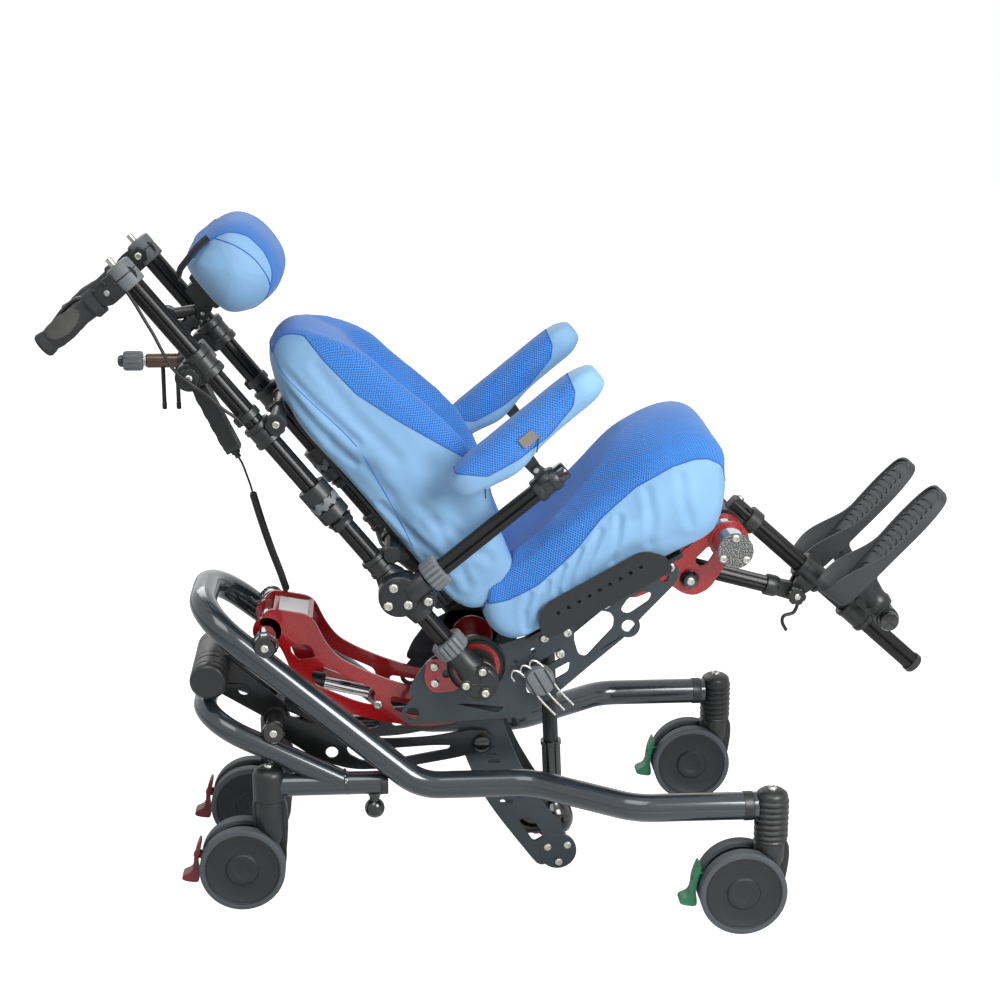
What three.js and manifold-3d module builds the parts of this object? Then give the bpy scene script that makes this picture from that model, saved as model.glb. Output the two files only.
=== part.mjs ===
// A tilt in space wheelchair, in millimetres, with +Z up, +X to the front and +Y to the sitter's left.
// Places are measured forward of the rear wheel axle, out from the middle plane and up from the floor.
// The seat, the back, the legrest and the carrier each have a group of their own at their hinge.

import * as THREE from 'three';
import { mergeVertices } from 'three/addons/utils/BufferGeometryUtils.js';
import Module from 'manifold-3d';

const wasm = await Module();
wasm.setup();

// Units, clearances and the number of facets
const degree = Math.PI / 180;
const seatGap = 0.3;
const runningGap = 0.5;
const pivotSlack = 4.5;
const overrun = 2;
const mergeTolerance = 0.001;
const sideNames = ['right', 'left'];
const tubeSides = 10;
const roundSides = 10;
const discSides = 14;
const holeSides = 8;
const smallSides = 6;
const bendSteps = 2;
const boreReach = 300;

// Wheels and castors
const wheelRadius = 62.5;
const wheelSides = 16;
const wheelUnitWidth = 58;
const wheelGapWidth = 19;
const axleRadius = 5;
const castorTrail = 40;
const forkNeckRadius = 22;
const forkWebThickness = 15;
const axleBossRadius = 18;
const stemRadius = 6;
const stemLength = 26;
const pedalThickness = 7;
const pedalWidth = 24;
const pedalPinRadius = 3;
const pedalEyeRadius = 8;
const pedalHingeBack = 30;
const pedalHingeRise = 15;
const frontStemX = 741.5;
const frontStemY = 234;
const rearStemY = 113;
const frontSocketBottom = 131;
const frontSocketTop = 203;
const socketRadius = 24;
const socketRibHeight = 16;
const socketRibDepth = 2;
const socketRibCount = 1;
const socketCapRadius = 15;
const socketCapHeight = 4;

// Base frame tubes
const frameTubeRadius = 19.5;
const rearTubeRadius = 16.5;
const frameHeight = 180;
const rearSocketDrop = 21;
const rearSocketRise = 26;
const rearSocketBottom = frameHeight - rearSocketDrop;
const rearSocketTop = frameHeight + rearSocketRise;
const frameFrontX = 722;
const frameFrontY = 229;
const frameFlareOuterX = 552;
const frameFlareInnerX = 415;
const frameWaistY = 128;
const frameRiseX = 255;
const frameArchX = -50;
const frameArchY = 100;
const frameArchZ = 434;
const frameBendRadius = 80;
const archBendRadius = 74;
const rearTubeEndX = 205;
const rearTubeStartX = 50;
const hoopFootX = 150;
const hoopArchX = -52;
const hoopArchZ = 281;
const hoopBendRadius = 68;
const hoopY = 108;
const ballRadius = 13;
const ballX = 190;
const ballDrop = 41;
const ballNeckRadius = 7;
const ballLowZ = frameHeight - ballDrop - ballRadius;

// Height linkage: two equal pairs of arms between the base and the carrier
const upperPivotX = 40.5;
const upperPivotZ = 389;
const lowerPivotZ = 262;
const lowerPivotX = 49;
const tiltAxisX = 338;
const tiltAxisZ = 345;
const linkReach = tiltAxisX - upperPivotX;
const linkDrop = tiltAxisZ - upperPivotZ;
const carrierPivotX = lowerPivotX + linkReach;
const carrierPivotZ = lowerPivotZ + linkDrop;
const pivotShaftRadius = 14;
const lowerShaftRadius = 12;
const shaftHalfLength = 124;
const shaftCapRadius = 16;
const shaftCapLength = 10;
const armPlateThickness = 5;
const armOuterY = 47;
const armDepth = 150;
const armBossRadius = 21;
const armFrontBossRadius = 31;
const armSlotCorner = 9;
const coverWidth = 58;
const coverThickness = 5;
const drivePinX = 197;
const drivePinZ = 273;
const drivePinRadius = 6;
const lowerLinkOuterY = 66;
const lowerLinkThickness = 5;
const lowerLinkBossRadius = 17;
const linkBoltRadius = 6;
const linkBoltHeadRadius = 11;
const linkBoltHeadLength = 7;
const sideLeverOuterY = 57;
const leverThickness = 5;
const leverLength = 330;
const leverBossRadius = 28;
const leverFootRadius = 28;
const carrierFootX = tiltAxisX + leverLength * 0.3697;
const carrierFootZ = tiltAxisZ - leverLength * 0.9273;
const tiltAxleRadius = 11;
const footTubeRadius = 9;
const boltHeadHeight = 3;

// Lift drive behind the arms
const motorX = -42;
const motorZ = 330;
const motorRadius = 27;
const motorNeckRadius = 20;
const motorNearY = 95;
const motorFarY = 62;
const cradlePlateY = 34;
const cradlePlateThickness = 4;
const driveTubeRadius = 14;
const driveTubeLength = 165;
const driveBoxLength = 70;
const driveBoxHeight = 46;
const driveRodRadius = 9;
const cordGlandRadius = 7;
const cordGlandLength = 12;

// Tilt drive in front of the carrier
const tiltPinX = 447;
const tiltPinZ = 345;
const tiltPinRadius = 5;
const tiltTubeRadius = 14;
const tiltTubeLength = 155;
const tiltRodRadius = 11.5;
const tiltMotorRadius = 30;
const tiltMotorHalfWidth = 24;

// Seat frame, in the seat's own upright frame with its origin at the tilt axis
const seatTilt = 29.2 * degree;
const plateOuterY = 82;
const plateThickness = 4;
const plateFrontX = 320;
const plateDepth = 130;
const plateEyeX = -115.5;
const plateEyeZ = -20;
const plateEyeRadius = 16;
const plateEyeHoleRadius = 9.5;
const hubDiscRadius = 42;
const hubDiscThickness = 13;
const backPinRadius = 8;
const guardStartX = 109;
const guardLength = 204;
const guardHeight = 48;
const guardThickness = 3;
const guardOuterY = 132;
const guardHoleCount = 9;
const guardHolePitch = 16.5;
const guardHoleRadius = 2.8;
const guardHoleStart = 34;
const guardHoleHeight = 24;
const guardCornerRadius = 30;
const ringX = 216;
const ringZ = -61;
const ringRadius = 17;
const ringHoleRadius = 9.5;
const bracketOuterY = plateOuterY - plateThickness - seatGap;
const bracketThickness = 4;
const kneeX = 400.5;
const kneeZ = -23;
const kneeRadius = 24;
const kneeHalfLength = 132;
const strutPinX = 325;
const strutPinZ = -44;
const strutPinRadius = 6;
const bracketBossRadius = 18;
const panThickness = 6;
const panZ = 6;
const panHalfWidth = 110;
const panStartX = 82;
const panLength = 252;
const cushionHalfWidth = 124;

// Back, in its own upright frame with its origin at the back hinge
const backLean = -39 * degree;
const backPivotX = 341;
const backPivotZ = 336;
const postY = 121;
const postRadius = 13.75;
const knuckleRadius = 26;
const knuckleThickness = 40;
const collarNutRadius = 22;
const collarNutHeight = 26;
const collarNutRibs = 6;
const lowNutZ = 50;
const armHubZ = 171;
const jointCollarZ = 331;
const jointCollarRadius = 21;
const jointCollarHeight = 44;
const connectorZ = 466;
const lowClampZ = 588;
const clampRadius = 20;
const clampHeight = 42;
const topClampZ = 742;
const gripBack = 32;
const gripLength = 100;
const gripRadius = 16;
const handleHubRadius = 15;
const gripPinRadius = 4;
const backCushionHalfWidth = 118;
const backCushionBottomZ = 66;
const backCushionHeight = 512;
const panelThickness = 4;
const panelFrontX = 38;
const panelTubeX = 25;
const panelHalfWidth = 84;
const panelBottomZ = 130;
const panelHeight = 340;

// Arm rests
const armY = 158;
const armTubeRadius = 12.5;
const armNutDistance = 58;
const armNutRadius = 17;
const armNeckRadius = 16;
const armClampX = 256;
const padY = 167;
const padLength = 262;
const padWidth = 62;
const padHeight = 50;
const padBottom = 52;
const padStart = 152;

// Headrest
const headPadX = 112;
const headPadZ = 655;
const headPadDepth = 118;
const headPadHeight = 128;
const headPadHalfWidth = 112;
const headStemX = -16;
const headStemThickness = 12;
const headHingeX = 26;
const headHingeZ = 632;

// Legrest, in a frame with +X down the column and its origin at the knee
const legAngle = 42 * degree;
const columnOffset = 37;
const columnRadius = 13.75;
const columnLength = 371;
const kneeSleeveHalfLength = 22;
const clampAlongColumn = 151;
const clampSleeveLength = 46;
const clampSleeveRadius = 20;
const clampPinRadius = 4;
const strutRadius = 12.5;
const carriageAlongColumn = 244;
const carriageBarOffset = 68;
const carriageBarRadius = 10;
const carriageHalfLength = 118;
const carriageSleeveLength = 44;
const footPlateY = 85;
const footLength = 216;
const footWidth = 84;
const footThickness = 9;
const footHeelRise = 24;
const footStart = 37;
const footBackX = 182;

// Makes a solid of a closed geometry
function solidOf(geometry) {
  const bare = geometry.index ? geometry.toNonIndexed() : geometry.clone();
  bare.deleteAttribute('normal');
  bare.deleteAttribute('uv');
  const merged = mergeVertices(bare, mergeTolerance);
  return new wasm.Manifold(new wasm.Mesh({
    numProp: 3,
    vertProperties: new Float32Array(merged.attributes.position.array),
    triVerts: new Uint32Array(merged.index.array),
  }));
}

// Makes a geometry of a solid
function geometryOf(solid) {
  const mesh = solid.getMesh();
  const geometry = new THREE.BufferGeometry();
  geometry.setAttribute('position', new THREE.BufferAttribute(new Float32Array(mesh.vertProperties), 3));
  geometry.setIndex(new THREE.BufferAttribute(new Uint32Array(mesh.triVerts), 1));
  geometry.computeVertexNormals();
  return geometry;
}

// Joins any number of solids
function join(...solids) {
  return solids.reduce((whole, next) => whole.add(next));
}

// Cuts any number of tools out of a solid
function cut(base, ...tools) {
  return tools.reduce((whole, tool) => whole.subtract(tool), base);
}

// Moves a solid
function moved(solid, x, y, z) {
  return solid.translate([x, y, z]);
}

// Mirrors a solid to the other side of the middle plane
function mirrored(solid) {
  return solid.mirror([0, 1, 0]);
}

// Gives the right-hand solid itself, or its mirror image for the left hand
function onSide(side, rightSolid) {
  return side === 'right' ? rightSolid : mirrored(rightSolid);
}

// A shape with rounded corners through points in the X-Z plane
function roundedShape(points, radius) {
  const cornerShare = 0.45;
  const shape = new THREE.Shape();
  const count = points.length;
  points.forEach((corner, index) => {
    const before = points[(index + count - 1) % count];
    const after = points[(index + 1) % count];
    const reach = Math.min(radius, corner.distanceTo(before) * cornerShare,
        corner.distanceTo(after) * cornerShare);
    const entry = corner.clone().addScaledVector(before.clone().sub(corner).normalize(), reach);
    const exit = corner.clone().addScaledVector(after.clone().sub(corner).normalize(), reach);
    if (index === 0) {
      shape.moveTo(entry.x, entry.y);
    } else {
      shape.lineTo(entry.x, entry.y);
    }
    shape.quadraticCurveTo(corner.x, corner.y, exit.x, exit.y);
  });
  shape.closePath();
  return shape;
}

// Points given as shares of a length and a height
function sharePoints(shares, length, height, originX = 0, originZ = 0) {
  return shares.map(([along, up]) => new THREE.Vector2(originX + along * length, originZ + up * height));
}

// A flat plate standing in the X-Z plane between two distances from the middle plane
function plate(shape, outerY, thickness, curveSegments = 1) {
  const geometry = new THREE.ExtrudeGeometry(shape, { depth: thickness, bevelEnabled: false,
      curveSegments });
  geometry.rotateX(Math.PI / 2);
  geometry.translate(0, -outerY + thickness, 0);
  return solidOf(geometry);
}

// A flat plate that faces along X, from a shape in the Y-Z plane
function facingPlate(shape, startX, thickness) {
  const geometry = new THREE.ExtrudeGeometry(shape, { depth: thickness, bevelEnabled: false,
      curveSegments: 1 });
  geometry.rotateX(Math.PI / 2);
  geometry.rotateZ(Math.PI / 2);
  geometry.translate(startX, 0, 0);
  return solidOf(geometry);
}

// A flat plate with slots cut through it
function slottedPlate(shape, slots, outerY, thickness) {
  const tools = slots.map((slot) => plate(slot, outerY + overrun, thickness + overrun * 2, 1));
  return cut(plate(shape, outerY, thickness), ...tools);
}

// A plate outline that is the band round two circles
function linkPlate(x1, z1, radius1, x2, z2, radius2, outerY, thickness, arcSteps = 2) {
  const length = Math.hypot(x2 - x1, z2 - z1);
  const angle = Math.atan2(z2 - z1, x2 - x1);
  const spread = Math.acos((radius1 - radius2) / length);
  const shape = new THREE.Shape();
  shape.absarc(0, 0, radius1, spread, 2 * Math.PI - spread);
  shape.absarc(length, 0, radius2, -spread, spread);
  shape.closePath();
  const geometry = new THREE.ExtrudeGeometry(shape, { depth: thickness, bevelEnabled: false,
      curveSegments: arcSteps });
  geometry.rotateZ(angle);
  geometry.rotateX(Math.PI / 2);
  geometry.translate(x1, -outerY + thickness, z1);
  return solidOf(geometry);
}

// A round bar across the chair, between two places along Y
function crossBar(radius, startY, endY, x, z, sides = roundSides) {
  const geometry = new THREE.CylinderGeometry(radius, radius, endY - startY, sides);
  geometry.translate(x, (startY + endY) / 2, z);
  return solidOf(geometry);
}

// The tool for a bore across the chair, whose flats clear a round bar of the given radius
function bore(radius, x, z, startY = -boreReach, endY = boreReach, sides = roundSides) {
  return crossBar(radius / Math.cos(Math.PI / sides), startY, endY, x, z, sides);
}

// An upright round bar between two heights
function upright(radius, bottom, top, x, y, sides = roundSides, topRadius = radius) {
  const geometry = new THREE.CylinderGeometry(topRadius, radius, top - bottom, sides);
  geometry.rotateX(Math.PI / 2);
  geometry.translate(x, y, (bottom + top) / 2);
  return solidOf(geometry);
}

// A round bar along X
function lengthBar(radius, startX, endX, y, z, sides = roundSides, endRadius = radius) {
  const geometry = new THREE.CylinderGeometry(endRadius, radius, endX - startX, sides);
  geometry.rotateZ(-Math.PI / 2);
  geometry.translate((startX + endX) / 2, y, z);
  return solidOf(geometry);
}

// A round bar between two points
function rod(start, end, radius, sides = roundSides, endRadius = radius) {
  const along = end.clone().sub(start);
  const geometry = new THREE.CylinderGeometry(endRadius, radius, along.length(), sides);
  const turn = new THREE.Quaternion().setFromUnitVectors(new THREE.Vector3(0, 1, 0),
      along.clone().normalize());
  geometry.applyQuaternion(turn);
  const middle = start.clone().add(end).multiplyScalar(1 / 2);
  geometry.translate(middle.x, middle.y, middle.z);
  return solidOf(geometry);
}

// A box between two corners
function block(x1, x2, y1, y2, z1, z2) {
  const geometry = new THREE.BoxGeometry(x2 - x1, y2 - y1, z2 - z1);
  geometry.translate((x1 + x2) / 2, (y1 + y2) / 2, (z1 + z2) / 2);
  return solidOf(geometry);
}

// A turned piece about the Y axis through a point, from a closed profile of radius and place along Y
function turned(profile, x, y, z, sides) {
  const geometry = new THREE.LatheGeometry(profile.map(([radius, along]) => new THREE.Vector2(radius,
      along)), sides);
  geometry.rotateY(Math.PI / sides);
  geometry.translate(x, y, z);
  return solidOf(geometry);
}

// A turned piece about an upright axis, from a closed profile of radius and height
function turnedUpright(profile, x, y, sides) {
  const geometry = new THREE.LatheGeometry(profile.map(([radius, height]) => new THREE.Vector2(radius,
      height)), sides);
  geometry.rotateX(Math.PI / 2);
  geometry.translate(x, y, 0);
  return solidOf(geometry);
}

// A skin through rings of equal numbers of points, closed at both ends
function loft(rings) {
  const sides = rings[0].length;
  const positions = rings.flat().flatMap((point) => [point.x, point.y, point.z]);
  const index = [];
  for (let ring = 0; ring < rings.length - 1; ring += 1) {
    for (let side = 0; side < sides; side += 1) {
      const next = (side + 1) % sides;
      const low = ring * sides;
      const high = low + sides;
      index.push(low + side, low + next, high + next, low + side, high + next, high + side);
    }
  }
  const capFaces = (ring, start, flip) => {
    const centre = ring.reduce((sum, point) => sum.add(point), new THREE.Vector3()).divideScalar(sides);
    const centreIndex = positions.length / 3;
    positions.push(centre.x, centre.y, centre.z);
    for (let side = 0; side < sides; side += 1) {
      const next = (side + 1) % sides;
      index.push(centreIndex, start + (flip ? next : side), start + (flip ? side : next));
    }
  };
  capFaces(rings[0], 0, true);
  capFaces(rings[rings.length - 1], (rings.length - 1) * sides, false);
  const corner = (place) => new THREE.Vector3().fromArray(positions, index[place] * 3);
  let volume = 0;
  for (let face = 0; face < index.length; face += 3) {
    volume += corner(face).dot(corner(face + 1).cross(corner(face + 2)));
  }
  if (volume < 0) {
    index.reverse();
  }
  const geometry = new THREE.BufferGeometry();
  geometry.setAttribute('position', new THREE.BufferAttribute(new Float32Array(positions), 3));
  geometry.setIndex(index);
  return geometry;
}

// A path of straight runs joined by round bends, as a list of places
function bentPath(corners, bendRadius, bendSteps) {
  const path = [corners[0].clone()];
  for (let index = 1; index < corners.length - 1; index += 1) {
    const corner = corners[index];
    const back = corners[index - 1].clone().sub(corner).normalize();
    const ahead = corners[index + 1].clone().sub(corner).normalize();
    const turn = Math.PI - back.angleTo(ahead);
    const radius = Array.isArray(bendRadius) ? bendRadius[index - 1] : bendRadius;
    const reach = radius * Math.tan(turn / 2);
    const centre = corner.clone().addScaledVector(back.clone().add(ahead).normalize(),
        radius / Math.cos(turn / 2));
    const from = corner.clone().addScaledVector(back, reach).sub(centre);
    const axis = new THREE.Vector3().crossVectors(ahead, back).normalize();
    for (let step = 0; step <= bendSteps; step += 1) {
      path.push(centre.clone().add(from.clone().applyAxisAngle(axis, (turn * step) / bendSteps)));
    }
  }
  path.push(corners[corners.length - 1].clone());
  return path;
}

// A tube of a given section along a path, with its frame carried along without twist
function sweep(path, section, firstSide) {
  const rings = [];
  const side = firstSide.clone();
  path.forEach((place, index) => {
    const before = path[Math.max(index - 1, 0)];
    const after = path[Math.min(index + 1, path.length - 1)];
    const arrive = place.clone().sub(before);
    const leave = after.clone().sub(place);
    const tangent = arrive.normalize().add(leave.normalize()).normalize();
    side.addScaledVector(tangent, -side.dot(tangent)).normalize();
    const up = new THREE.Vector3().crossVectors(tangent, side);
    rings.push(section.map(([across, rise]) => place.clone().addScaledVector(side,
        across).addScaledVector(up, rise)));
  });
  return solidOf(loft(rings));
}

// A round section
function roundSection(radius, sides) {
  return Array.from({ length: sides }, (_, index) => {
    const angle = (2 * Math.PI * (index + 1 / 2)) / sides;
    return [radius * Math.cos(angle), radius * Math.sin(angle)];
  });
}

// A ribbed nut round an upright axis at the origin
function ribbedNut(radius, height, ribs, boreRadius) {
  const ribDepthShare = 0.9;
  const shape = new THREE.Shape();
  for (let step = 0; step < ribs * 2; step += 1) {
    const angle = (Math.PI * step) / ribs;
    const distance = step % 2 === 0 ? radius : radius * ribDepthShare;
    const place = [distance * Math.cos(angle), distance * Math.sin(angle)];
    if (step === 0) {
      shape.moveTo(...place);
    } else {
      shape.lineTo(...place);
    }
  }
  shape.closePath();
  const geometry = new THREE.ExtrudeGeometry(shape, { depth: height, bevelEnabled: false });
  geometry.translate(0, 0, -height / 2);
  return cut(solidOf(geometry), upright(boreRadius, -height, height, 0, 0, smallSides));
}

// Materials
function paint(color, roughness, metalness) {
  return new THREE.MeshStandardMaterial({ color, roughness, metalness });
}
const greyLacquer = paint(0x2f3a40, 0.25, 0.3);
const blackLacquer = paint(0x151617, 0.35, 0.3);
const blackPlastic = paint(0x101112, 0.5, 0);
const chrome = paint(0xc8ccd0, 0.15, 1);
const redLacquer = paint(0xa80f14, 0.3, 0.3);
const greyPlate = paint(0x3b4448, 0.4, 0.4);
const tyreRubber = paint(0x5c646b, 0.7, 0);
const grippyRubber = paint(0x2b2c2e, 0.8, 0);
const greenPlastic = paint(0x0e6b46, 0.5, 0);
const darkRedPlastic = paint(0x7a1a20, 0.5, 0);
const greyPlastic = paint(0x5a6268, 0.5, 0);
const blueFabric = paint(0x2f6fd0, 0.9, 0);
const paleFabric = paint(0x86bce8, 0.8, 0);

// Scene groups
const chair = new THREE.Group();
const seatGroup = new THREE.Group();
seatGroup.position.set(tiltAxisX, 0, tiltAxisZ);
seatGroup.rotation.y = -seatTilt;
const backGroup = new THREE.Group();
backGroup.position.set(backPivotX, 0, backPivotZ);
backGroup.rotation.y = backLean;
chair.add(seatGroup, backGroup);

// Adds one named piece to a group
function addPiece(group, name, solid, material) {
  const mesh = new THREE.Mesh(geometryOf(solid), material);
  mesh.name = name;
  group.add(mesh);
  return mesh;
}

// Main frame: one bent tube from the right front socket over the rear arch to the left one
function mainFramePath() {
  const half = [
    [frameFrontX, frameFrontY, frameHeight],
    [frameFlareOuterX, frameFrontY - seatGap, frameHeight],
    [frameFlareInnerX, frameWaistY, frameHeight],
    [frameRiseX, frameWaistY, frameHeight],
    [frameArchX, frameArchY, frameArchZ],
  ];
  const right = half.map(([x, y, z]) => new THREE.Vector3(x, -y, z));
  const left = half.map(([x, y, z]) => new THREE.Vector3(x, y, z)).reverse();
  const bends = [frameBendRadius, frameBendRadius, frameBendRadius, archBendRadius];
  return bentPath([...right, ...left], [...bends, ...bends.slice().reverse()], bendSteps);
}

function mainFrameTube(radius, sides) {
  return sweep(mainFramePath(), roundSection(radius, sides), new THREE.Vector3(0, 0, 1));
}

// The bore that a castor stem turns in
function stemBore(x, y, bottom) {
  const radius = (stemRadius + seatGap) / Math.cos(Math.PI / smallSides);
  return upright(radius, bottom - overrun, bottom + stemLength + runningGap, x, y, smallSides);
}

// A castor socket round an upright stem, with its bore open below
function castorSocket(x, y, bottom, top, ribs) {
  const profile = [[0, bottom], [socketRadius, bottom]];
  for (let rib = 0; rib < ribs; rib += 1) {
    const height = bottom + socketRibHeight * (rib + 1);
    profile.push([socketRadius, height], [socketRadius - socketRibDepth, height + socketRibHeight / 2]);
  }
  profile.push(
    [socketRadius, top - socketCapHeight], [socketCapRadius, top], [0, top + socketCapHeight],
  );
  const body = turnedUpright(profile, x, y, holeSides);
  return cut(body, stemBore(x, y, bottom));
}

function pivotShaft(x, z, radius) {
  const end = shaftHalfLength;
  const neck = end - shaftCapLength;
  const profile = [
    [0, -end], [shaftCapRadius, -end], [shaftCapRadius, -neck], [radius, -neck],
    [radius, neck], [shaftCapRadius, neck], [shaftCapRadius, end], [0, end],
  ];
  return turned(profile, x, 0, z, roundSides);
}

// The tools for the seats of a shaft's two end caps
function capSeats(x, z) {
  return sideNames.map((side) => onSide(side, bore(shaftCapRadius + seatGap, x, z,
      -shaftHalfLength - shaftCapLength,
    -shaftHalfLength + shaftCapLength + seatGap)));
}

function mainFrame() {
  const tube = mainFrameTube(frameTubeRadius, tubeSides);
  const sockets = sideNames.map((side) => onSide(
    side,
    castorSocket(frontStemX, -frontStemY, frontSocketBottom, frontSocketTop, socketRibCount),
  ));
  const stemRooms = sideNames.map((side) => onSide(side, stemBore(frontStemX, -frontStemY,
      frontSocketBottom)));
  const saddle = bore(pivotShaftRadius + seatGap, upperPivotX, upperPivotZ);
  return cut(join(tube, ...sockets), ...stemRooms, saddle, ...capSeats(upperPivotX, upperPivotZ));
}

// Lower rear frame: the hoop, the two straight tubes to the rear castors and their ball stubs
function rearFrame() {
  const half = [[hoopFootX, rearStemY, frameHeight], [hoopArchX, hoopY, hoopArchZ]];
  const right = half.map(([x, y, z]) => new THREE.Vector3(x, -y, z));
  const left = half.map(([x, y, z]) => new THREE.Vector3(x, y, z)).reverse();
  const path = bentPath([...right, ...left], hoopBendRadius, bendSteps);
  const hoop = sweep(path, roundSection(rearTubeRadius, tubeSides), new THREE.Vector3(0, 0, 1));
  const sides = sideNames.map((side) => onSide(side, join(
    lengthBar(rearTubeRadius, rearTubeStartX, rearTubeEndX, -rearStemY, frameHeight, tubeSides),
    castorSocket(castorTrail, -rearStemY, rearSocketBottom, rearSocketTop, 0),
    turnedUpright([
      [0, ballLowZ], [ballRadius * 0.6, ballLowZ + ballRadius / 4], [ballRadius, ballLowZ + ballRadius],
      [ballNeckRadius, ballLowZ + ballRadius * 1.8], [ballNeckRadius, frameHeight], [0, frameHeight],
    ], ballX, -rearStemY, smallSides),
  )));
  const bores = sideNames.map((side) => onSide(side, stemBore(castorTrail, -rearStemY, rearSocketBottom)));
  const saddle = bore(lowerShaftRadius + seatGap, lowerPivotX, lowerPivotZ);
  return cut(join(hoop, ...sides), ...bores, saddle, ...capSeats(lowerPivotX, lowerPivotZ),
      mainFrameTube(frameTubeRadius + seatGap, tubeSides));
}

// Cradle: two plates on the lower shaft, each with a ring round a neck of the lift motor
function motorCradle() {
  const side = cut(
    linkPlate(motorX, motorZ, motorRadius, lowerPivotX, lowerPivotZ, lowerLinkBossRadius, cradlePlateY,
        cradlePlateThickness),
    bore(motorNeckRadius + runningGap, motorX, motorZ),
  );
  return join(pivotShaft(lowerPivotX, lowerPivotZ, lowerShaftRadius), side, mirrored(side));
}

addPiece(chair, 'main_frame', mainFrame(), greyLacquer);
addPiece(chair, 'rear_frame', rearFrame(), greyLacquer);
addPiece(chair, 'upper_pivot_shaft', pivotShaft(upperPivotX, upperPivotZ, pivotShaftRadius), chrome);
addPiece(chair, 'motor_cradle', motorCradle(), blackLacquer);

// Castors: a fork, a pair of wheel discs on one axle and a brake pedal
const axleHeight = wheelRadius * Math.cos(Math.PI / wheelSides);

function castorWheel() {
  const outer = wheelUnitWidth / 2;
  const inner = wheelGapWidth / 2;
  const half = [
    [0, -outer], [wheelRadius, -outer], [wheelRadius, -inner], [axleRadius, -inner],
  ];
  const far = half.slice().reverse().map(([radius, along]) => [radius, -along]);
  return turned([...half, ...far], 0, 0, 0, wheelSides);
}

function castorFork(top) {
  const web = forkWebThickness / 2;
  const neck = upright(forkNeckRadius, axleHeight - forkNeckRadius / 2, top, 0, 0, holeSides);
  const boss = linkPlate(-castorTrail, axleHeight, axleBossRadius, 0, axleHeight + forkNeckRadius,
      forkNeckRadius,
    web, forkWebThickness);
  const lug = linkPlate(-castorTrail, axleHeight, axleBossRadius, -castorTrail - pedalHingeBack,
    axleHeight + pedalHingeRise, pedalEyeRadius, web, forkWebThickness);
  const wheelRoom = cut(
    bore(wheelRadius + seatGap * 7, -castorTrail, axleHeight, -wheelUnitWidth, wheelUnitWidth, tubeSides),
    crossBar(wheelRadius * 2, -wheelGapWidth / 2 + runningGap, wheelGapWidth / 2 - runningGap,
        -castorTrail, axleHeight, smallSides),
  );
  const slot = block(
    -castorTrail - wheelRadius * 2, -castorTrail - axleBossRadius,
    -pedalThickness / 2 - runningGap, pedalThickness / 2 + runningGap, 0, top,
  );
  const axleBore = bore(axleRadius + runningGap, -castorTrail, axleHeight);
  const pin = crossBar(pedalPinRadius, -web, web, -castorTrail - pedalHingeBack,
      axleHeight + pedalHingeRise, smallSides);
  const stem = upright(stemRadius, top - overrun, top + stemLength, 0, 0, smallSides);
  return join(cut(join(neck, boss, lug), wheelRoom, slot, axleBore), pin, stem);
}

function brakePedal() {
  const outerShares = [[-1.08, 0.56], [-1.17, 0.05], [-1.2, -0.2], [-1.42, -0.34], [-1.4, -0.46], [-1.14,
      -0.5]];
  const innerShares = [[-1.06, -0.4], [-1.07, 0.05], [-0.99, 0.5]];
  const points = sharePoints([...outerShares, ...innerShares], wheelRadius, wheelRadius, -castorTrail,
      axleHeight);
  const pad = plate(new THREE.Shape(points.reverse()), pedalWidth / 2, pedalWidth);
  const hingeX = -castorTrail - pedalHingeBack;
  const hingeZ = axleHeight + pedalHingeRise;
  const arm = linkPlate(hingeX, hingeZ, pedalEyeRadius, -castorTrail - wheelRadius * 1.07, hingeZ,
    pedalEyeRadius / 2, pedalThickness / 2, pedalThickness);
  return cut(join(pad, arm), bore(pedalPinRadius + seatGap, hingeX, hingeZ, -boreReach, boreReach,
      smallSides));
}

const castorPlaces = [
  { name: 'front', x: frontStemX, y: frontStemY, top: frontSocketBottom - runningGap, pedal: greenPlastic },
  { name: 'rear', x: castorTrail, y: rearStemY, top: rearSocketBottom - runningGap, pedal: darkRedPlastic },
];

castorPlaces.forEach((place) => {
  sideNames.forEach((side) => {
    const group = new THREE.Group();
    group.position.set(place.x, side === 'right' ? -place.y : place.y, 0);
    const label = `${place.name}_${side}`;
    addPiece(group, `castor_fork_${label}`, castorFork(place.top), blackPlastic);
    const wheel = addPiece(group, `castor_wheel_${label}`, castorWheel(), tyreRubber);
    wheel.position.set(-castorTrail, 0, axleHeight);
    addPiece(group, `brake_pedal_${label}`, brakePedal(), place.pedal);
    chair.add(group);
  });
});

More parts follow.
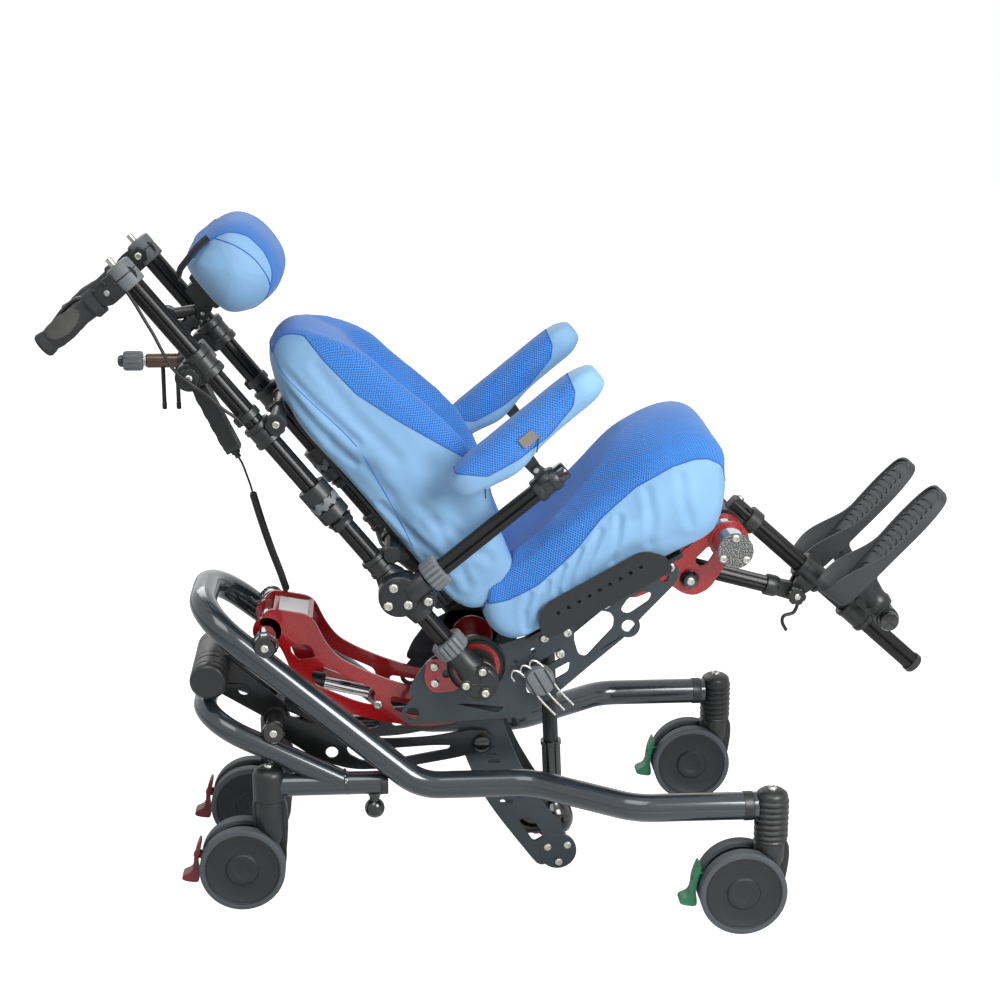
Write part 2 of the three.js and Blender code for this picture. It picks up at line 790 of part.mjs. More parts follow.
// Lift arms: a welded pair of curved slotted plates, their top cover, bosses and drive pin
function liftArms() {
  const topShares = [
    [-0.03, 0.13], [0.015, 0.225], [0.215, 0.15], [0.27, -0.1], [0.33, -0.27], [0.42, -0.38], [0.55, -0.5],
    [0.72, -0.62], [0.85, -0.63], [0.9, -0.5], [0.95, -0.3],
  ];
  const bottomShares = [
    [1.08, -0.35], [1.1, -0.6], [1.04, -0.85], [0.9, -0.99], [0.72, -1.01], [0.53, -0.94], [0.36, -0.84],
    [0.22, -0.68], [0.12, -0.5], [0.09, -0.3], [0.05, -0.12], [-0.05, -0.1],
  ];
  const slotShares = [
    [[0.11, -0.15], [0.19, -0.14], [0.22, -0.2], [0.23, -0.28], [0.15, -0.31], [0.11, -0.22]],
    [[0.2, -0.42], [0.28, -0.36], [0.36, -0.47], [0.52, -0.62], [0.51, -0.79], [0.42, -0.74], [0.22, -0.56]],
    [[0.58, -0.68], [0.72, -0.74], [0.86, -0.76], [0.86, -0.88], [0.72, -0.9], [0.6, -0.84]],
  ];
  const shape = new THREE.Shape(sharePoints([...topShares, ...bottomShares], linkReach, armDepth,
      upperPivotX, upperPivotZ));
  const slots = slotShares.map((shares) => new THREE.Shape(
    sharePoints(shares, linkReach, armDepth, upperPivotX, upperPivotZ)));
  const rear = crossBar(armBossRadius, -armOuterY, -armOuterY + armPlateThickness * 2, upperPivotX,
      upperPivotZ);
  const front = crossBar(armFrontBossRadius, -armOuterY, -armOuterY + armPlateThickness, tiltAxisX,
      tiltAxisZ, discSides);
  const side = cut(
    join(slottedPlate(shape, slots, armOuterY, armPlateThickness), rear, front),
    bore(pivotShaftRadius + seatGap, upperPivotX, upperPivotZ),
    bore(tiltAxleRadius + seatGap, tiltAxisX, tiltAxisZ),
  );
  const coverStart = upperPivotX + linkReach * 0.015;
  const coverTop = upperPivotZ + armDepth * 0.225;
  const slope = Math.atan2(armDepth * -0.075, linkReach * 0.2);
  const cover = block(0, coverWidth, -armOuterY + armPlateThickness / 2, armOuterY - armPlateThickness / 2,
    -coverThickness - armPlateThickness, -armPlateThickness);
  const placed = cover.rotate([0, -slope / degree, 0]).translate([coverStart + armPlateThickness, 0,
      coverTop]);
  const pin = crossBar(drivePinRadius, -armOuterY + armPlateThickness / 2, armOuterY - armPlateThickness / 2,
    drivePinX, drivePinZ, roundSides);
  return join(side, mirrored(side), placed, pin);
}

// A lower link: a curved slotted plate with a bolt head at its front pivot
function lowerLink() {
  const outlineShares = [
    [0.04, 0.08], [0.2, -0.16], [0.34, -0.34], [0.5, -0.46], [0.75, -0.44], [0.96, -0.3], [1.04, -0.36],
    [1.05, -0.64], [0.98, -0.76], [0.88, -0.86], [0.6, -1.04], [0.37, -1.06], [0.2, -0.84], [0.08,
        -0.5], [-0.04, -0.16],
  ];
  const slotShares = [
    [[0.34, -0.58], [0.47, -0.6], [0.5, -0.68], [0.5, -0.86], [0.42, -0.9], [0.35, -0.74]],
    [[0.56, -0.64], [0.76, -0.6], [0.85, -0.61], [0.84, -0.69], [0.7, -0.78], [0.57, -0.87]],
  ];
  const depth = linkReach * 0.26;
  const shape = new THREE.Shape(sharePoints(outlineShares, linkReach, depth, lowerPivotX, lowerPivotZ));
  const slots = slotShares.map((shares) => new THREE.Shape(
    sharePoints(shares, linkReach, depth, lowerPivotX, lowerPivotZ)));
  const rear = crossBar(lowerLinkBossRadius, -lowerLinkOuterY, -lowerLinkOuterY + lowerLinkThickness,
    lowerPivotX, lowerPivotZ);
  const front = crossBar(lowerLinkBossRadius, -lowerLinkOuterY, -lowerLinkOuterY + lowerLinkThickness,
    carrierPivotX, carrierPivotZ);
  const roundHoleX = lowerPivotX + linkReach * 0.27;
  const roundHoleZ = lowerPivotZ - depth * 0.7;
  return cut(
    join(slottedPlate(shape, slots, lowerLinkOuterY, lowerLinkThickness), rear, front),
    bore(lowerShaftRadius + seatGap, lowerPivotX, lowerPivotZ),
    bore(linkBoltRadius + runningGap, carrierPivotX, carrierPivotZ),
    bore(armSlotCorner, roundHoleX, roundHoleZ, -boreReach, boreReach, holeSides),
  );
}

// A carrier lever: a curved plate with its half of the tilt axle, ladder slots, a window and the foot boss
const tiltAxleReach = plateOuterY + hubDiscThickness / 2 - seatGap;
function carrierLever() {
  const outlineShares = [
    [0.07, 0], [0.1, -0.14], [0.115, -0.26], [0.155, -0.4], [0.21, -0.53], [0.3, -0.69], [0.42, -0.85],
    [0.3, -1.02], [0.21, -0.9], [0.1, -0.75], [0.03, -0.64], [-0.03, -0.5], [-0.08, -0.36], [-0.085,
        -0.18], [-0.07, 0],
  ];
  const rungShares = [
    [0.05, -0.415], [0.065, -0.45], [0.08, -0.485], [0.14, -0.68],
  ];
  const windowShares = [[0.19, -0.77], [0.25, -0.76], [0.31, -0.85], [0.26, -0.88]];
  const shape = new THREE.Shape(sharePoints(outlineShares, leverLength, leverLength, tiltAxisX, tiltAxisZ));
  const rungLength = leverLength * 0.06;
  const rungHeight = leverLength * 0.016;
  const slots = rungShares.map(([along, up]) => {
    const x = tiltAxisX + along * leverLength;
    const z = tiltAxisZ + up * leverLength;
    const corners = [[-1, -1], [1, -1], [1, 1], [-1, 1]];
    return new THREE.Shape(corners.map(([a, b]) => new THREE.Vector2(
      x + (a * rungLength) / 2, z + (b * rungHeight) / 2)));
  });
  slots.push(roundedShape(
    sharePoints(windowShares, leverLength, leverLength, tiltAxisX, tiltAxisZ), armSlotCorner / 3));
  const boss = (radius, x, z) => crossBar(radius, -sideLeverOuterY, -sideLeverOuterY + leverThickness, x,
      z, tubeSides);
  const lever = cut(
    join(
      slottedPlate(shape, slots, sideLeverOuterY, leverThickness),
      boss(leverBossRadius, tiltAxisX, tiltAxisZ),
      boss(leverFootRadius, carrierFootX, carrierFootZ),
    ),
    bore(footTubeRadius, carrierFootX, carrierFootZ),
  );
  const axle = crossBar(tiltAxleRadius, -tiltAxleReach, -seatGap / 2, tiltAxisX, tiltAxisZ);
  const bolt = crossBar(linkBoltRadius, -lowerLinkOuterY - linkBoltHeadLength, -sideLeverOuterY + seatGap,
    carrierPivotX, carrierPivotZ, roundSides);
  const head = crossBar(linkBoltHeadRadius, -lowerLinkOuterY - linkBoltHeadLength,
      -lowerLinkOuterY - runningGap,
    carrierPivotX, carrierPivotZ, holeSides);
  return join(lever, axle, bolt, head);
}

// Foot tube: the red cross tube between the carrier levers, with end flanges and an eye pin for
// the tilt drive
function carrierFoot() {
  const reach = sideLeverOuterY - leverThickness - seatGap;
  const flange = reach - leverThickness;
  const profile = [
    [0, -reach], [leverFootRadius - overrun, -reach], [leverFootRadius - overrun,
        -flange], [footTubeRadius, -flange],
    [footTubeRadius, flange], [leverFootRadius - overrun, flange], [leverFootRadius - overrun, reach], [0,
        reach],
  ];
  return turned(profile, carrierFootX, 0, carrierFootZ, tubeSides);
}

addPiece(chair, 'lift_arms', liftArms(), redLacquer);
sideNames.forEach((side) => {
  addPiece(chair, `lower_link_${side}`, onSide(side, lowerLink()), blackLacquer);
  addPiece(chair, `carrier_lever_${side}`, onSide(side, carrierLever()), greyPlate);
});
addPiece(chair, 'carrier_foot', carrierFoot(), redLacquer);

// Lift drive: the motor across the chair, its gear box and tube, and the rod to the drive pin
function liftAngle() {
  return Math.atan2(drivePinZ - motorZ, drivePinX - motorX);
}

function liftMotor() {
  const neckNear = cradlePlateY + runningGap;
  const neckFar = cradlePlateY - cradlePlateThickness - runningGap;
  const profile = [
    [0, -motorNearY], [motorRadius, -motorNearY], [motorRadius, -neckNear],
    [motorNeckRadius, -neckNear], [motorNeckRadius, -neckFar], [motorRadius, -neckFar], [motorRadius,
        neckFar],
    [motorNeckRadius, neckFar], [motorNeckRadius, neckNear], [motorRadius, neckNear], [motorRadius,
        motorFarY],
    [0, motorFarY],
  ];
  const length = Math.hypot(drivePinX - motorX, drivePinZ - motorZ);
  const straight = join(
    turned(profile, 0, 0, 0, tubeSides),
    block(0, driveBoxLength, -neckFar, neckFar, -driveBoxHeight / 2, driveBoxHeight / 2),
    lengthBar(driveTubeRadius, driveBoxLength - overrun, driveTubeLength, 0, 0, holeSides),
    crossBar(cordGlandRadius, motorFarY - overrun, motorFarY + cordGlandLength, 0, 0, holeSides),
  );
  const rodRoom = lengthBar(driveRodRadius + seatGap * 2, driveBoxLength + overrun, length, 0, 0, holeSides);
  return moved(cut(straight, rodRoom).rotate([0, -liftAngle() / degree, 0]), motorX, 0, motorZ);
}

function liftRod() {
  const length = Math.hypot(drivePinX - motorX, drivePinZ - motorZ);
  const eye = crossBar(drivePinRadius + pivotSlack * 2, -driveRodRadius, driveRodRadius, length, 0,
      tubeSides);
  const bar = lengthBar(driveRodRadius, driveTubeLength / 2 + driveBoxLength / 2, length - drivePinRadius,
      0, 0, holeSides);
  const hole = bore(drivePinRadius + pivotSlack, length, 0, -boreReach, boreReach, holeSides);
  return moved(cut(join(bar, eye), hole).rotate([0, -liftAngle() / degree, 0]), motorX, 0, motorZ);
}

addPiece(chair, 'lift_motor', liftMotor(), blackPlastic);
addPiece(chair, 'lift_rod', liftRod(), chrome);

// Tilt drive: rounded motor foot on the foot tube, outer tube, and the rod up to the seat's pin
function tiltDriveAngle() {
  return Math.atan2(tiltPinX - carrierFootX, tiltPinZ - carrierFootZ);
}

function tiltMotor() {
  const ball = solidOf(new THREE.SphereGeometry(tiltMotorRadius, tubeSides, smallSides));
  const motor = lengthBar(tiltMotorRadius * 0.75, -tiltMotorRadius * 1.9, 0, 0, tiltMotorRadius, tubeSides);
  const foot = crossBar(footTubeRadius * 2, -tiltMotorHalfWidth / 2, tiltMotorHalfWidth / 2, 0, 0);
  const body = join(
    moved(ball, tiltMotorRadius / 3, 0, tiltMotorRadius), motor, foot,
    upright(tiltTubeRadius, tiltMotorRadius, tiltTubeLength, 0, 0, tubeSides),
  );
  const bores = [
    bore(footTubeRadius + seatGap, 0, 0),
    upright(tiltRodRadius + seatGap * 2, tiltMotorRadius * 2, tiltTubeLength * 2, 0, 0, holeSides),
  ];
  return moved(cut(body, ...bores).rotate([0, tiltDriveAngle() / degree, 0]), carrierFootX, 0, carrierFootZ);
}

function tiltRod() {
  const length = Math.hypot(tiltPinX - carrierFootX, tiltPinZ - carrierFootZ);
  const bar = upright(tiltRodRadius, tiltTubeLength * 0.8, length - tiltPinRadius, 0, 0, holeSides);
  const eye = crossBar(tiltPinRadius + pivotSlack * 2, -tiltRodRadius, tiltRodRadius, 0, length, tubeSides);
  const hole = bore(tiltPinRadius + pivotSlack, 0, length, -boreReach, boreReach, holeSides);
  return moved(cut(join(bar, eye), hole).rotate([0, tiltDriveAngle() / degree, 0]), carrierFootX, 0,
      carrierFootZ);
}

addPiece(chair, 'tilt_motor', tiltMotor(), blackPlastic);
addPiece(chair, 'tilt_rod', tiltRod(), chrome);

// Turns a place in the side view into a group's own frame
function ownFrame(x, z, originX, originZ, turn) {
  const dx = x - originX;
  const dz = z - originZ;
  return [dx * Math.cos(turn) - dz * Math.sin(turn), dx * Math.sin(turn) + dz * Math.cos(turn)];
}
const [backPinX, backPinZ] = ownFrame(backPivotX, backPivotZ, tiltAxisX, tiltAxisZ, -seatTilt);
const [drivePinSeatX, drivePinSeatZ] = ownFrame(tiltPinX, tiltPinZ, tiltAxisX, tiltAxisZ, -seatTilt);

// Seat side plate: eye, hub disc, windows, ring, front holes, screw heads and the back's hinge pin
function seatPlate() {
  const outlineShares = [
    [-0.41, -0.08], [-0.34, 0.065], [-0.27, 0.2], [-0.17, 0.31], [-0.03, 0.3], [0.13, 0.06], [0.3, -0.03],
    [0.98, -0.03], [1, -0.25], [0.92, -0.37], [0.77, -0.5], [0.64, -0.6], [0.42, -0.71], [0.26, -0.79],
    [0.06, -0.83], [-0.36, -0.29],
  ];
  const windowShares = [
    [[0.43, -0.34], [0.65, -0.25], [0.62, -0.4], [0.44, -0.56], [0.4, -0.46]],
    [[0.69, -0.2], [0.86, -0.2], [0.84, -0.33], [0.69, -0.33]],
    [[0.17, -0.33], [0.35, -0.33], [0.37, -0.42], [0.16, -0.42]],
    [[0.14, -0.5], [0.37, -0.5], [0.34, -0.6], [0.13, -0.61]],
    [[-0.17, -0.3], [-0.13, -0.35], [0.01, -0.6], [-0.03, -0.62]],
  ];
  const shape = new THREE.Shape(sharePoints(outlineShares, plateFrontX, plateDepth));
  const windows = windowShares.map((shares) => roundedShape(
    sharePoints(shares, plateFrontX, plateDepth), armSlotCorner / 2));
  const bar = (radius, x, z) => crossBar(radius, -plateOuterY, -plateOuterY + plateThickness, x, z);
  const hole = (radius, x, z) => crossBar(radius, -plateOuterY - overrun,
      -plateOuterY + plateThickness + overrun,
    x, z, holeSides);
  const holes = [
    hole(plateEyeHoleRadius, plateEyeX, plateEyeZ), hole(ringHoleRadius, ringX, ringZ),
    hole(plateEyeHoleRadius * 0.8, plateFrontX * 0.92, plateDepth * -0.17),
  ];
  const body = cut(
    join(
      slottedPlate(shape, windows, plateOuterY, plateThickness),
      bar(plateEyeRadius, plateEyeX, plateEyeZ), bar(ringRadius, ringX, ringZ),
      crossBar(hubDiscRadius, -plateOuterY - hubDiscThickness + plateThickness,
          -plateOuterY + plateThickness, 0, 0, discSides),
    ),
    ...holes,
    bore(tiltAxleRadius + seatGap, 0, 0, -plateOuterY - hubDiscThickness / 2, 0),
  );
  const hubFace = plateOuterY + hubDiscThickness - plateThickness;
  const pin = crossBar(backPinRadius, -postY - knuckleThickness / 2, -hubFace + seatGap, backPinX, backPinZ);
  return join(body, pin);
}

// Side guard: a wall with a row of holes and a foot flange that lies on the side plate
function seatGuard() {
  const bottom = plateDepth * -0.03 + seatGap;
  const corners = [
    [guardStartX, bottom], [guardStartX, bottom + guardHeight * 0.55], [guardStartX + guardLength * 0.1,
        bottom + guardHeight],
    [guardStartX + guardLength * 0.88, bottom + guardHeight],
    [guardStartX + guardLength, bottom + guardHeight * 0.5], [guardStartX + guardLength, bottom],
  ].map(([x, z]) => new THREE.Vector2(x, z));
  const shape = roundedShape(corners, guardCornerRadius / 2);
  const flange = block(guardStartX + guardThickness, guardStartX + guardLength - guardThickness,
      -guardOuterY + overrun,
    -plateOuterY + plateThickness, bottom, bottom + guardThickness);
  let wall = join(plate(shape, guardOuterY, guardThickness), flange);
  for (let hole = 0; hole < guardHoleCount; hole += 1) {
    wall = cut(wall, crossBar(guardHoleRadius, -guardOuterY - overrun,
        -guardOuterY + guardThickness + overrun,
      guardStartX + guardHoleStart + hole * guardHolePitch, guardHoleHeight, smallSides));
  }
  return wall;
}

// Leg hanger: two red brackets on one knee tube with end discs and rings, and the strut's cross pin
function legHanger() {
  const outlineShares = [
    [0.56, 0.3], [0.83, 0.3], [0.94, 0.68], [1.02, 0.68], [0.97, -2.1], [0.86, -2.7], [0.74, -2.4], [0.6,
        -1.1],
  ];
  const windowShares = [[0.8, -0.6], [0.92, -0.1], [0.91, -1.1], [0.86, -1.6]];
  const shape = roundedShape(sharePoints(outlineShares, kneeX, kneeRadius, 0, -kneeRadius / 2), kneeRadius);
  const window = roundedShape(sharePoints(windowShares, kneeX, kneeRadius, 0, kneeRadius / 8),
      kneeRadius / 4);
  const arm = cut(
    join(
      plate(shape, bracketOuterY, bracketThickness),
      crossBar(kneeRadius * 1.15, -bracketOuterY, -bracketOuterY + bracketThickness, kneeX, kneeZ),
    ),
    plate(window, bracketOuterY + overrun, bracketThickness + overrun * 2, 1),
  );
  const bush = crossBar(bracketBossRadius * 0.7, -bracketOuterY - bracketBossRadius * 0.7,
      -bracketOuterY + seatGap,
    strutPinX, strutPinZ, holeSides);
  const disc = kneeHalfLength - bracketThickness;
  const side = join(arm, bush, crossBar(kneeRadius + boltHeadHeight / 2, -kneeHalfLength, -disc, kneeX,
      kneeZ));
  return join(
    side, mirrored(side), crossBar(kneeRadius, -disc - seatGap, disc + seatGap, kneeX, kneeZ),
    crossBar(strutPinRadius, -bracketOuterY, bracketOuterY, strutPinX, strutPinZ, holeSides),
  );
}

// Seat pan with the clevis ears and pin that the tilt drive pushes on
function seatPan() {
  const top = panZ - seatGap;
  const board = block(panStartX, panStartX + panLength, -panHalfWidth, panHalfWidth, top - panThickness,
      top);
  const earY = tiltRodRadius + runningGap * 2;
  const earTopRadius = tiltPinRadius * 3.6;
  const ear = linkPlate(drivePinSeatX, drivePinSeatZ, tiltPinRadius * 2.4, drivePinSeatX, top - earTopRadius,
    earTopRadius, earY + plateThickness, plateThickness);
  const pin = crossBar(tiltPinRadius, -earY - overrun, earY + overrun, drivePinSeatX, drivePinSeatZ,
      holeSides);
  const beam = (x, halfLength) => crossBar(tiltPinRadius * 1.4, -halfLength, halfLength, x,
    top - panThickness - tiltPinRadius / 2, holeSides);
  return join(
    board, ear, mirrored(ear), pin,
    beam(panStartX + tiltPinRadius * 3, plateOuterY - plateThickness - seatGap),
    beam(panStartX + panLength * 0.8, bracketOuterY - bracketThickness - seatGap),
  );
}

// Plug box: a rounded block with a row of three hooked wires
function plugBox() {
  const width = 44;
  const height = 40;
  const depth = 22;
  const hookRadius = 1.8;
  const hookLength = 62;
  const boxX = 70;
  const boxZ = -62;
  const corners = [[-1, -1], [1, -1], [1, 1], [-1, 1]].map(([a, b]) => new THREE.Vector2(
    boxX + (a * width) / 2, boxZ + (b * height) / 2));
  const outer = plateOuterY + depth + seatGap;
  let box = plate(roundedShape(corners, height / 2), outer, depth);
  for (let hook = -1; hook <= 1; hook += 1) {
    const x = boxX + hook * width * 0.36;
    const y = -outer + depth / 2;
    box = join(box, rod(
      new THREE.Vector3(x, y, boxZ + height * 0.6), new THREE.Vector3(x + hookLength * 0.1, y,
          boxZ - hookLength),
      hookRadius, smallSides - 2,
    ));
  }
  return box;
}

// A soft block: outlines in the X-Z plane at several distances from the middle plane, drawn in at the sides
function cushionLoft(outlineAt, halfWidth, stationShares) {
  const stations = [...stationShares.map((share) => -share).reverse(),
      ...stationShares.filter((share) => share > 0)];
  const rings = stations.map((share) => outlineAt(Math.abs(share)).map(([x, z]) => new THREE.Vector3(
    x, share * halfWidth, z)));
  return solidOf(loft(rings));
}

// A closed smooth outline through a few chosen points
function smoothOutline(points, count) {
  const curve = new THREE.CatmullRomCurve3(points.map(([x, z]) => new THREE.Vector3(x, 0, z)), true,
      'catmullrom', 0.5);
  return curve.getPoints(count).slice(0, count).map((point) => [point.x, point.z]);
}

// Draws an outline in towards its middle, by a length
function drawnIn(outline, inset) {
  const middle = outline.reduce(([sumX, sumZ], [x, z]) => [sumX + x / outline.length,
      sumZ + z / outline.length], [0, 0]);
  return outline.map(([x, z]) => {
    const reach = Math.hypot(x - middle[0], z - middle[1]);
    const share = (reach - inset) / reach;
    return [middle[0] + (x - middle[0]) * share, middle[1] + (z - middle[1]) * share];
  });
}

// Seat cushion: low at the back, a raised front, a dished middle and drawn-in sides
const seatCushionLength = 417;
const seatCushionHeight = 175;
const seatCushionStart = 42;
const seatCushionDish = 12;
const seatCushionEdge = 12;
function seatCushion() {
  const outlineShares = [
    [0, 0.2], [0.02, 0.5], [0.1, 0.6], [0.26, 0.66], [0.43, 0.78], [0.62, 0.93], [0.76, 1], [0.88,
        0.99], [0.96, 0.9],
    [1, 0.7], [0.98, 0.45], [0.92, 0.18], [0.84, 0.01], [0.7, 0], [0.45, 0], [0.2, 0], [0.06, 0.02],
  ];
  const at = (share) => {
    const base = smoothOutline(outlineShares.map(([along, up]) => [
      seatCushionStart + along * seatCushionLength, panZ + up * seatCushionHeight]), 24);
    const middleZ = panZ + seatCushionHeight / 2;
    const dish = seatCushionDish * (1 - Math.min(share / 0.8, 1) ** 2);
    const shaped = base.map(([x, z]) => [x, Math.max(panZ, z > middleZ ? z - dish : z)]);
    const inset = share > 0.97 ? seatCushionEdge : share > 0.9 ? seatCushionEdge / 4 : 0;
    return drawnIn(shaped, inset).map(([x, z]) => [x, Math.max(panZ, z)]);
  };
  const backRoom = backCushion(seatGap * 2).rotate([0, backLean / degree, 0])
    .translate([backPivotX - tiltAxisX, 0, backPivotZ - tiltAxisZ]).rotate([0, seatTilt / degree, 0]);
  return cut(cushionLoft(at, cushionHalfWidth, [0, 0.4, 0.75, 0.94, 1]), backRoom);
}

// Back cushion: a flatter middle, side bolsters that reach forward, and drawn-in sides
const backCushionRear = panelFrontX + seatGap;
const backCushionBolsterDepth = 168;
const backCushionEdge = 12;
function backCushionOutline(share, grown) {
  const rearShares = [[0.2, 0], [0.05, 0.04], [0, 0.13], [0, 0.45], [0, 0.78], [0.12, 0.93], [0.26, 0.99],
      [0.42, 1]];
  const frontShares = [[0.66, 0.97], [0.82, 0.86], [0.9, 0.7], [1, 0.45], [0.94, 0.3], [0.76, 0.15], [0.54,
      0.01]];
  const middleFrontShares = [[0.55, 0.97], [0.63, 0.88], [0.65, 0.7], [0.66, 0.45], [0.66, 0.3], [0.62,
      0.12], [0.45, 0.02]];
  const blend = THREE.MathUtils.smoothstep(share, 0.45, 0.88);
  const front = frontShares.map(([x, z], index) => [
    THREE.MathUtils.lerp(middleFrontShares[index][0], x,
        blend), THREE.MathUtils.lerp(middleFrontShares[index][1], z, blend),
  ]);
  const outline = smoothOutline([...rearShares, ...front].map(([x, z]) => [
    backCushionRear + x * backCushionBolsterDepth, backCushionBottomZ + z * backCushionHeight]), 26);
  const inset = share > 0.97 ? backCushionEdge : share > 0.9 ? backCushionEdge / 4 : 0;
  return drawnIn(outline, inset - grown).map(([x, z]) => [Math.max(x, backCushionRear - grown), z]);
}
function backCushion(grown = 0) {
  return cushionLoft(
    (share) => backCushionOutline(share, grown),
    backCushionHalfWidth + grown,
    [0, 0.45, 0.65, 0.8, 0.94, 1],
  );
}

// Back post: one turned tube with its collars, two knuckles, the ribbed nut, the clamps and the arm's pin
const midClampZ = armHubZ + knuckleRadius * 2;
const lowClampX = -postRadius * 2;
function backPost() {
  const half = knuckleThickness / 2;
  const rings = [
    [clampRadius * 0.95, midClampZ, clampHeight / 3],
    [jointCollarRadius, jointCollarZ, jointCollarHeight / 2], [clampRadius * 0.95, connectorZ,
        clampHeight / 3],
    [clampRadius, lowClampZ, clampHeight / 2], [clampRadius, topClampZ, clampHeight / 2],
  ];
  const profile = [[0, 0], [postRadius, 0]];
  rings.forEach(([radius, middle, reach]) => {
    profile.push([postRadius, middle - reach], [radius, middle - reach], [radius, middle + reach]);
    if (middle < topClampZ) {
      profile.push([postRadius, middle + reach]);
    }
  });
  profile.push([0, topClampZ + clampHeight / 2]);
  const tube = turnedUpright(profile, 0, -postY, holeSides);
  const hub = (z) => crossBar(knuckleRadius, -postY - half, -postY + half - runningGap, 0, z, tubeSides);
  const nut = moved(ribbedNut(collarNutRadius, collarNutHeight, collarNutRibs, postRadius / 2), 0, -postY,
      lowNutZ);
  const bosses = [midClampZ, connectorZ].map((z) => crossBar(clampRadius * 0.6, -postY - postRadius,
      -postY + postRadius,
    panelTubeX, z, smallSides));
  const armPin = crossBar(backPinRadius, -armY - armTubeRadius - boltHeadHeight, -postY, 0, armHubZ,
      holeSides);
  const pad = postRadius * 0.8;
  const lowEar = block(lowClampX - pad, 0, -postY - pad, -postY + pad, lowClampZ - pad, lowClampZ + pad);
  const earInner = postY + postRadius - plateThickness;
  const ear = (outer) => linkPlate(-gripBack, topClampZ, handleHubRadius, 0, topClampZ, handleHubRadius,
      outer, plateThickness);
  const gripRoom = block(-gripBack * 2, -gripBack + handleHubRadius, -earInner,
      -postY + postRadius - plateThickness,
    topClampZ - clampHeight, topClampZ + clampHeight);
  const gripPin = crossBar(gripPinRadius, -postY - postRadius, -postY + postRadius, -gripBack, topClampZ,
      smallSides);
  return join(
    cut(
      join(tube, hub(0), hub(armHubZ), nut, lowEar, ...bosses, ear(postY + postRadius),
          ear(postY - postRadius + plateThickness)),
      gripRoom, bore(backPinRadius + seatGap, 0, 0),
    ),
    armPin, gripPin,
  );
}

// Back panel with stiffening ribs and its two cross tubes between the posts
function backPanel() {
  const reach = postY - postRadius - seatGap;
  const corners = [[-1, 0], [-0.9, 1], [0.9, 1], [1, 0]].map(([across, up]) => new THREE.Vector2(
    across * panelHalfWidth, panelBottomZ + up * panelHeight));
  const sheet = facingPlate(roundedShape(corners, panelThickness * 5), panelFrontX - panelThickness,
      panelThickness);
  const tubes = [connectorZ, midClampZ].map((z) => join(
    crossBar(clampRadius / 2, -reach, reach, panelTubeX, z, holeSides),
    ...[-panelHalfWidth / 2, panelHalfWidth / 2 - clampRadius].map((start) => block(panelTubeX,
      panelFrontX - panelThickness / 2, start, start + clampRadius, z - clampRadius / 2, z
          + clampRadius / 2)),
  ));
  return join(sheet, ...tubes);
}

// Headrest bracket: the cross tube between the posts' clamps, a block with a slot, a sleeve and
// two hanging pins
const sleeveRadius = 10;
const sleeveLength = 46;
const sleeveTurn = -backLean;
const blockHalf = 16;
function headBracket() {
  const reach = postY - postRadius - seatGap;
  const tube = crossBar(clampRadius / 2, -reach, reach, lowClampX, lowClampZ, holeSides);
  const body = block(lowClampX - blockHalf, lowClampX + blockHalf * 1.6, -blockHalf, blockHalf,
      lowClampZ - blockHalf, lowClampZ + blockHalf);
  const direction = new THREE.Vector3(-Math.cos(sleeveTurn), 0, Math.sin(sleeveTurn));
  const start = new THREE.Vector3(lowClampX, 0, lowClampZ);
  const end = start.clone().addScaledVector(direction, sleeveLength);
  const down = new THREE.Vector3(-Math.sin(sleeveTurn), 0, -Math.cos(sleeveTurn));
  const pins = [0.45, 0.85].map((share) => {
    const root = start.clone().addScaledVector(direction, sleeveLength * share);
    return rod(root, root.clone().addScaledVector(down, sleeveLength * 1.6), sleeveRadius * 0.3, smallSides);
  });
  const stemSlot = block(
    headStemX - headStemThickness / 2 - seatGap, headStemX + headStemThickness / 2 + seatGap,
    -blockHalf / 2 - seatGap, blockHalf / 2 + seatGap, lowClampZ - blockHalf * 2, lowClampZ + blockHalf * 2,
  );
  return cut(join(tube, body, rod(start, end, sleeveRadius, tubeSides), ...pins), stemSlot);
}

// The fluted knob on the sleeve's end
function headKnob() {
  const direction = new THREE.Vector3(-Math.cos(sleeveTurn), 0, Math.sin(sleeveTurn));
  const start = new THREE.Vector3(lowClampX, 0, lowClampZ).addScaledVector(direction,
      sleeveLength + seatGap);
  const nut = ribbedNut(sleeveRadius * 1.3, sleeveLength * 0.7, 7, sleeveRadius / 3);
  const turned90 = nut.rotate([0, -90 + sleeveTurn / degree, 0]);
  const middle = start.clone().addScaledVector(direction, sleeveLength * 0.35);
  const cap = rod(start, start.clone().addScaledVector(direction, sleeveLength * 0.85), sleeveRadius * 0.6,
      tubeSides, sleeveRadius * 0.4);
  return join(moved(turned90, middle.x, middle.y, middle.z), cap);
}

// Headrest stem: a flat bar in the bracket's slot with an elbow forward to the pad's hinge
function headStem() {
  const half = headStemThickness / 2;
  const bar = block(headStemX - half, headStemX + half, -blockHalf / 2, blockHalf / 2,
      lowClampZ - blockHalf * 1.6, headHingeZ + half);
  const elbow = linkPlate(headStemX, headHingeZ, half * 1.6, headHingeX, headHingeZ, half * 1.6,
      blockHalf / 2, blockHalf);
  const pin = crossBar(half / 2, -blockHalf, blockHalf, headHingeX, headHingeZ, smallSides);
  return join(bar, elbow, pin);
}

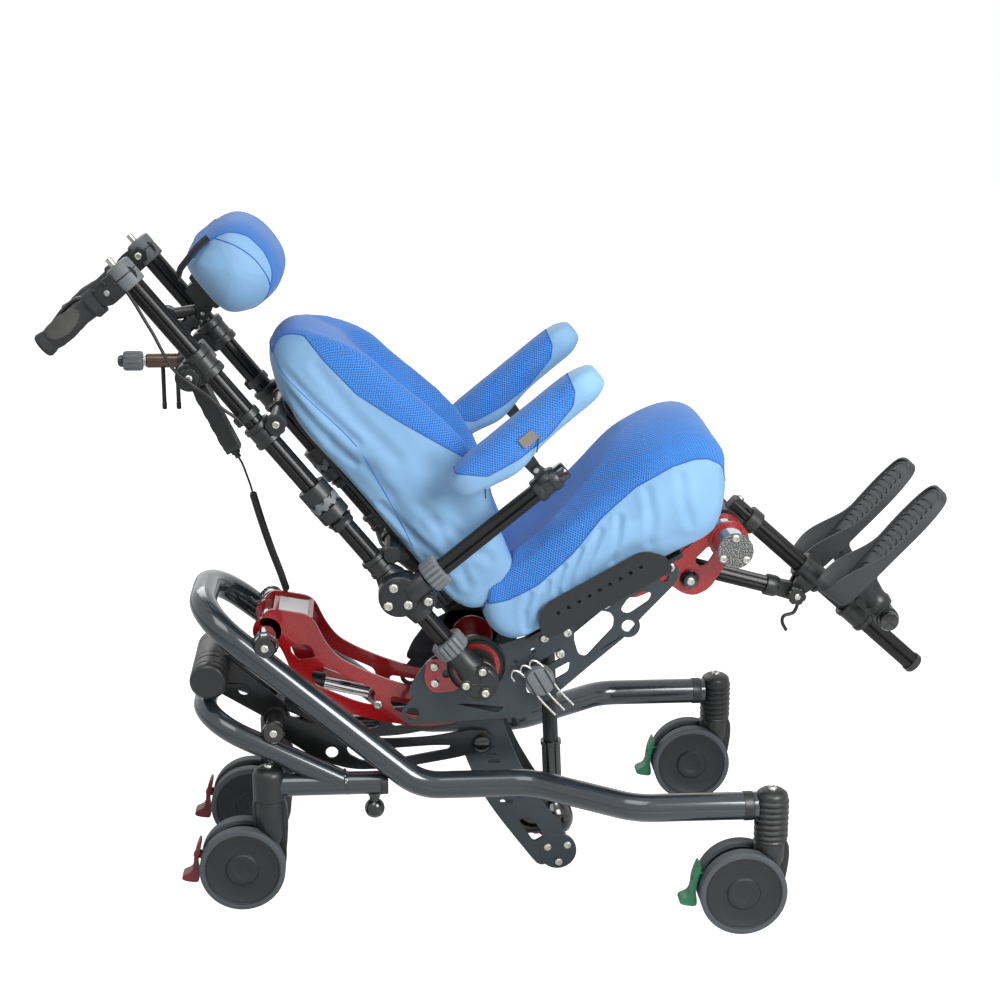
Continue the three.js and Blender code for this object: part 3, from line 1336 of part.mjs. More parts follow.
// Headrest pad: a rounded cushion with two hinge ears on its back
function headPad() {
  const at = (share) => {
    const shares = [
      [-0.5, 0.28], [-0.42, 0.44], [-0.2, 0.5], [0.1, 0.5], [0.34, 0.42], [0.48, 0.2], [0.5, -0.1], [0.42,
          -0.34],
      [0.2, -0.48], [-0.1, -0.5], [-0.36, -0.42], [-0.5, -0.24],
    ];
    const taper = Math.sqrt(Math.max(1 - share ** 4, 0.16));
    return smoothOutline(shares.map(([x, z]) => [
      headPadX + x * headPadDepth * taper, headPadZ + z * headPadHeight * taper]), 12);
  };
  const pad = cushionLoft(at, headPadHalfWidth, [0, 0.4, 0.7, 0.88, 1]);
  const half = headStemThickness / 2;
  const earY = blockHalf / 2 + seatGap + plateThickness;
  const ear = linkPlate(headHingeX, headHingeZ, half * 1.6, headPadX - headPadDepth / 3, headPadZ,
      half * 1.6, earY, plateThickness);
  const hole = bore(half / 2 + seatGap, headHingeX, headHingeZ, -boreReach, boreReach, smallSides);
  return cut(join(pad, ear, mirrored(ear)), hole);
}

// Arm tube: hinge disc, neck and nut, grooved tube, end clamp with its ears
const armClampHeight = 26;
function armTube() {
  const discInner = postY + knuckleThickness / 2 + runningGap;
  const disc = crossBar(knuckleRadius * 0.85, -armY - armTubeRadius, -discInner, 0, armHubZ, tubeSides);
  const nutReach = collarNutHeight / 2;
  const clampReach = clampHeight / 2;
  const profile = [
    [0, 0], [armNeckRadius, 0], [armNeckRadius, armNutDistance - nutReach], [armNutRadius,
        armNutDistance - nutReach],
    [armNutRadius, armNutDistance + nutReach], [armTubeRadius, armNutDistance + nutReach],
    [armTubeRadius, armClampX - clampReach], [armTubeRadius * 1.4, armClampX - clampReach],
    [armTubeRadius * 1.4, armClampX + clampReach], [0, armClampX + clampReach * 1.4],
  ];
  const tube = moved(turnedUpright(profile, 0, 0, holeSides).rotate([0, 90, 0]), 0, -armY, armHubZ);
  const ear = (offset) => linkPlate(armClampX, armHubZ, armTubeRadius, armClampX, armHubZ + armClampHeight,
      backPinRadius,
    armY + offset, plateThickness);
  const earSpread = armTubeRadius * 0.8;
  const pin = crossBar(backPinRadius / 2, -armY - earSpread, -armY + earSpread - plateThickness, armClampX,
    armHubZ + armClampHeight, smallSides);
  return cut(
    join(disc, tube, ear(earSpread), ear(-earSpread + plateThickness), pin),
    bore(backPinRadius + seatGap, 0, armHubZ, -boreReach, boreReach, holeSides),
  );
}

// Arm pad: a rounded cushion with its hinge lug below
function armPad() {
  const section = (inset, place) => {
    const shares = [
      [-0.5, 0.3], [-0.42, 0.46], [-0.2, 0.5], [0.2, 0.5], [0.42, 0.46], [0.5, 0.3], [0.5, -0.1], [0.42,
          -0.34],
      [0.2, -0.5], [-0.2, -0.5], [-0.42, -0.34], [-0.5, -0.1],
    ];
    return shares.map(([across, up]) => new THREE.Vector3(
      padStart + place * padLength, -padY + across * padWidth * inset,
      armHubZ + padBottom + padHeight / 2 + up * padHeight * inset,
    ));
  };
  const stationShares = [[0, 0.6], [0.04, 0.9], [0.15, 1], [0.85, 1], [0.96, 0.9], [1, 0.6]];
  const pad = solidOf(loft(stationShares.map(([place, size]) => section(size, place))));
  const lugY = armY - armTubeRadius * 0.8 + plateThickness + seatGap * 2;
  const lugThickness = armTubeRadius * 1.6 - plateThickness * 2 - seatGap * 4;
  const lug = linkPlate(armClampX, armHubZ + armClampHeight, backPinRadius, armClampX,
      armHubZ + padBottom + padHeight / 4,
    backPinRadius * 1.5, lugY + lugThickness, lugThickness);
  const hole = bore(backPinRadius / 2 + seatGap, armClampX, armHubZ + armClampHeight, -boreReach,
      boreReach, smallSides);
  return cut(join(pad, lug), hole);
}

// Handle grip: hinge lug, collar, waisted grip and end cap; the right one also carries the lever's pin
function handleGrip(withLeverPin) {
  const lug = linkPlate(-gripBack, topClampZ, handleHubRadius * 0.9, -gripBack - handleHubRadius * 1.3,
      topClampZ,
    handleHubRadius * 0.9, postY + postRadius - plateThickness - seatGap, postRadius * 2
        - plateThickness * 2 - seatGap * 2);
  const profile = [
    [0, 0], [gripRadius * 1.25, 0], [gripRadius * 1.25, gripLength * 0.15],
    [gripRadius * 0.95, gripLength * 0.18], [gripRadius * 0.9, gripLength * 0.35], [gripRadius * 1.12,
        gripLength * 0.6],
    [gripRadius, gripLength * 0.96], [gripRadius * 0.8, gripLength], [0, gripLength],
  ];
  const grip = turnedUpright(profile, 0, 0, tubeSides).rotate([0, -90, 0]);
  const hole = bore(gripPinRadius + seatGap, -gripBack, topClampZ, -boreReach, boreReach, smallSides);
  const whole = cut(join(lug, moved(grip, -gripBack - handleHubRadius - runningGap, -postY, topClampZ)),
      hole);
  const leverPin = crossBar(leverPinRadius, -postY, -leverOuterY + leverWidth, leverHingeX, topClampZ,
      smallSides);
  return withLeverPin ? join(whole, leverPin) : whole;
}

// Hand lever inside the right grip: a hub on the grip's pin and a blade that bends back along the grip
const leverHubRadius = 9;
const leverPinRadius = 4;
const leverReach = 84;
const leverRise = 20;
const leverWidth = 8;
const leverHingeX = -gripBack - handleHubRadius * 1.5;
const leverOuterY = postY - gripRadius * 1.25 - runningGap;
function handLever() {
  const elbowX = leverHingeX - leverReach * 0.28;
  const blade = [
    linkPlate(leverHingeX, topClampZ, leverHubRadius, elbowX, topClampZ + leverRise, leverWidth,
        leverOuterY, leverWidth),
    linkPlate(elbowX, topClampZ + leverRise, leverWidth, leverHingeX - leverReach, topClampZ + leverRise / 2,
      leverWidth / 2, leverOuterY, leverWidth),
  ];
  return cut(join(...blade), bore(leverPinRadius + seatGap, leverHingeX, topClampZ, -boreReach, boreReach,
      smallSides));
}

// Leg column: a sleeve round the knee tube and the column with its end cap
const kneeSleeveRadius = kneeRadius * 1.3;
function legColumn() {
  const ring = crossBar(kneeSleeveRadius, -kneeSleeveHalfLength, kneeSleeveHalfLength, 0, 0);
  const web = block(-columnRadius, kneeSleeveRadius, -columnRadius, columnRadius, 0, columnOffset);
  const column = lengthBar(columnRadius, -columnRadius, columnLength, 0, columnOffset, tubeSides);
  const cap = lengthBar(columnRadius * 1.15, columnLength - columnRadius, columnLength, 0, columnOffset,
      tubeSides);
  return cut(join(ring, web, column, cap), bore(kneeRadius + seatGap, 0, 0));
}

// The tool for a bore along X that clears the column
function columnBore() {
  const sides = tubeSides;
  return lengthBar((columnRadius + seatGap) / Math.cos(Math.PI / sides), -columnLength, columnLength * 2,
      0, columnOffset, sides);
}

// Strut clamp: a sleeve on the column, two ears and the pin for the strut and the lever
const clampEarInner = 8;
const clampEarOuter = 14;
const clampLeverWidth = 7;
const clampPinEnd = clampEarOuter + clampLeverWidth + seatGap;
function strutClamp() {
  const half = clampSleeveLength / 2;
  const sleeve = lengthBar(clampSleeveRadius, clampAlongColumn - half, clampAlongColumn + half, 0,
      columnOffset, tubeSides);
  const ear = linkPlate(clampAlongColumn, 0, clampPinRadius * 2.2, clampAlongColumn,
      columnOffset - columnRadius,
    clampSleeveLength / 3, clampEarOuter, clampEarOuter - clampEarInner);
  const pin = crossBar(clampPinRadius, -clampPinEnd, clampEarOuter, clampAlongColumn, 0, holeSides);
  return join(cut(join(sleeve, ear, mirrored(ear)), columnBore()), pin);
}

// Hooked lever on the clamp's pin
function clampLever() {
  const bend = [clampAlongColumn + clampPinRadius * 2, -clampPinRadius * 8.5];
  const tip = [clampAlongColumn + clampPinRadius * 7, -clampPinRadius * 12];
  const outer = clampPinEnd;
  const parts = [
    linkPlate(clampAlongColumn, 0, clampPinRadius * 2.4, ...bend, clampPinRadius * 1.4, outer,
        clampLeverWidth),
    linkPlate(...bend, clampPinRadius * 1.4, ...tip, clampPinRadius, outer, clampLeverWidth),
  ];
  return cut(join(...parts), bore(clampPinRadius + seatGap, clampAlongColumn, 0, -boreReach, boreReach,
      holeSides));
}

// Strut from the hanger's cross pin to the clamp's pin, with an eye at each end
const [strutStartX, strutStartZ] = ownFrame(strutPinX - kneeX, strutPinZ - kneeZ, 0, 0, seatTilt + legAngle);
function legStrut() {
  const start = new THREE.Vector3(strutStartX, 0, strutStartZ);
  const end = new THREE.Vector3(clampAlongColumn, 0, 0);
  const direction = end.clone().sub(start).normalize();
  const eyeRadius = clampPinRadius + pivotSlack * 2;
  const tubeEnd = end.clone().addScaledVector(direction, -eyeRadius - clampPinRadius);
  const tongue = clampEarInner - runningGap;
  const eye = linkPlate(end.x, end.z, eyeRadius, tubeEnd.x, tubeEnd.z, strutRadius, tongue, tongue * 2);
  const foot = crossBar(strutPinRadius * 2.4, -strutRadius, strutRadius, start.x, start.z);
  return cut(
    join(rod(start, tubeEnd, strutRadius, tubeSides), eye, foot),
    bore(strutPinRadius + seatGap, start.x, start.z, -boreReach, boreReach, holeSides),
    bore(clampPinRadius + pivotSlack, end.x, end.z, -boreReach, boreReach, holeSides),
  );
}

// Foot carriage: a sleeve on the column and the cross bar with its end caps
function footCarriage() {
  const half = carriageSleeveLength / 2;
  const x = carriageAlongColumn;
  const sleeve = lengthBar(clampSleeveRadius, x - half, x + half, 0, columnOffset, tubeSides);
  const web = block(x - half, x + half, -columnRadius, columnRadius, columnOffset, carriageBarOffset);
  const capRadius = carriageBarRadius * 1.4;
  const capLength = carriageBarRadius;
  const end = carriageHalfLength;
  const profile = [
    [0, -end], [capRadius, -end], [capRadius, -end + capLength], [carriageBarRadius, -end + capLength],
    [carriageBarRadius, end - capLength], [capRadius, end - capLength], [capRadius, end], [0, end],
  ];
  return join(cut(join(sleeve, web), columnBore()), turned(profile, x, 0, carriageBarOffset, tubeSides));
}

// Right foot plate: a ribbed sole with a raised heel, and the hub that turns on the cross bar
const treadCount = 3;
const treadHeight = 2;
function footPlate() {
  const soleShares = [
    [-0.32, 0.04], [-0.42, 0.2], [-0.46, 0.45], [-0.5, 0.75], [-0.4, 0.94], [-0.15, 1], [0.2, 1],
    [0.42, 0.92], [0.5, 0.7], [0.44, 0.4], [0.4, 0.2], [0.3, 0.04], [0.1, 0], [-0.12, 0],
  ];
  const outline = (from) => new THREE.Shape(soleShares.filter(([, along]) => along <= from).map(([across,
      along]) => (
    new THREE.Vector2(-footPlateY + across * footWidth, footStart + along * footLength))));
  const sole = facingPlate(outline(1), footBackX - footThickness, footThickness);
  const heel = facingPlate(outline(0.2), footBackX - footThickness - footHeelRise,
      footHeelRise + footThickness);
  const heelRoom = block(footBackX - footThickness - footHeelRise * 2, footBackX - footThickness,
      -footPlateY - footWidth * 0.34,
    -footPlateY + footWidth * 0.34, footStart + footThickness, footStart + footLength / 2);
  const treads = Array.from({ length: treadCount }, (_, index) => {
    const z = footStart + footLength * (0.4 + index * 0.2);
    return block(footBackX - footThickness - treadHeight, footBackX, -footPlateY - footWidth * 0.36,
        -footPlateY + footWidth * 0.36,
      z, z + treadHeight * 2);
  });
  const hubRadius = carriageBarRadius * 1.7;
  const hubHalf = carriageHalfLength - carriageBarRadius - footPlateY - runningGap;
  const hubOuter = footPlateY + hubHalf;
  const hub = crossBar(hubRadius, -hubOuter, -footPlateY + hubHalf, carriageAlongColumn, carriageBarOffset);
  const web = linkPlate(carriageAlongColumn, carriageBarOffset, hubRadius, footBackX - footThickness / 2,
      footStart + footLength * 0.25,
    hubRadius, hubOuter, hubHalf);
  return join(sole, cut(heel, heelRoom), ...treads, cut(join(hub, web), bore(carriageBarRadius + seatGap,
      carriageAlongColumn,
    carriageBarOffset, -boreReach, boreReach, tubeSides)));
}

// A pendant hung by a loop on the headrest bracket's cross tube
const pendantY = 70;
const pendantWidth = 34;
const pendantThickness = 20;
const pendantLength = 104;
const pendantSwing = 13 * degree;
const pendantHookRadius = clampRadius * 0.8;
const pendantBottom = pendantHookRadius * 1.4 + pendantLength;
const cordBootLength = 12;
const cordBootRadius = 5;
function pendant() {
  const loopWidth = pendantWidth * 0.4;
  const loop = crossBar(pendantHookRadius, -pendantY - loopWidth / 2, -pendantY + loopWidth / 2, 0, 0);
  const half = pendantThickness / 2;
  const neck = block(-half * 0.6, half * 0.6, -pendantY - loopWidth / 2, -pendantY + loopWidth / 2,
      -pendantHookRadius * 1.8, 0);
  const corners = [[-1, 0], [-1, 1], [1, 1], [1, 0]].map(([across, down]) => new THREE.Vector2(
    -pendantY + (across * pendantWidth) / 2, -pendantHookRadius * 1.4 - down * pendantLength));
  const body = facingPlate(roundedShape(corners.reverse(), pendantWidth / 4), -half, pendantThickness);
  const boot = upright(cordBootRadius, -pendantBottom - cordBootLength, -pendantBottom + overrun, 0,
      -pendantY, holeSides);
  const hooked = cut(join(loop, neck, body, boot), bore(clampRadius / 2 + seatGap, 0, 0, -boreReach,
      boreReach, holeSides));
  return moved(hooked.rotate([0, pendantSwing / degree, 0]), lowClampX, 0, lowClampZ);
}

// Turns a place in a group's own frame into a place in the chair's frame
function chairPlace(x, y, z, group, turn) {
  const [offsetX, offsetZ] = ownFrame(x, z, 0, 0, -turn);
  return new THREE.Vector3(group.position.x + offsetX, y, group.position.z + offsetZ);
}

// A plain cord along a route, with eight sides
function cord(route, radius, steps) {
  const curve = new THREE.CatmullRomCurve3(route, false, 'centripetal');
  return sweep(curve.getSpacedPoints(steps), roundSection(radius, 8), new THREE.Vector3(0, 1, 0));
}

// Brake cable from the right grip's collar down the outside of the post to its connector collar
const cableRadius = 2.5;
const cableShares = [
  [-2.4, 0, 0.88], [-2.35, 0.1, 0.8], [-1.7, 0.55, 0.66], [-1.05, 0.8, 0.52], [-0.93, 0.8, 0.4], [-0.9,
      0.8, 0.28], [-0.85, 0.7, 0.14],
];
function handleCable() {
  const top = topClampZ - gripRadius * 1.25 - runningGap;
  const bottom = connectorZ + clampHeight / 3 + seatGap;
  const height = (top - bottom) / 0.88;
  const places = cableShares.map(([along, out, up]) => new THREE.Vector3(
    along * clampRadius, -postY - out * clampRadius, bottom + up * height));
  const seat = clampRadius * 0.64;
  places.push(new THREE.Vector3(-seat, -postY - seat * 0.8, bottom));
  return cord(places, cableRadius, 12);
}

// The pendant's cord: a thin straight stretch, then one unbroken tube that is curled along most of its way
const cordRadius = 1.6;
const curlStart = [26, -55, 600];
const curlRoute = [
  [35.7, -30, 551], [47, 5, 497], [60, 45, 440], [69, 66, 391], [60, 71, 350], [25, 73, 332], [-20, 88, 330],
];
const curlCount = 22;
const curlSteps = 8;
const curlSides = 5;
const curlTubeRadius = 2.6;
const curlRadius = 3.4;
const curlLength = 196;
function pendantCord() {
  const reach = pendantBottom + cordBootLength + seatGap;
  const root = chairPlace(lowClampX - reach * Math.sin(pendantSwing), -pendantY,
    lowClampZ - reach * Math.cos(pendantSwing), backGroup, backLean);
  const lean = backLean + pendantSwing;
  const leave = new THREE.Vector3(-Math.sin(lean), 0, -Math.cos(lean));
  const end = new THREE.Vector3(...curlStart);
  const arrive = new THREE.Vector3(...curlRoute[0]).sub(end).normalize();
  const places = [
    root, root.clone().addScaledVector(leave, cordBootLength),
    end.clone().addScaledVector(arrive, -cordBootLength), end.clone().addScaledVector(arrive, -seatGap),
  ];
  return cord(places, cordRadius, 6);
}

function curlyCord() {
  const gland = new THREE.Vector3(motorX, motorFarY + cordGlandLength + seatGap, motorZ);
  const lead = curlTubeRadius * 2;
  const start = new THREE.Vector3(...curlStart);
  const first = new THREE.Vector3(...curlRoute[0]).sub(start).normalize();
  const places = [
    start, start.clone().addScaledVector(first,
        lead), ...curlRoute.map((place) => new THREE.Vector3(...place)),
    gland.clone().add(new THREE.Vector3(0, lead * 2, 0)), gland.clone().add(new THREE.Vector3(0, lead,
        0)), gland,
  ];
  const curve = new THREE.CatmullRomCurve3(places, false, 'centripetal');
  const total = curve.getLength();
  const side = new THREE.Vector3(0, 1, 0);
  const path = [curve.getPointAt(0), curve.getPointAt(lead / total)];
  const turns = curlCount * curlSteps;
  for (let step = 1; step < turns; step += 1) {
    const along = (lead + (curlLength * step) / turns) / total;
    const tangent = curve.getTangentAt(along);
    side.addScaledVector(tangent, -side.dot(tangent)).normalize();
    const up = new THREE.Vector3().crossVectors(tangent, side);
    const fade = Math.min(1, step / curlSteps, (turns - step) / curlSteps);
    const angle = (2 * Math.PI * step) / curlSteps;
    path.push(curve.getPointAt(along).addScaledVector(side, fade * curlRadius * Math.cos(angle))
      .addScaledVector(up, fade * curlRadius * Math.sin(angle)));
  }
  const tailSteps = 10;
  const tailStart = lead + curlLength;
  const tailEnd = total - lead;
  for (let step = 0; step <= tailSteps; step += 1) {
    path.push(curve.getPointAt((tailStart + ((tailEnd - tailStart) * step) / tailSteps) / total));
  }
  path.push(gland);
  const travelled = [0];
  path.slice(1).forEach((place, index) => travelled.push(travelled[index] + place.distanceTo(path[index])));
  let leastGap = Infinity;
  path.forEach((place, index) => {
    path.forEach((other, otherIndex) => {
      if (travelled[otherIndex] - travelled[index] > curlTubeRadius * 5) {
        leastGap = Math.min(leastGap, place.distanceTo(other) - curlTubeRadius * 2);
      }
    });
  });
  console.log(`least gap of the curly cord to itself: ${leastGap.toFixed(2)} mm`);
  return sweep(path, roundSection(curlTubeRadius, curlSides), new THREE.Vector3(1, 0, 0));
}

const legGroup = new THREE.Group();
const [kneeOffsetX, kneeOffsetZ] = ownFrame(kneeX, kneeZ, 0, 0, seatTilt);
legGroup.position.set(tiltAxisX + kneeOffsetX, 0, tiltAxisZ + kneeOffsetZ);
legGroup.rotation.y = legAngle;
chair.add(legGroup);

sideNames.forEach((side) => {
  addPiece(seatGroup, `seat_plate_${side}`, onSide(side, seatPlate()), greyPlate);
  addPiece(seatGroup, `seat_guard_${side}`, onSide(side, seatGuard()), blackLacquer);
});
addPiece(seatGroup, 'leg_hanger', legHanger(), redLacquer);
addPiece(seatGroup, 'seat_pan', seatPan(), blackPlastic);
addPiece(seatGroup, 'plug_box', plugBox(), greyPlastic);
addPiece(seatGroup, 'seat_cushion', seatCushion(), blueFabric);

addPiece(legGroup, 'leg_column', legColumn(), blackLacquer);
addPiece(legGroup, 'leg_strut', legStrut(), blackLacquer);
addPiece(legGroup, 'strut_clamp', strutClamp(), blackPlastic);
addPiece(legGroup, 'clamp_lever', clampLever(), blackPlastic);
addPiece(legGroup, 'foot_carriage', footCarriage(), blackPlastic);
sideNames.forEach((side) => {
  addPiece(legGroup, `foot_plate_${side}`, onSide(side, footPlate()), grippyRubber);
});

addPiece(backGroup, 'back_cushion', backCushion(), paleFabric);
sideNames.forEach((side) => {
  addPiece(backGroup, `back_post_${side}`, onSide(side, backPost()), blackLacquer);
  addPiece(backGroup, `arm_tube_${side}`, onSide(side, armTube()), blackLacquer);
  addPiece(backGroup, `arm_pad_${side}`, onSide(side, armPad()), blueFabric);
  addPiece(backGroup, `handle_grip_${side}`, onSide(side, handleGrip(side === 'right')), grippyRubber);
});
addPiece(backGroup, 'hand_lever', handLever(), blackPlastic);
addPiece(backGroup, 'back_panel', backPanel(), blackLacquer);
addPiece(backGroup, 'headrest_bracket', headBracket(), blackLacquer);
addPiece(backGroup, 'headrest_knob', headKnob(), greyPlastic);
addPiece(backGroup, 'headrest_stem', headStem(), blackLacquer);
addPiece(backGroup, 'headrest', headPad(), blueFabric);
addPiece(backGroup, 'pendant', pendant(), blackPlastic);
addPiece(backGroup, 'handle_cable', handleCable(), blackPlastic);
addPiece(chair, 'pendant_cord', pendantCord(), blackPlastic);
addPiece(chair, 'pendant_curl', curlyCord(), blackPlastic);

// The whole is centred over its origin along X
chair.updateMatrixWorld(true);
const extent = new THREE.Box3().setFromObject(chair, true);
chair.position.x = -(extent.min.x + extent.max.x) / 2;
console.log(`shift along X: ${chair.position.x.toFixed(3)} mm`);

export default chair;
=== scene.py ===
# %% [markdown]
# A tilt in space wheelchair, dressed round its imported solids.
# The solids give every place and every joint. This file makes the shapes that are seen:
# smooth tubes, lathe-turned castors, laser-cut plates and sewn covers, each with a procedural finish.

# %% Load the frame
import math
import random
import bmesh
import bpy
from mathutils import Matrix, Vector, noise
from mathutils.bvhtree import BVHTree
from mathutils.geometry import tessellate_polygon


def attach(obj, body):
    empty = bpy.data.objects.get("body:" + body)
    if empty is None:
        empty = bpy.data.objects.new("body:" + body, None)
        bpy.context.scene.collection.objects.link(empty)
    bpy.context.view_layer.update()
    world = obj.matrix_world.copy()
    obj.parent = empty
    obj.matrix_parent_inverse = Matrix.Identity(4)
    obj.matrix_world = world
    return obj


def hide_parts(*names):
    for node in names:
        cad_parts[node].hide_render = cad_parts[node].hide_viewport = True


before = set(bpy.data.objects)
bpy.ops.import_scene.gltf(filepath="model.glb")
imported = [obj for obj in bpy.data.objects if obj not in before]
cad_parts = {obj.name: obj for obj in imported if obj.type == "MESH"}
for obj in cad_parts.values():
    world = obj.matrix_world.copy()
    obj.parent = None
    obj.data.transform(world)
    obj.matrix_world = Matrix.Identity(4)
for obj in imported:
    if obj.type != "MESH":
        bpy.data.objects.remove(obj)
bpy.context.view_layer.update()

# %% [markdown]
# Every length below is in millimetres in one of four upright frames: the chair's own, and one
# turned frame each for the seat, the back and the legrest. A place matrix takes such a point to
# metres in the row frame, so a piece lands where its solid is without any fitting by eye.

# %% Places
MM = 0.001
SHIFT_X = -380.813


def turned_frame(degrees, x, z):
    """The matrix from millimetres in a frame turned about Y to metres in the row frame."""
    move = Matrix.Translation((x + SHIFT_X, 0, z))
    return Matrix.Scale(MM, 4) @ move @ Matrix.Rotation(math.radians(degrees), 4, "Y")


CHAIR = turned_frame(0, 0, 0)
SEAT = turned_frame(-29.2, 338, 345)
BACK = turned_frame(-39, 341, 336)
LEG = turned_frame(42, 698.826, 520.311)
SIDES = (("right", -1), ("left", 1))
print("the knee is at", [round(value, 3) for value in LEG.translation])

# %% [markdown]
# The camera comes first, because cords have to stay near what it sees. It looks down by fifteen
# degrees from the chair's right-hand side, turned by a few degrees, through a long lens.

# %% Camera
camera_data = bpy.data.cameras.new("camera")
camera_data.lens = 72
camera_data.sensor_width = 36
camera = bpy.data.objects.new("camera", camera_data)
camera.location = (-0.183, -2.7817, 1.312)
camera.rotation_euler = (math.radians(75), 0, math.radians(-3.7))
bpy.context.scene.collection.objects.link(camera)
bpy.context.scene.camera = camera
print("camera distance to the middle plane:", abs(camera.location.y), "m")

# %% [markdown]
# The light is that of a plain studio: a pale surround, one broad lamp above and in front, and two
# weaker ones. The floor is a matt sheet that shows white to the camera but still takes a shadow.

# %% Light and floor
bpy.context.scene.view_settings.view_transform = "Standard"


def new_nodes(tree, kind, **settings):
    """A node with its settings."""
    made = tree.nodes.new(kind)
    for key, value in settings.items():
        setattr(made, key, value)
    return made


world = bpy.data.worlds.new("studio")
world.use_nodes = True
bpy.context.scene.world = world
tree = world.node_tree
surround = tree.nodes["Background"]
surround.inputs["Color"].default_value = (0.86, 0.9, 0.96, 1)
surround.inputs["Strength"].default_value = 0.28
white = new_nodes(tree, "ShaderNodeBackground")
white.inputs["Color"].default_value = (1, 1, 1, 1)
seen = new_nodes(tree, "ShaderNodeLightPath")
either = new_nodes(tree, "ShaderNodeMath", operation="MAXIMUM")
mixed = new_nodes(tree, "ShaderNodeMixShader")
mirrored_or_seen = new_nodes(tree, "ShaderNodeMath", operation="MAXIMUM")
tree.links.new(seen.outputs["Is Camera Ray"], either.inputs[0])
tree.links.new(seen.outputs["Is Transmission Ray"], either.inputs[1])
tree.links.new(either.outputs[0], mirrored_or_seen.inputs[0])
tree.links.new(seen.outputs["Is Glossy Ray"], mirrored_or_seen.inputs[1])
tree.links.new(mirrored_or_seen.outputs[0], mixed.inputs["Fac"])
tree.links.new(surround.outputs[0], mixed.inputs[1])
tree.links.new(white.outputs[0], mixed.inputs[2])
tree.links.new(mixed.outputs[0], tree.nodes["World Output"].inputs["Surface"])


def lamp(name, place, aim, size, watts):
    """A square lamp that faces a point."""
    data = bpy.data.lights.new(name, "AREA")
    data.size = size
    data.energy = watts
    made = bpy.data.objects.new(name, data)
    made.location = place
    made.rotation_euler = (Vector(aim) - Vector(place)).to_track_quat("-Z", "Y").to_euler()
    bpy.context.scene.collection.objects.link(made)


lamp("key lamp", (1.05, -1.45, 1.45), (0.2, 0, 0.5), 0.9, 40)
lamp("upper lamp", (-0.7, -1.5, 3.0), (0, 0, 0.5), 1.6, 30)
lamp("back lamp", (-1.0, 2.6, 2.4), (0, 0, 0.6), 1.6, 24)

floor_mesh = bpy.data.meshes.new("floor")
reach = 9
floor_mesh.from_pydata([(-reach, -reach, 0), (reach, -reach, 0), (reach, reach, 0), (-reach, reach, 0)], [], [(0, 1, 2, 3)])
floor = bpy.data.objects.new("floor", floor_mesh)
floor.location.z = -0.0004
bpy.context.scene.collection.objects.link(floor)
sheet = bpy.data.materials.new("white floor")
sheet.use_nodes = True
tree = sheet.node_tree
matt = tree.nodes["Principled BSDF"]
matt.inputs["Base Color"].default_value = (0.93, 0.93, 0.93, 1)
matt.inputs["Roughness"].default_value = 0.9
glow = new_nodes(tree, "ShaderNodeEmission")
glow.inputs["Strength"].default_value = 1.75
share = new_nodes(tree, "ShaderNodeMath", operation="MULTIPLY")
share.inputs[1].default_value = 0.62
seen = new_nodes(tree, "ShaderNodeLightPath")
mixed = new_nodes(tree, "ShaderNodeMixShader")
tree.links.new(seen.outputs["Is Camera Ray"], share.inputs[0])
tree.links.new(share.outputs[0], mixed.inputs["Fac"])
tree.links.new(matt.outputs[0], mixed.inputs[1])
tree.links.new(glow.outputs[0], mixed.inputs[2])
tree.links.new(mixed.outputs[0], tree.nodes["Material Output"].inputs["Surface"])
floor_mesh.materials.append(sheet)

# %% [markdown]
# Lacquer, moulded plastic and rubber are all one recipe: a colour that wanders a little, a
# roughness that wanders with it, and a fine bump at the size of the real grain. Object coordinates
# are used throughout, so no piece needs an unwrapped map.

# %% Hard finishes


def colour_of(hexes):
    """Linear colour of a six-digit colour as it is seen on a screen."""
    values = [int(hexes[start:start + 2], 16) / 255 for start in (0, 2, 4)]
    return [value / 12.92 if value <= 0.04045 else ((value + 0.055) / 1.055) ** 2.4 for value in values] + [1]


def noise_into(tree, scale, detail=3.0):
    """A noise texture in object coordinates."""
    place = new_nodes(tree, "ShaderNodeTexCoord")
    cloud = new_nodes(tree, "ShaderNodeTexNoise")
    cloud.inputs["Scale"].default_value = scale
    cloud.inputs["Detail"].default_value = detail
    tree.links.new(place.outputs["Object"], cloud.inputs["Vector"])
    return cloud


def between(tree, source, low, high):
    """Maps a 0 to 1 value to a range."""
    ranged = new_nodes(tree, "ShaderNodeMapRange")
    ranged.inputs["To Min"].default_value = low
    ranged.inputs["To Max"].default_value = high
    tree.links.new(source, ranged.inputs["Value"])
    return ranged.outputs[0]


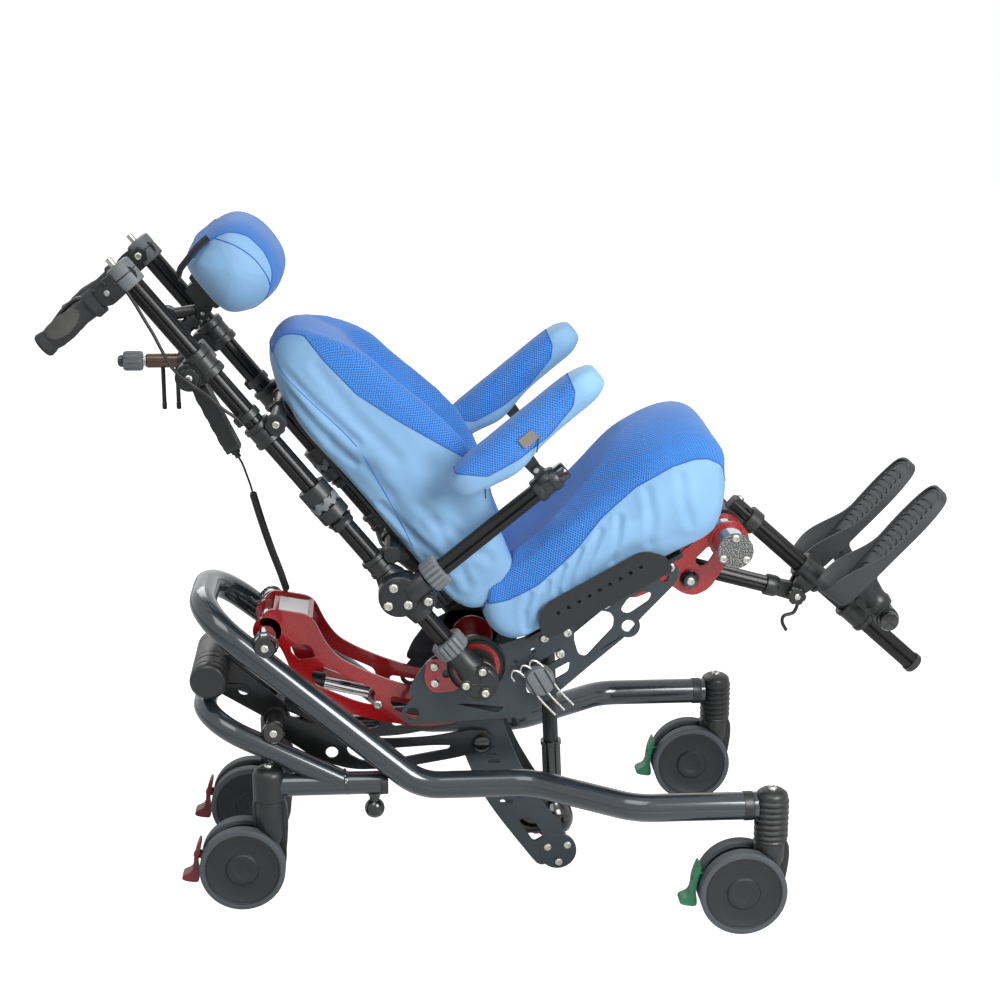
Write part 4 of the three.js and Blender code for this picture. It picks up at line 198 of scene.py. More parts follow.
def hard_finish(name, colour, roughness, metallic=0.0, coat=0.0, grain=900, depth=0.00004, wander=0.16):
    """A lacquer, a moulded plastic or a metal."""
    made = bpy.data.materials.new(name)
    made.use_nodes = True
    tree = made.node_tree
    shader = tree.nodes["Principled BSDF"]
    base = colour_of(colour)
    shader.inputs["Metallic"].default_value = metallic
    shader.inputs["Coat Weight"].default_value = coat
    shader.inputs["Coat Roughness"].default_value = 0.06
    cloud = noise_into(tree, 26)
    tint = new_nodes(tree, "ShaderNodeMixRGB")
    tint.inputs["Color1"].default_value = [value * (1 - wander) for value in base[:3]] + [1]
    tint.inputs["Color2"].default_value = [min(1, value * (1 + wander) + 0.0015) for value in base[:3]] + [1]
    tree.links.new(cloud.outputs["Fac"], tint.inputs["Fac"])
    tree.links.new(tint.outputs[0], shader.inputs["Base Color"])
    fine = noise_into(tree, grain, 2.0)
    tree.links.new(between(tree, fine.outputs["Fac"], roughness * 0.8, min(1, roughness * 1.2)), shader.inputs["Roughness"])
    bump = new_nodes(tree, "ShaderNodeBump")
    bump.inputs["Strength"].default_value = 1.0
    bump.inputs["Distance"].default_value = depth
    tree.links.new(fine.outputs["Fac"], bump.inputs["Height"])
    tree.links.new(bump.outputs[0], shader.inputs["Normal"])
    return made


frame_grey = hard_finish("frame_grey_lacquer", "2b3338", 0.2, 0.25, 0.7, 500, 0.00002)
satin_black = hard_finish("satin_black_lacquer", "17181a", 0.36, 0.2, 0.15, 1400, 0.00003)
tube_black = hard_finish("anodised_black_tube", "161616", 0.3, 0.45, 0.0, 1800, 0.00002)
moulded_black = hard_finish("moulded_black_plastic", "141516", 0.42, 0.0, 0.1, 2200, 0.00005)
gloss_black = hard_finish("gloss_black_plastic", "0e0f10", 0.16, 0.0, 0.5, 600, 0.00001)
red_lacquer = hard_finish("red_lacquer", "97080e", 0.26, 0.15, 0.6, 500, 0.00002)
plate_grey = hard_finish("grey_plate_lacquer", "333c41", 0.4, 0.35, 0.1, 1200, 0.00003)
clamp_grey = hard_finish("grey_moulded_plastic", "686d70", 0.5, 0.0, 0.0, 1800, 0.00006)
bare_steel = hard_finish("zinc_plated_steel", "c4c3bd", 0.28, 1.0, 0.0, 700, 0.00002, 0.08)
polished = hard_finish("chromed_steel", "d6d8da", 0.08, 1.0, 0.0, 300, 0.00001, 0.05)
bronze = hard_finish("bronze_sleeve", "57493b", 0.3, 0.8, 0.0, 900, 0.00002)
tyre_grey = hard_finish("castor_tyre", "44494d", 0.62, 0.0, 0.0, 1500, 0.00005)
wheel_black = hard_finish("castor_disc", "17191b", 0.5, 0.0, 0.0, 2400, 0.00006)
pedal_green = hard_finish("green_pedal", "0c6a45", 0.45, 0.0, 0.1, 1800, 0.00005)
pedal_red = hard_finish("dark_red_pedal", "6e1218", 0.45, 0.0, 0.1, 1800, 0.00005)
grip_rubber = hard_finish("grip_rubber", "232426", 0.72, 0.0, 0.0, 1600, 0.00012)
palm_rubber = hard_finish("palm_pad_rubber", "4a4947", 0.78, 0.0, 0.0, 1300, 0.00016)
foot_rubber = hard_finish("footrest_rubber", "2a2c2d", 0.6, 0.0, 0.0, 1500, 0.0001)
label_white = hard_finish("blank_label", "e3e3e0", 0.45, 0.0, 0.1, 900, 0.00001, 0.02)
speckled = hard_finish("speckled_disc", "4a4b4c", 0.75, 0.2, 0.0, 420, 0.0004, 0.3)
speckle_tree = speckled.node_tree
speckle_noise = noise_into(speckle_tree, 620, 1.0)
speckle_step = new_nodes(speckle_tree, "ShaderNodeMapRange")
speckle_step.inputs["From Min"].default_value = 0.47
speckle_step.inputs["From Max"].default_value = 0.56
speckle_tint = new_nodes(speckle_tree, "ShaderNodeMixRGB")
speckle_tint.inputs["Color1"].default_value = colour_of("242526")
speckle_tint.inputs["Color2"].default_value = colour_of("8d8e8c")
speckle_tree.links.new(speckle_noise.outputs["Fac"], speckle_step.inputs["Value"])
speckle_tree.links.new(speckle_step.outputs[0], speckle_tint.inputs["Fac"])
speckle_tree.links.new(speckle_tint.outputs[0], speckle_tree.nodes["Principled BSDF"].inputs["Base Color"])
cord_black = hard_finish("cord_sheath", "121212", 0.45, 0.0, 0.0, 1500, 0.00003)
print("hard finishes:", len(bpy.data.materials) - 1)

# %% [markdown]
# Two cloths cover the pads. One is a smooth pale stretch fabric with a faint sheen; its weave is two
# crossed waves under a millimetre apart. The other is a royal blue spacer mesh, an open net of
# staggered holes about three millimetres apart, with painted shade in the holes, which a Voronoi
# texture with no randomness draws well once its plane is turned by forty-five degrees.

# %% Cloth finishes


def pale_cloth():
    """Smooth pale blue stretch fabric."""
    made = bpy.data.materials.new("pale_blue_fabric")
    made.use_nodes = True
    tree = made.node_tree
    shader = tree.nodes["Principled BSDF"]
    shader.inputs["Roughness"].default_value = 0.62
    shader.inputs["Sheen Weight"].default_value = 0.18
    shader.inputs["Sheen Roughness"].default_value = 0.45
    cloud = noise_into(tree, 14, 4.0)
    tint = new_nodes(tree, "ShaderNodeMixRGB")
    tint.inputs["Color1"].default_value = colour_of("729cc2")
    tint.inputs["Color2"].default_value = colour_of("84aed2")
    tree.links.new(cloud.outputs["Fac"], tint.inputs["Fac"])
    tree.links.new(tint.outputs[0], shader.inputs["Base Color"])
    place = new_nodes(tree, "ShaderNodeTexCoord")
    heights = []
    for direction in ("X", "Z"):
        wave = new_nodes(tree, "ShaderNodeTexWave", bands_direction=direction)
        wave.inputs["Scale"].default_value = 420
        wave.inputs["Distortion"].default_value = 0.6
        tree.links.new(place.outputs["Object"], wave.inputs["Vector"])
        heights.append(wave.outputs["Fac"])
    both = new_nodes(tree, "ShaderNodeMath", operation="ADD")
    tree.links.new(heights[0], both.inputs[0])
    tree.links.new(heights[1], both.inputs[1])
    bump = new_nodes(tree, "ShaderNodeBump")
    bump.inputs["Strength"].default_value = 0.5
    bump.inputs["Distance"].default_value = 0.00008
    tree.links.new(both.outputs[0], bump.inputs["Height"])
    tree.links.new(bump.outputs[0], shader.inputs["Normal"])
    return made


def net_cloth():
    """Royal blue spacer mesh."""
    made = bpy.data.materials.new("blue_spacer_mesh")
    made.use_nodes = True
    tree = made.node_tree
    shader = tree.nodes["Principled BSDF"]
    shader.inputs["Roughness"].default_value = 0.8
    shader.inputs["Sheen Weight"].default_value = 0.25
    shader.inputs["Sheen Roughness"].default_value = 0.5
    hole = new_nodes(tree, "ShaderNodeMix")
    for name, socket in (("weave", "A"), ("weave_side", "B")):
        place = new_nodes(tree, "ShaderNodeAttribute", attribute_name=name)
        spin = new_nodes(tree, "ShaderNodeMapping")
        spin.inputs["Rotation"].default_value = (0, 0, math.radians(45))
        spin.inputs["Scale"].default_value = (1, 1.25, 1)
        tree.links.new(place.outputs["Vector"], spin.inputs["Vector"])
        cells = new_nodes(tree, "ShaderNodeTexVoronoi", voronoi_dimensions="2D")
        cells.inputs["Scale"].default_value = 275
        cells.inputs["Randomness"].default_value = 0.12
        tree.links.new(spin.outputs[0], cells.inputs["Vector"])
        step = new_nodes(tree, "ShaderNodeMapRange", interpolation_type="SMOOTHSTEP")
        step.inputs["From Min"].default_value = 0.2
        step.inputs["From Max"].default_value = 0.42
        tree.links.new(cells.outputs["Distance"], step.inputs["Value"])
        tree.links.new(step.outputs[0], hole.inputs[socket])
    turn = new_nodes(tree, "ShaderNodeAttribute", attribute_name="weave_turn")
    tree.links.new(turn.outputs["Fac"], hole.inputs["Factor"])
    cloud = noise_into(tree, 10, 3.0)
    strand = new_nodes(tree, "ShaderNodeMixRGB")
    strand.inputs["Color1"].default_value = colour_of("2c79cf")
    strand.inputs["Color2"].default_value = colour_of("428fe0")
    tree.links.new(cloud.outputs["Fac"], strand.inputs["Fac"])
    # Painted shade: the holes are coloured a darker blue, as shade inside the net's depth; the same hole mask also
    # gives the bump.
    tint = new_nodes(tree, "ShaderNodeMixRGB")
    tint.inputs["Color1"].default_value = colour_of("10397f")
    tree.links.new(hole.outputs[0], tint.inputs["Fac"])
    tree.links.new(strand.outputs[0], tint.inputs["Color2"])
    tree.links.new(tint.outputs[0], shader.inputs["Base Color"])
    bump = new_nodes(tree, "ShaderNodeBump")
    bump.inputs["Strength"].default_value = 0.9
    bump.inputs["Distance"].default_value = 0.0006
    tree.links.new(hole.outputs[0], bump.inputs["Height"])
    tree.links.new(bump.outputs[0], shader.inputs["Normal"])
    return made


pale_blue = pale_cloth()
net_blue = net_cloth()
thread_blue = hard_finish("seam_thread", "2c5fae", 0.8, 0.0, 0.0, 2500, 0.0001)
webbing_black = hard_finish("black_webbing", "15171b", 0.85, 0.0, 0.0, 1800, 0.0003)
tag_grey = hard_finish("grey_fabric_tag", "7d756c", 0.8, 0.0, 0.0, 1500, 0.0002)
print("cloths:", pale_blue.name, net_blue.name)

# %% [markdown]
# A few small makers build nearly everything: a shape is a list of points and a list of faces, in
# millimetres. Lathe work, swept tubes and flat plates with holes are enough for all the hard pieces.
# A bevel modifier then takes the sharpness off edges, since no real edge is perfectly sharp.

# %% Shapes


def joined(*shapes):
    """Several shapes as one."""
    points, faces = [], []
    for shape_points, shape_faces in shapes:
        start = len(points)
        points += shape_points
        faces += [tuple(start + index for index in face) for face in shape_faces]
    return points, faces


def shifted(shape, x=0, y=0, z=0):
    """A shape moved."""
    step = Vector((x, y, z))
    return [point + step for point in shape[0]], shape[1]


def flipped(shape, sign):
    """A shape mirrored to the other side of the middle plane where sign is 1; pieces are drawn on the right, at -Y."""
    if sign < 0:
        return shape
    return [Vector((point.x, -point.y, point.z)) for point in shape[0]], [tuple(reversed(face)) for face in shape[1]]


def turned(profile, at=(0, 0, 0), axis=(0, 0, 1), sides=40):
    """Lathe work: (radius, along) points spun round an axis through a place."""
    spin = Vector((0, 0, 1)).rotation_difference(Vector(axis)).to_matrix()
    origin = Vector(at)
    points, faces, rows = [], [], []
    for radius, along in profile:
        count = 1 if radius <= 0 else sides
        rows.append([len(points) + index for index in range(count)])
        for index in range(count):
            angle = 2 * math.pi * index / sides
            points.append(origin + spin @ Vector((radius * math.cos(angle), radius * math.sin(angle), along)))
    for low, high in zip(rows, rows[1:]):
        for index in range(sides):
            following = (index + 1) % sides
            face = [low[index % len(low)], low[following % len(low)], high[following % len(high)], high[index % len(high)]]
            face = list(dict.fromkeys(face))
            if len(face) > 2:
                faces.append(tuple(face))
    return points, faces


def bar(radius, start, end, sides=32, edge=1.0):
    """A round bar between two places, with a small bevel at each end."""
    start, end = Vector(start), Vector(end)
    length = (end - start).length
    edge = min(edge, radius * 0.4, length * 0.3)
    profile = [(0, 0), (radius - edge, 0), (radius, edge), (radius, length - edge), (radius - edge, length), (0, length)]
    return turned(profile, start, (end - start).normalized(), sides)


def across(radius, low, high, x, z, sides=32, edge=1.0):
    """A round bar along Y."""
    return bar(radius, (x, low, z), (x, high, z), sides, edge)


def bent(places, radii, steps=9):
    """A path with its corners rounded to given radii."""
    places = [Vector(place) for place in places]
    path = [places[0]]
    for before, corner, after, radius in zip(places, places[1:], places[2:], radii):
        toward, away = (before - corner).normalized(), (after - corner).normalized()
        half = toward.angle(away) / 2
        run = radius / math.tan(half)
        middle = corner + (toward + away).normalized() * (radius / math.sin(half))
        first, last = corner + toward * run - middle, corner + away * run - middle
        turn = first.rotation_difference(last)
        for step in range(steps + 1):
            angle = turn.angle * step / steps
            path.append(middle + Matrix.Rotation(angle, 3, turn.axis) @ first)
    path.append(places[-1])
    return path


def ring_section(radius, sides=28, flutes=0, depth=0.0):
    """A tube's section, plain or with shallow grooves along it."""
    section = []
    for index in range(sides):
        angle = 2 * math.pi * index / sides
        groove = max(0.0, math.cos(flutes * angle) - 0.72) / 0.28 if flutes else 0.0
        section.append((math.cos(angle) * (radius - depth * groove), math.sin(angle) * (radius - depth * groove)))
    return section


def swept(path, section, up=(0, 0, 1), scales=None):
    """A section carried along a path without twisting, closed at both ends."""
    path = [Vector(place) for place in path]
    side = Vector(up).cross(path[1] - path[0])
    side = side.normalized() if side.length > 1e-6 else Vector((1, 0, 0))
    points, faces = [], []
    count = len(section)
    for index, place in enumerate(path):
        ahead = path[min(index + 1, len(path) - 1)] - path[max(index - 1, 0)]
        ahead.normalize()
        side = (side - ahead * side.dot(ahead)).normalized()
        top = ahead.cross(side)
        size = scales[index] if scales else 1
        points += [place + side * (a * size) + top * (b * size) for a, b in section]
    for row in range(len(path) - 1):
        for index in range(count):
            following = (index + 1) % count
            faces.append((row * count + index, row * count + following,
                          (row + 1) * count + following, (row + 1) * count + index))
    faces.append(tuple(reversed(range(count))))
    faces.append(tuple(range((len(path) - 1) * count, len(path) * count)))
    return points, faces


def tube(path, radius, sides=28, flutes=0, depth=0.0, up=(0, 0, 1)):
    """A round tube along a path."""
    return swept(path, ring_section(radius, sides, flutes, depth), up)


def smooth_loop(places, per=6):
    """A closed smooth line through flat places."""
    count = len(places)
    line = []
    for index in range(count):
        a, b, c, d = (Vector(places[(index + offset) % count]) for offset in (-1, 0, 1, 2))
        for step in range(per):
            t = step / per
            line.append(0.5 * ((2 * b) + (c - a) * t + (2 * a - 5 * b + 4 * c - d) * t * t
                               + (3 * b - a - 3 * c + d) * t ** 3))
    return line


def smooth_line(places, per=8):
    """An open smooth line through places."""
    places = [Vector(place) for place in places]
    padded = [places[0] * 2 - places[1]] + places + [places[-1] * 2 - places[-2]]
    line = []
    for a, b, c, d in zip(padded, padded[1:], padded[2:], padded[3:]):
        for step in range(per):
            t = step / per
            line.append(0.5 * ((2 * b) + (c - a) * t + (2 * a - 5 * b + 4 * c - d) * t * t
                               + (3 * b - a - 3 * c + d) * t ** 3))
    return line + [places[-1]]


def cornered(places, radius, steps=5):
    """A closed outline with its corners rounded."""
    line = []
    count = len(places)
    for index in range(count):
        before, corner, after = (Vector(places[(index + offset) % count]) for offset in (-1, 0, 1))
        toward, away = before - corner, after - corner
        run = min(radius, toward.length * 0.45, away.length * 0.45)
        first, last = corner + toward.normalized() * run, corner + away.normalized() * run
        for step in range(steps + 1):
            t = step / steps
            line.append(first.lerp(corner, t).lerp(corner.lerp(last, t), t))
    return line


def circle(x, z, radius, sides=28):
    """A round outline."""
    return [Vector((x + radius * math.cos(2 * math.pi * index / sides), z + radius * math.sin(2 * math.pi * index / sides)))
            for index in range(sides)]


def shares(table, width, height, x=0, z=0):
    """Outline places given as shares of a width and a height."""
    return [Vector((x + a * width, z + b * height)) for a, b in table]


def slab(outline, low, high, holes=(), facing="Y"):
    """A flat plate with holes, cut out of sheet and lying across Y or X."""
    loops = [list(outline)] + [list(hole) for hole in holes]
    flat = [Vector((place[0], place[1], 0)) for loop in loops for place in loop]
    triangles = tessellate_polygon([[Vector((place[0], place[1], 0)) for place in loop] for loop in loops])
    count = len(flat)
    points, faces = [], []
    for level in (low, high):
        for place in flat:
            points.append(Vector((place.x, level, place.y)) if facing == "Y" else Vector((level, place.x, place.y)))
    for triangle in triangles:
        faces.append(tuple(triangle))
        faces.append(tuple(index + count for index in reversed(triangle)))
    start = 0
    for loop in loops:
        size = len(loop)
        for index in range(size):
            a, b = start + index, start + (index + 1) % size
            faces.append((a, b, b + count, a + count))
        start += size
    return points, faces


def link_outline(x1, z1, r1, x2, z2, r2, sides=14):
    """The outline round two circles."""
    along = math.atan2(z2 - z1, x2 - x1)
    distance = math.hypot(x2 - x1, z2 - z1)
    lean = math.acos(max(-1, min(1, (r1 - r2) / distance)))
    line = []
    for x, z, radius, start, end in ((x2, z2, r2, -lean, lean), (x1, z1, r1, lean, 2 * math.pi - lean)):
        for step in range(sides + 1):
            angle = along + start + (end - start) * step / sides
            line.append(Vector((x + radius * math.cos(angle), z + radius * math.sin(angle))))
    return line


def link(x1, z1, r1, x2, z2, r2, low, high, holes=()):
    """A flat link round two circles."""
    return slab(link_outline(x1, z1, r1, x2, z2, r2), low, high, holes)


def box(low, high, radius=2.0, facing="Y"):
    """A block with rounded corners in one view."""
    (x0, y0, z0), (x1, y1, z1) = low, high
    if facing == "Y":
        return slab(cornered([(x0, z0), (x1, z0), (x1, z1), (x0, z1)], radius), y0, y1)
    return slab(cornered([(y0, z0), (y1, z0), (y1, z1), (y0, z1)], radius), x0, x1, (), "X")


def screw(at, axis, radius=6.0, height=3.4):
    """A button-head screw with a six-sided socket."""
    spin = Vector((0, 0, 1)).rotation_difference(Vector(axis)).to_matrix()
    origin = Vector(at)
    sides = 24
    socket = radius * 0.5
    rows = [(radius, 0, 0), (radius, height * 0.35, 0), (radius * 0.86, height * 0.78, 0), (radius * 0.66, height, 0),
            (socket * 1.1, height, 0), (socket, height * 0.95, 1), (socket, height * 0.25, 1)]
    points, faces = [], []
    for size, rise, six in rows:
        for index in range(sides):
            angle = 2 * math.pi * index / sides
            shape = math.cos(math.pi / 6) / math.cos((angle % (math.pi / 3)) - math.pi / 6) if six else 1
            points.append(origin + spin @ Vector((size * shape * math.cos(angle), size * shape * math.sin(angle), rise)))
    for row in range(len(rows) - 1):
        for index in range(sides):
            following = (index + 1) % sides
            faces.append((row * sides + index, row * sides + following, (row + 1) * sides + following, (row + 1) * sides + index))
    faces.append(tuple(range((len(rows) - 1) * sides, len(rows) * sides)))
    faces.append(tuple(reversed(range(sides))))
    return points, faces


def screws(places, axis, radius=6.0, height=3.4):
    """A row of screws."""
    return joined(*[screw(place, axis, radius, height) for place in places])


def fluted_nut(radius, height, ribs, at, axis, hole=0.0):
    """A hand nut with rounded ribs round it."""
    spin = Vector((0, 0, 1)).rotation_difference(Vector(axis)).to_matrix()
    origin = Vector(at)
    sides = ribs * 8
    rows = [(0.62, -0.5), (0.86, -0.5), (0.97, -0.42), (1, -0.3), (1, 0.3), (0.97, 0.42), (0.86, 0.5), (0.62, 0.5)]
    points, faces = [], []
    for size, rise in rows:
        for index in range(sides):
            angle = 2 * math.pi * index / sides
            wave = 1 - 0.13 * max(0.0, math.cos(ribs * angle)) ** 1.4 if size > 0.8 else 1
            points.append(origin + spin @ Vector((radius * size * wave * math.cos(angle),
                                                  radius * size * wave * math.sin(angle), height * rise)))
    for row in range(len(rows) - 1):
        for index in range(sides):
            following = (index + 1) % sides
            faces.append((row * sides + index, row * sides + following, (row + 1) * sides + following, (row + 1) * sides + index))
    faces.append(tuple(reversed(range(sides))))
    faces.append(tuple(range((len(rows) - 1) * sides, len(rows) * sides)))
    return points, faces


made_pieces = []


def piece(name, parts, place, body, replaced=(), bevel=0.5, sharp=35):
    """One visible piece of shapes and their finishes, riding on a body."""
    mesh = bpy.data.meshes.new(name)
    points, faces, finish_of = [], [], []
    finishes = []
    for shape, finish in parts:
        if finish not in finishes:
            finishes.append(finish)
        start = len(points)
        points += [place @ point for point in shape[0]]
        faces += [tuple(start + index for index in face) for face in shape[1]]
        finish_of += [finishes.index(finish)] * len(shape[1])
    mesh.from_pydata(points, [], faces)
    for finish in finishes:
        mesh.materials.append(finish)
    mesh.polygons.foreach_set("material_index", finish_of)
    work = bmesh.new()
    work.from_mesh(mesh)
    bmesh.ops.recalc_face_normals(work, faces=work.faces)
    work.to_mesh(mesh)
    work.free()
    mesh.shade_smooth()
    mesh.set_sharp_from_angle(angle=math.radians(sharp))
    made = bpy.data.objects.new(name, mesh)
    bpy.context.scene.collection.objects.link(made)
    if bevel:
        rounding = made.modifiers.new("edges", "BEVEL")
        rounding.width = bevel * MM
        rounding.segments = 2
        rounding.limit_method = "ANGLE"
        rounding.angle_limit = math.radians(50)
        rounding.harden_normals = True
    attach(made, body)
    if replaced:
        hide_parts(*replaced)
    made_pieces.append(name)
    return made


print("shape makers are ready")

# %% [markdown]
# The hand control's cord is a thin plain lead that turns into a tight curl and ends in the lift
# motor's gland. Each stretch is a mesh tube swept along its own path.

# %% Cords


def path_length(path):
    """The length of a path."""
    return sum((b - a).length for a, b in zip(path, path[1:]))


def along(path, distance):
    """The place and the direction at a distance along a path."""
    for a, b in zip(path, path[1:]):
        step = (b - a).length
        if distance <= step:
            return a.lerp(b, distance / step), (b - a).normalized()
        distance -= step
    return path[-1], (path[-1] - path[-2]).normalized()


LOW_CLAMP_X, LOW_CLAMP_Z = -27.5, 588
PENDANT_Y, PENDANT_SWING = -70, math.radians(13)
boot_reach = 138.7
to_chair = CHAIR.inverted()
cord_root = to_chair @ BACK @ Vector((LOW_CLAMP_X - boot_reach * math.sin(PENDANT_SWING), PENDANT_Y,
                                      LOW_CLAMP_Z - boot_reach * math.cos(PENDANT_SWING)))
curl_route = [Vector(place) for place in (
    (35.7, -30, 551), (47, 5, 497), (60, 45, 440), (69, 66, 391), (60, 71, 350), (25, 73, 332), (-20, 88, 330))]
curl_start = Vector((26, -55, 600))
arrive = (curl_route[0] - curl_start).normalized()
lean = math.radians(-26)
leave = Vector((-math.sin(lean), 0, -math.cos(lean)))
lead_path = smooth_line([cord_root, cord_root + leave * 12, curl_start - arrive * 12, curl_start - arrive * 0.3], 10)
gland = Vector((-42, 74.3, 330))
curl_line = smooth_line([curl_start, curl_start + arrive * 5.2] + curl_route
                        + [gland + Vector((0, 10.4, 0)), gland + Vector((0, 5.2, 0)), gland], 30)
CURL_PITCH, CURL_RADIUS, CURL_WIRE, CURL_STEPS = 2.9, 4.4, 1.2, 14
curl_reach = 214
curls = int(curl_reach / CURL_PITCH)
curl_path = [curl_line[0], along(curl_line, 4)[0]]
side = Vector((0, 1, 0))
for step in range(1, curls * CURL_STEPS):
    place, ahead = along(curl_line, 5.2 + curl_reach * step / (curls * CURL_STEPS))
    side = (side - ahead * side.dot(ahead)).normalized()
    top = ahead.cross(side)
    fade = min(1, step / CURL_STEPS, (curls * CURL_STEPS - step) / CURL_STEPS)
    angle = 2 * math.pi * step / CURL_STEPS
    curl_path.append(place + side * (fade * CURL_RADIUS * math.cos(angle)) + top * (fade * CURL_RADIUS * math.sin(angle)))
whole = path_length(curl_line)
for step in range(1, 15):
    curl_path.append(along(curl_line, 5.2 + curl_reach + (whole - curl_reach - 5.2) * step / 14)[0])


def cord_piece(name, path, radius, body, replaced, **facts):
    """A cord as a mesh tube along its path."""
    made = piece(name, [(swept(path, ring_section(radius, 9), (1, 0, 0)), cord_black)], CHAIR, body, (replaced,), bevel=0)
    return made


cord_piece("pendant_lead", lead_path, 1.6, "pendant", "pendant_cord", far_end="object", stiffness="medium", lay="hanging")
cord_piece("pendant_curl_cord", curl_path, CURL_WIRE, "base", "pendant_curl", far_end="object", stiffness="medium", lay="coiled")

# %% [markdown]
# The base is one bent grey tube that starts in the right front socket, waists in, rises over the
# rear and comes back on the left. A path with rounded corners, swept with a round section, is
# exactly how such a tube is bent. The rear tubes, hoop and sockets are welded to it.

# %% Base frame
half = [(722, 229, 180), (552, 228.7, 180), (415, 128, 180), (255, 128, 180), (-50, 100, 434)]
frame_path = bent([(x, -y, z) for x, y, z in half] + [(x, y, z) for x, y, z in reversed(half)],
                  [80, 80, 80, 74, 74, 80, 80, 80])


def weld(at, axis, radius):
    """A weld bead round a joint: a thin ring with a rippled height."""
    spin = Vector((0, 0, 1)).rotation_difference(Vector(axis)).to_matrix()
    ring = [Vector(at) + spin @ Vector(((radius + 0.5 * math.sin(11 * step)) * math.cos(step * math.pi / 36),
                                        (radius + 0.5 * math.sin(11 * step)) * math.sin(step * math.pi / 36), 0))
            for step in range(73)]
    return swept(ring, ring_section(1.6, 8))


def socket_shell(x, y, bottom, top, ribs):
    """A castor socket: a sleeve, ribbed where it is a boot, under a domed cap."""
    profile = [(0, bottom), (22, bottom), (23.4, bottom + 1.5)]
    if ribs:
        pitch = (top - bottom - 16) / ribs
        for rib in range(ribs):
            level = bottom + 4 + rib * pitch
            profile += [(21.6, level), (24, level + pitch * 0.3), (24, level + pitch * 0.62), (21.6, level + pitch * 0.9)]
        profile += [(22.5, top - 10), (21, top - 5), (16, top - 1), (9, top), (0, top)]
    else:
        profile += [(23.4, top - 12), (21.5, top - 6), (17, top - 2), (9, top), (0, top)]
    return turned(profile, (x, y, 0), (0, 0, 1), 40)


frame_parts = [(tube(frame_path, 19.5, 36), frame_grey)]
for sign in (-1, 1):
    frame_parts += [
        (socket_shell(741.5, sign * 234, 131, 206, 7), moulded_black),
        (screw((741.5, sign * 234, 206), (0, 0, 1), 6.5, 4.5), bare_steel),
        (turned([(0, 0), (20.6, 0), (20.6, 12), (19.6, 14), (0, 14)], (702, sign * 229, 180), (1, 0, 0), 36), moulded_black),
        (weld((40.5, sign * 106, 389), (0, 1, 0), 17.5), frame_grey),
    ]
piece("main_frame_tube", frame_parts, CHAIR, "base", ("main_frame",), 0.4)

hoop_half = [(150, 113, 180), (-52, 108, 281)]
hoop_path = bent([(x, -y, z) for x, y, z in hoop_half] + [(x, y, z) for x, y, z in reversed(hoop_half)], [68, 68])
rear_parts = [(tube(hoop_path, 16.5, 32), frame_grey)]
for sign in (-1, 1):
    y = sign * 113
    rear_parts += [
        (bar(16.5, (50, y, 180), (205, y, 180)), frame_grey),
        (socket_shell(40, y, 159, 208, 0), moulded_black),
        (screw((40, y, 208), (0, 0, 1), 6, 4), bare_steel),
        (turned([(0, 127), (6, 127.6), (10.8, 130.6), (13.6, 135.6), (14.4, 141), (13.2, 147), (10, 151.4), (7, 153.6), (7.4, 158), (11, 166), (0, 166)],
                (190, y, 0), (0, 0, 1), 32), gloss_black),
        (turned([(0, 0), (17.4, 0), (17.4, 9), (16.4, 11), (0, 11)], (199, y, 180), (1, 0, 0), 32), moulded_black),
        (weld((150, y, 182), (1, 0, 0.12), 17.2), frame_grey),
    ]
piece("rear_frame_tubes", rear_parts, CHAIR, "base", ("rear_frame",), 0.4)


def shaft_parts(x, z, radius, finish):
    """A cross shaft with a screwed cap at each end."""
    parts = [(across(radius, -116, 116, x, z, 36), finish)]
    for sign in (-1, 1):
        parts += [(turned([(0, 0), (14.6, 0), (15.9, 2), (16, 9), (14, 11.5), (0, 12)], (x, sign * 112, z), (0, sign, 0), 36), gloss_black),
                  (screw((x, sign * 124, z), (0, sign, 0), 6, 3), bare_steel)]
    return parts


piece("upper_shaft", shaft_parts(40.5, 389, 14, polished), CHAIR, "base", ("upper_pivot_shaft",))
cradle_parts = shaft_parts(49, 262, 12, satin_black)
for sign in (-1, 1):
    ring = link(-42, 330, 27, 49, 262, 17, -34, -30, [circle(-42, 330, 20.6), circle(4, 296, 9)])
    cradle_parts.append((flipped(ring, sign), satin_black))
piece("motor_cradle_plates", cradle_parts, CHAIR, "base", ("motor_cradle",))

# %% [markdown]
# A twin castor is two moulded discs on one axle with a soft grey tread, carried by a hood between
# them. Each disc is one lathe profile: a rounded tread, a step where rubber meets plastic, a shallow
# dish and a raised hub cap. The brake pedal is a curved toe piece behind the wheel.

# %% Castors
AXLE_Z, TRAIL = 61.3, 40


def disc_parts(sign):
    """One wheel disc, its outer face towards sign."""
    tread = [(54.5, 10), (60, 10), (61.3, 11.5), (61.3, 27.2), (60, 28.8), (57.5, 29.4), (54.5, 29.2), (53.6, 28.4)]
    dish = [(53.8, 10.5), (53.8, 28.6), (52.4, 28.9), (51.4, 27.6), (47, 27), (45.8, 26.2), (29, 25.4), (24, 25.6), (23, 27.4),
            (21.6, 28.6), (12, 29.0), (11, 28.4), (6, 28.2), (0, 28.2)]
    inner = [(0, 10), (20, 10), (22, 12), (50, 12.5), (53.8, 10.5)]
    axis = (0, sign, 0)
    return [(turned(tread, (0, 0, 0), axis, 72), tyre_grey), (turned(dish, (0, 0, 0), axis, 72), wheel_black),
            (turned(inner, (0, 0, 0), axis, 72), wheel_black)]


def placed(parts, x, y, z):
    """Parts moved together."""
    return [(shifted(shape, x, y, z), finish) for shape, finish in parts]


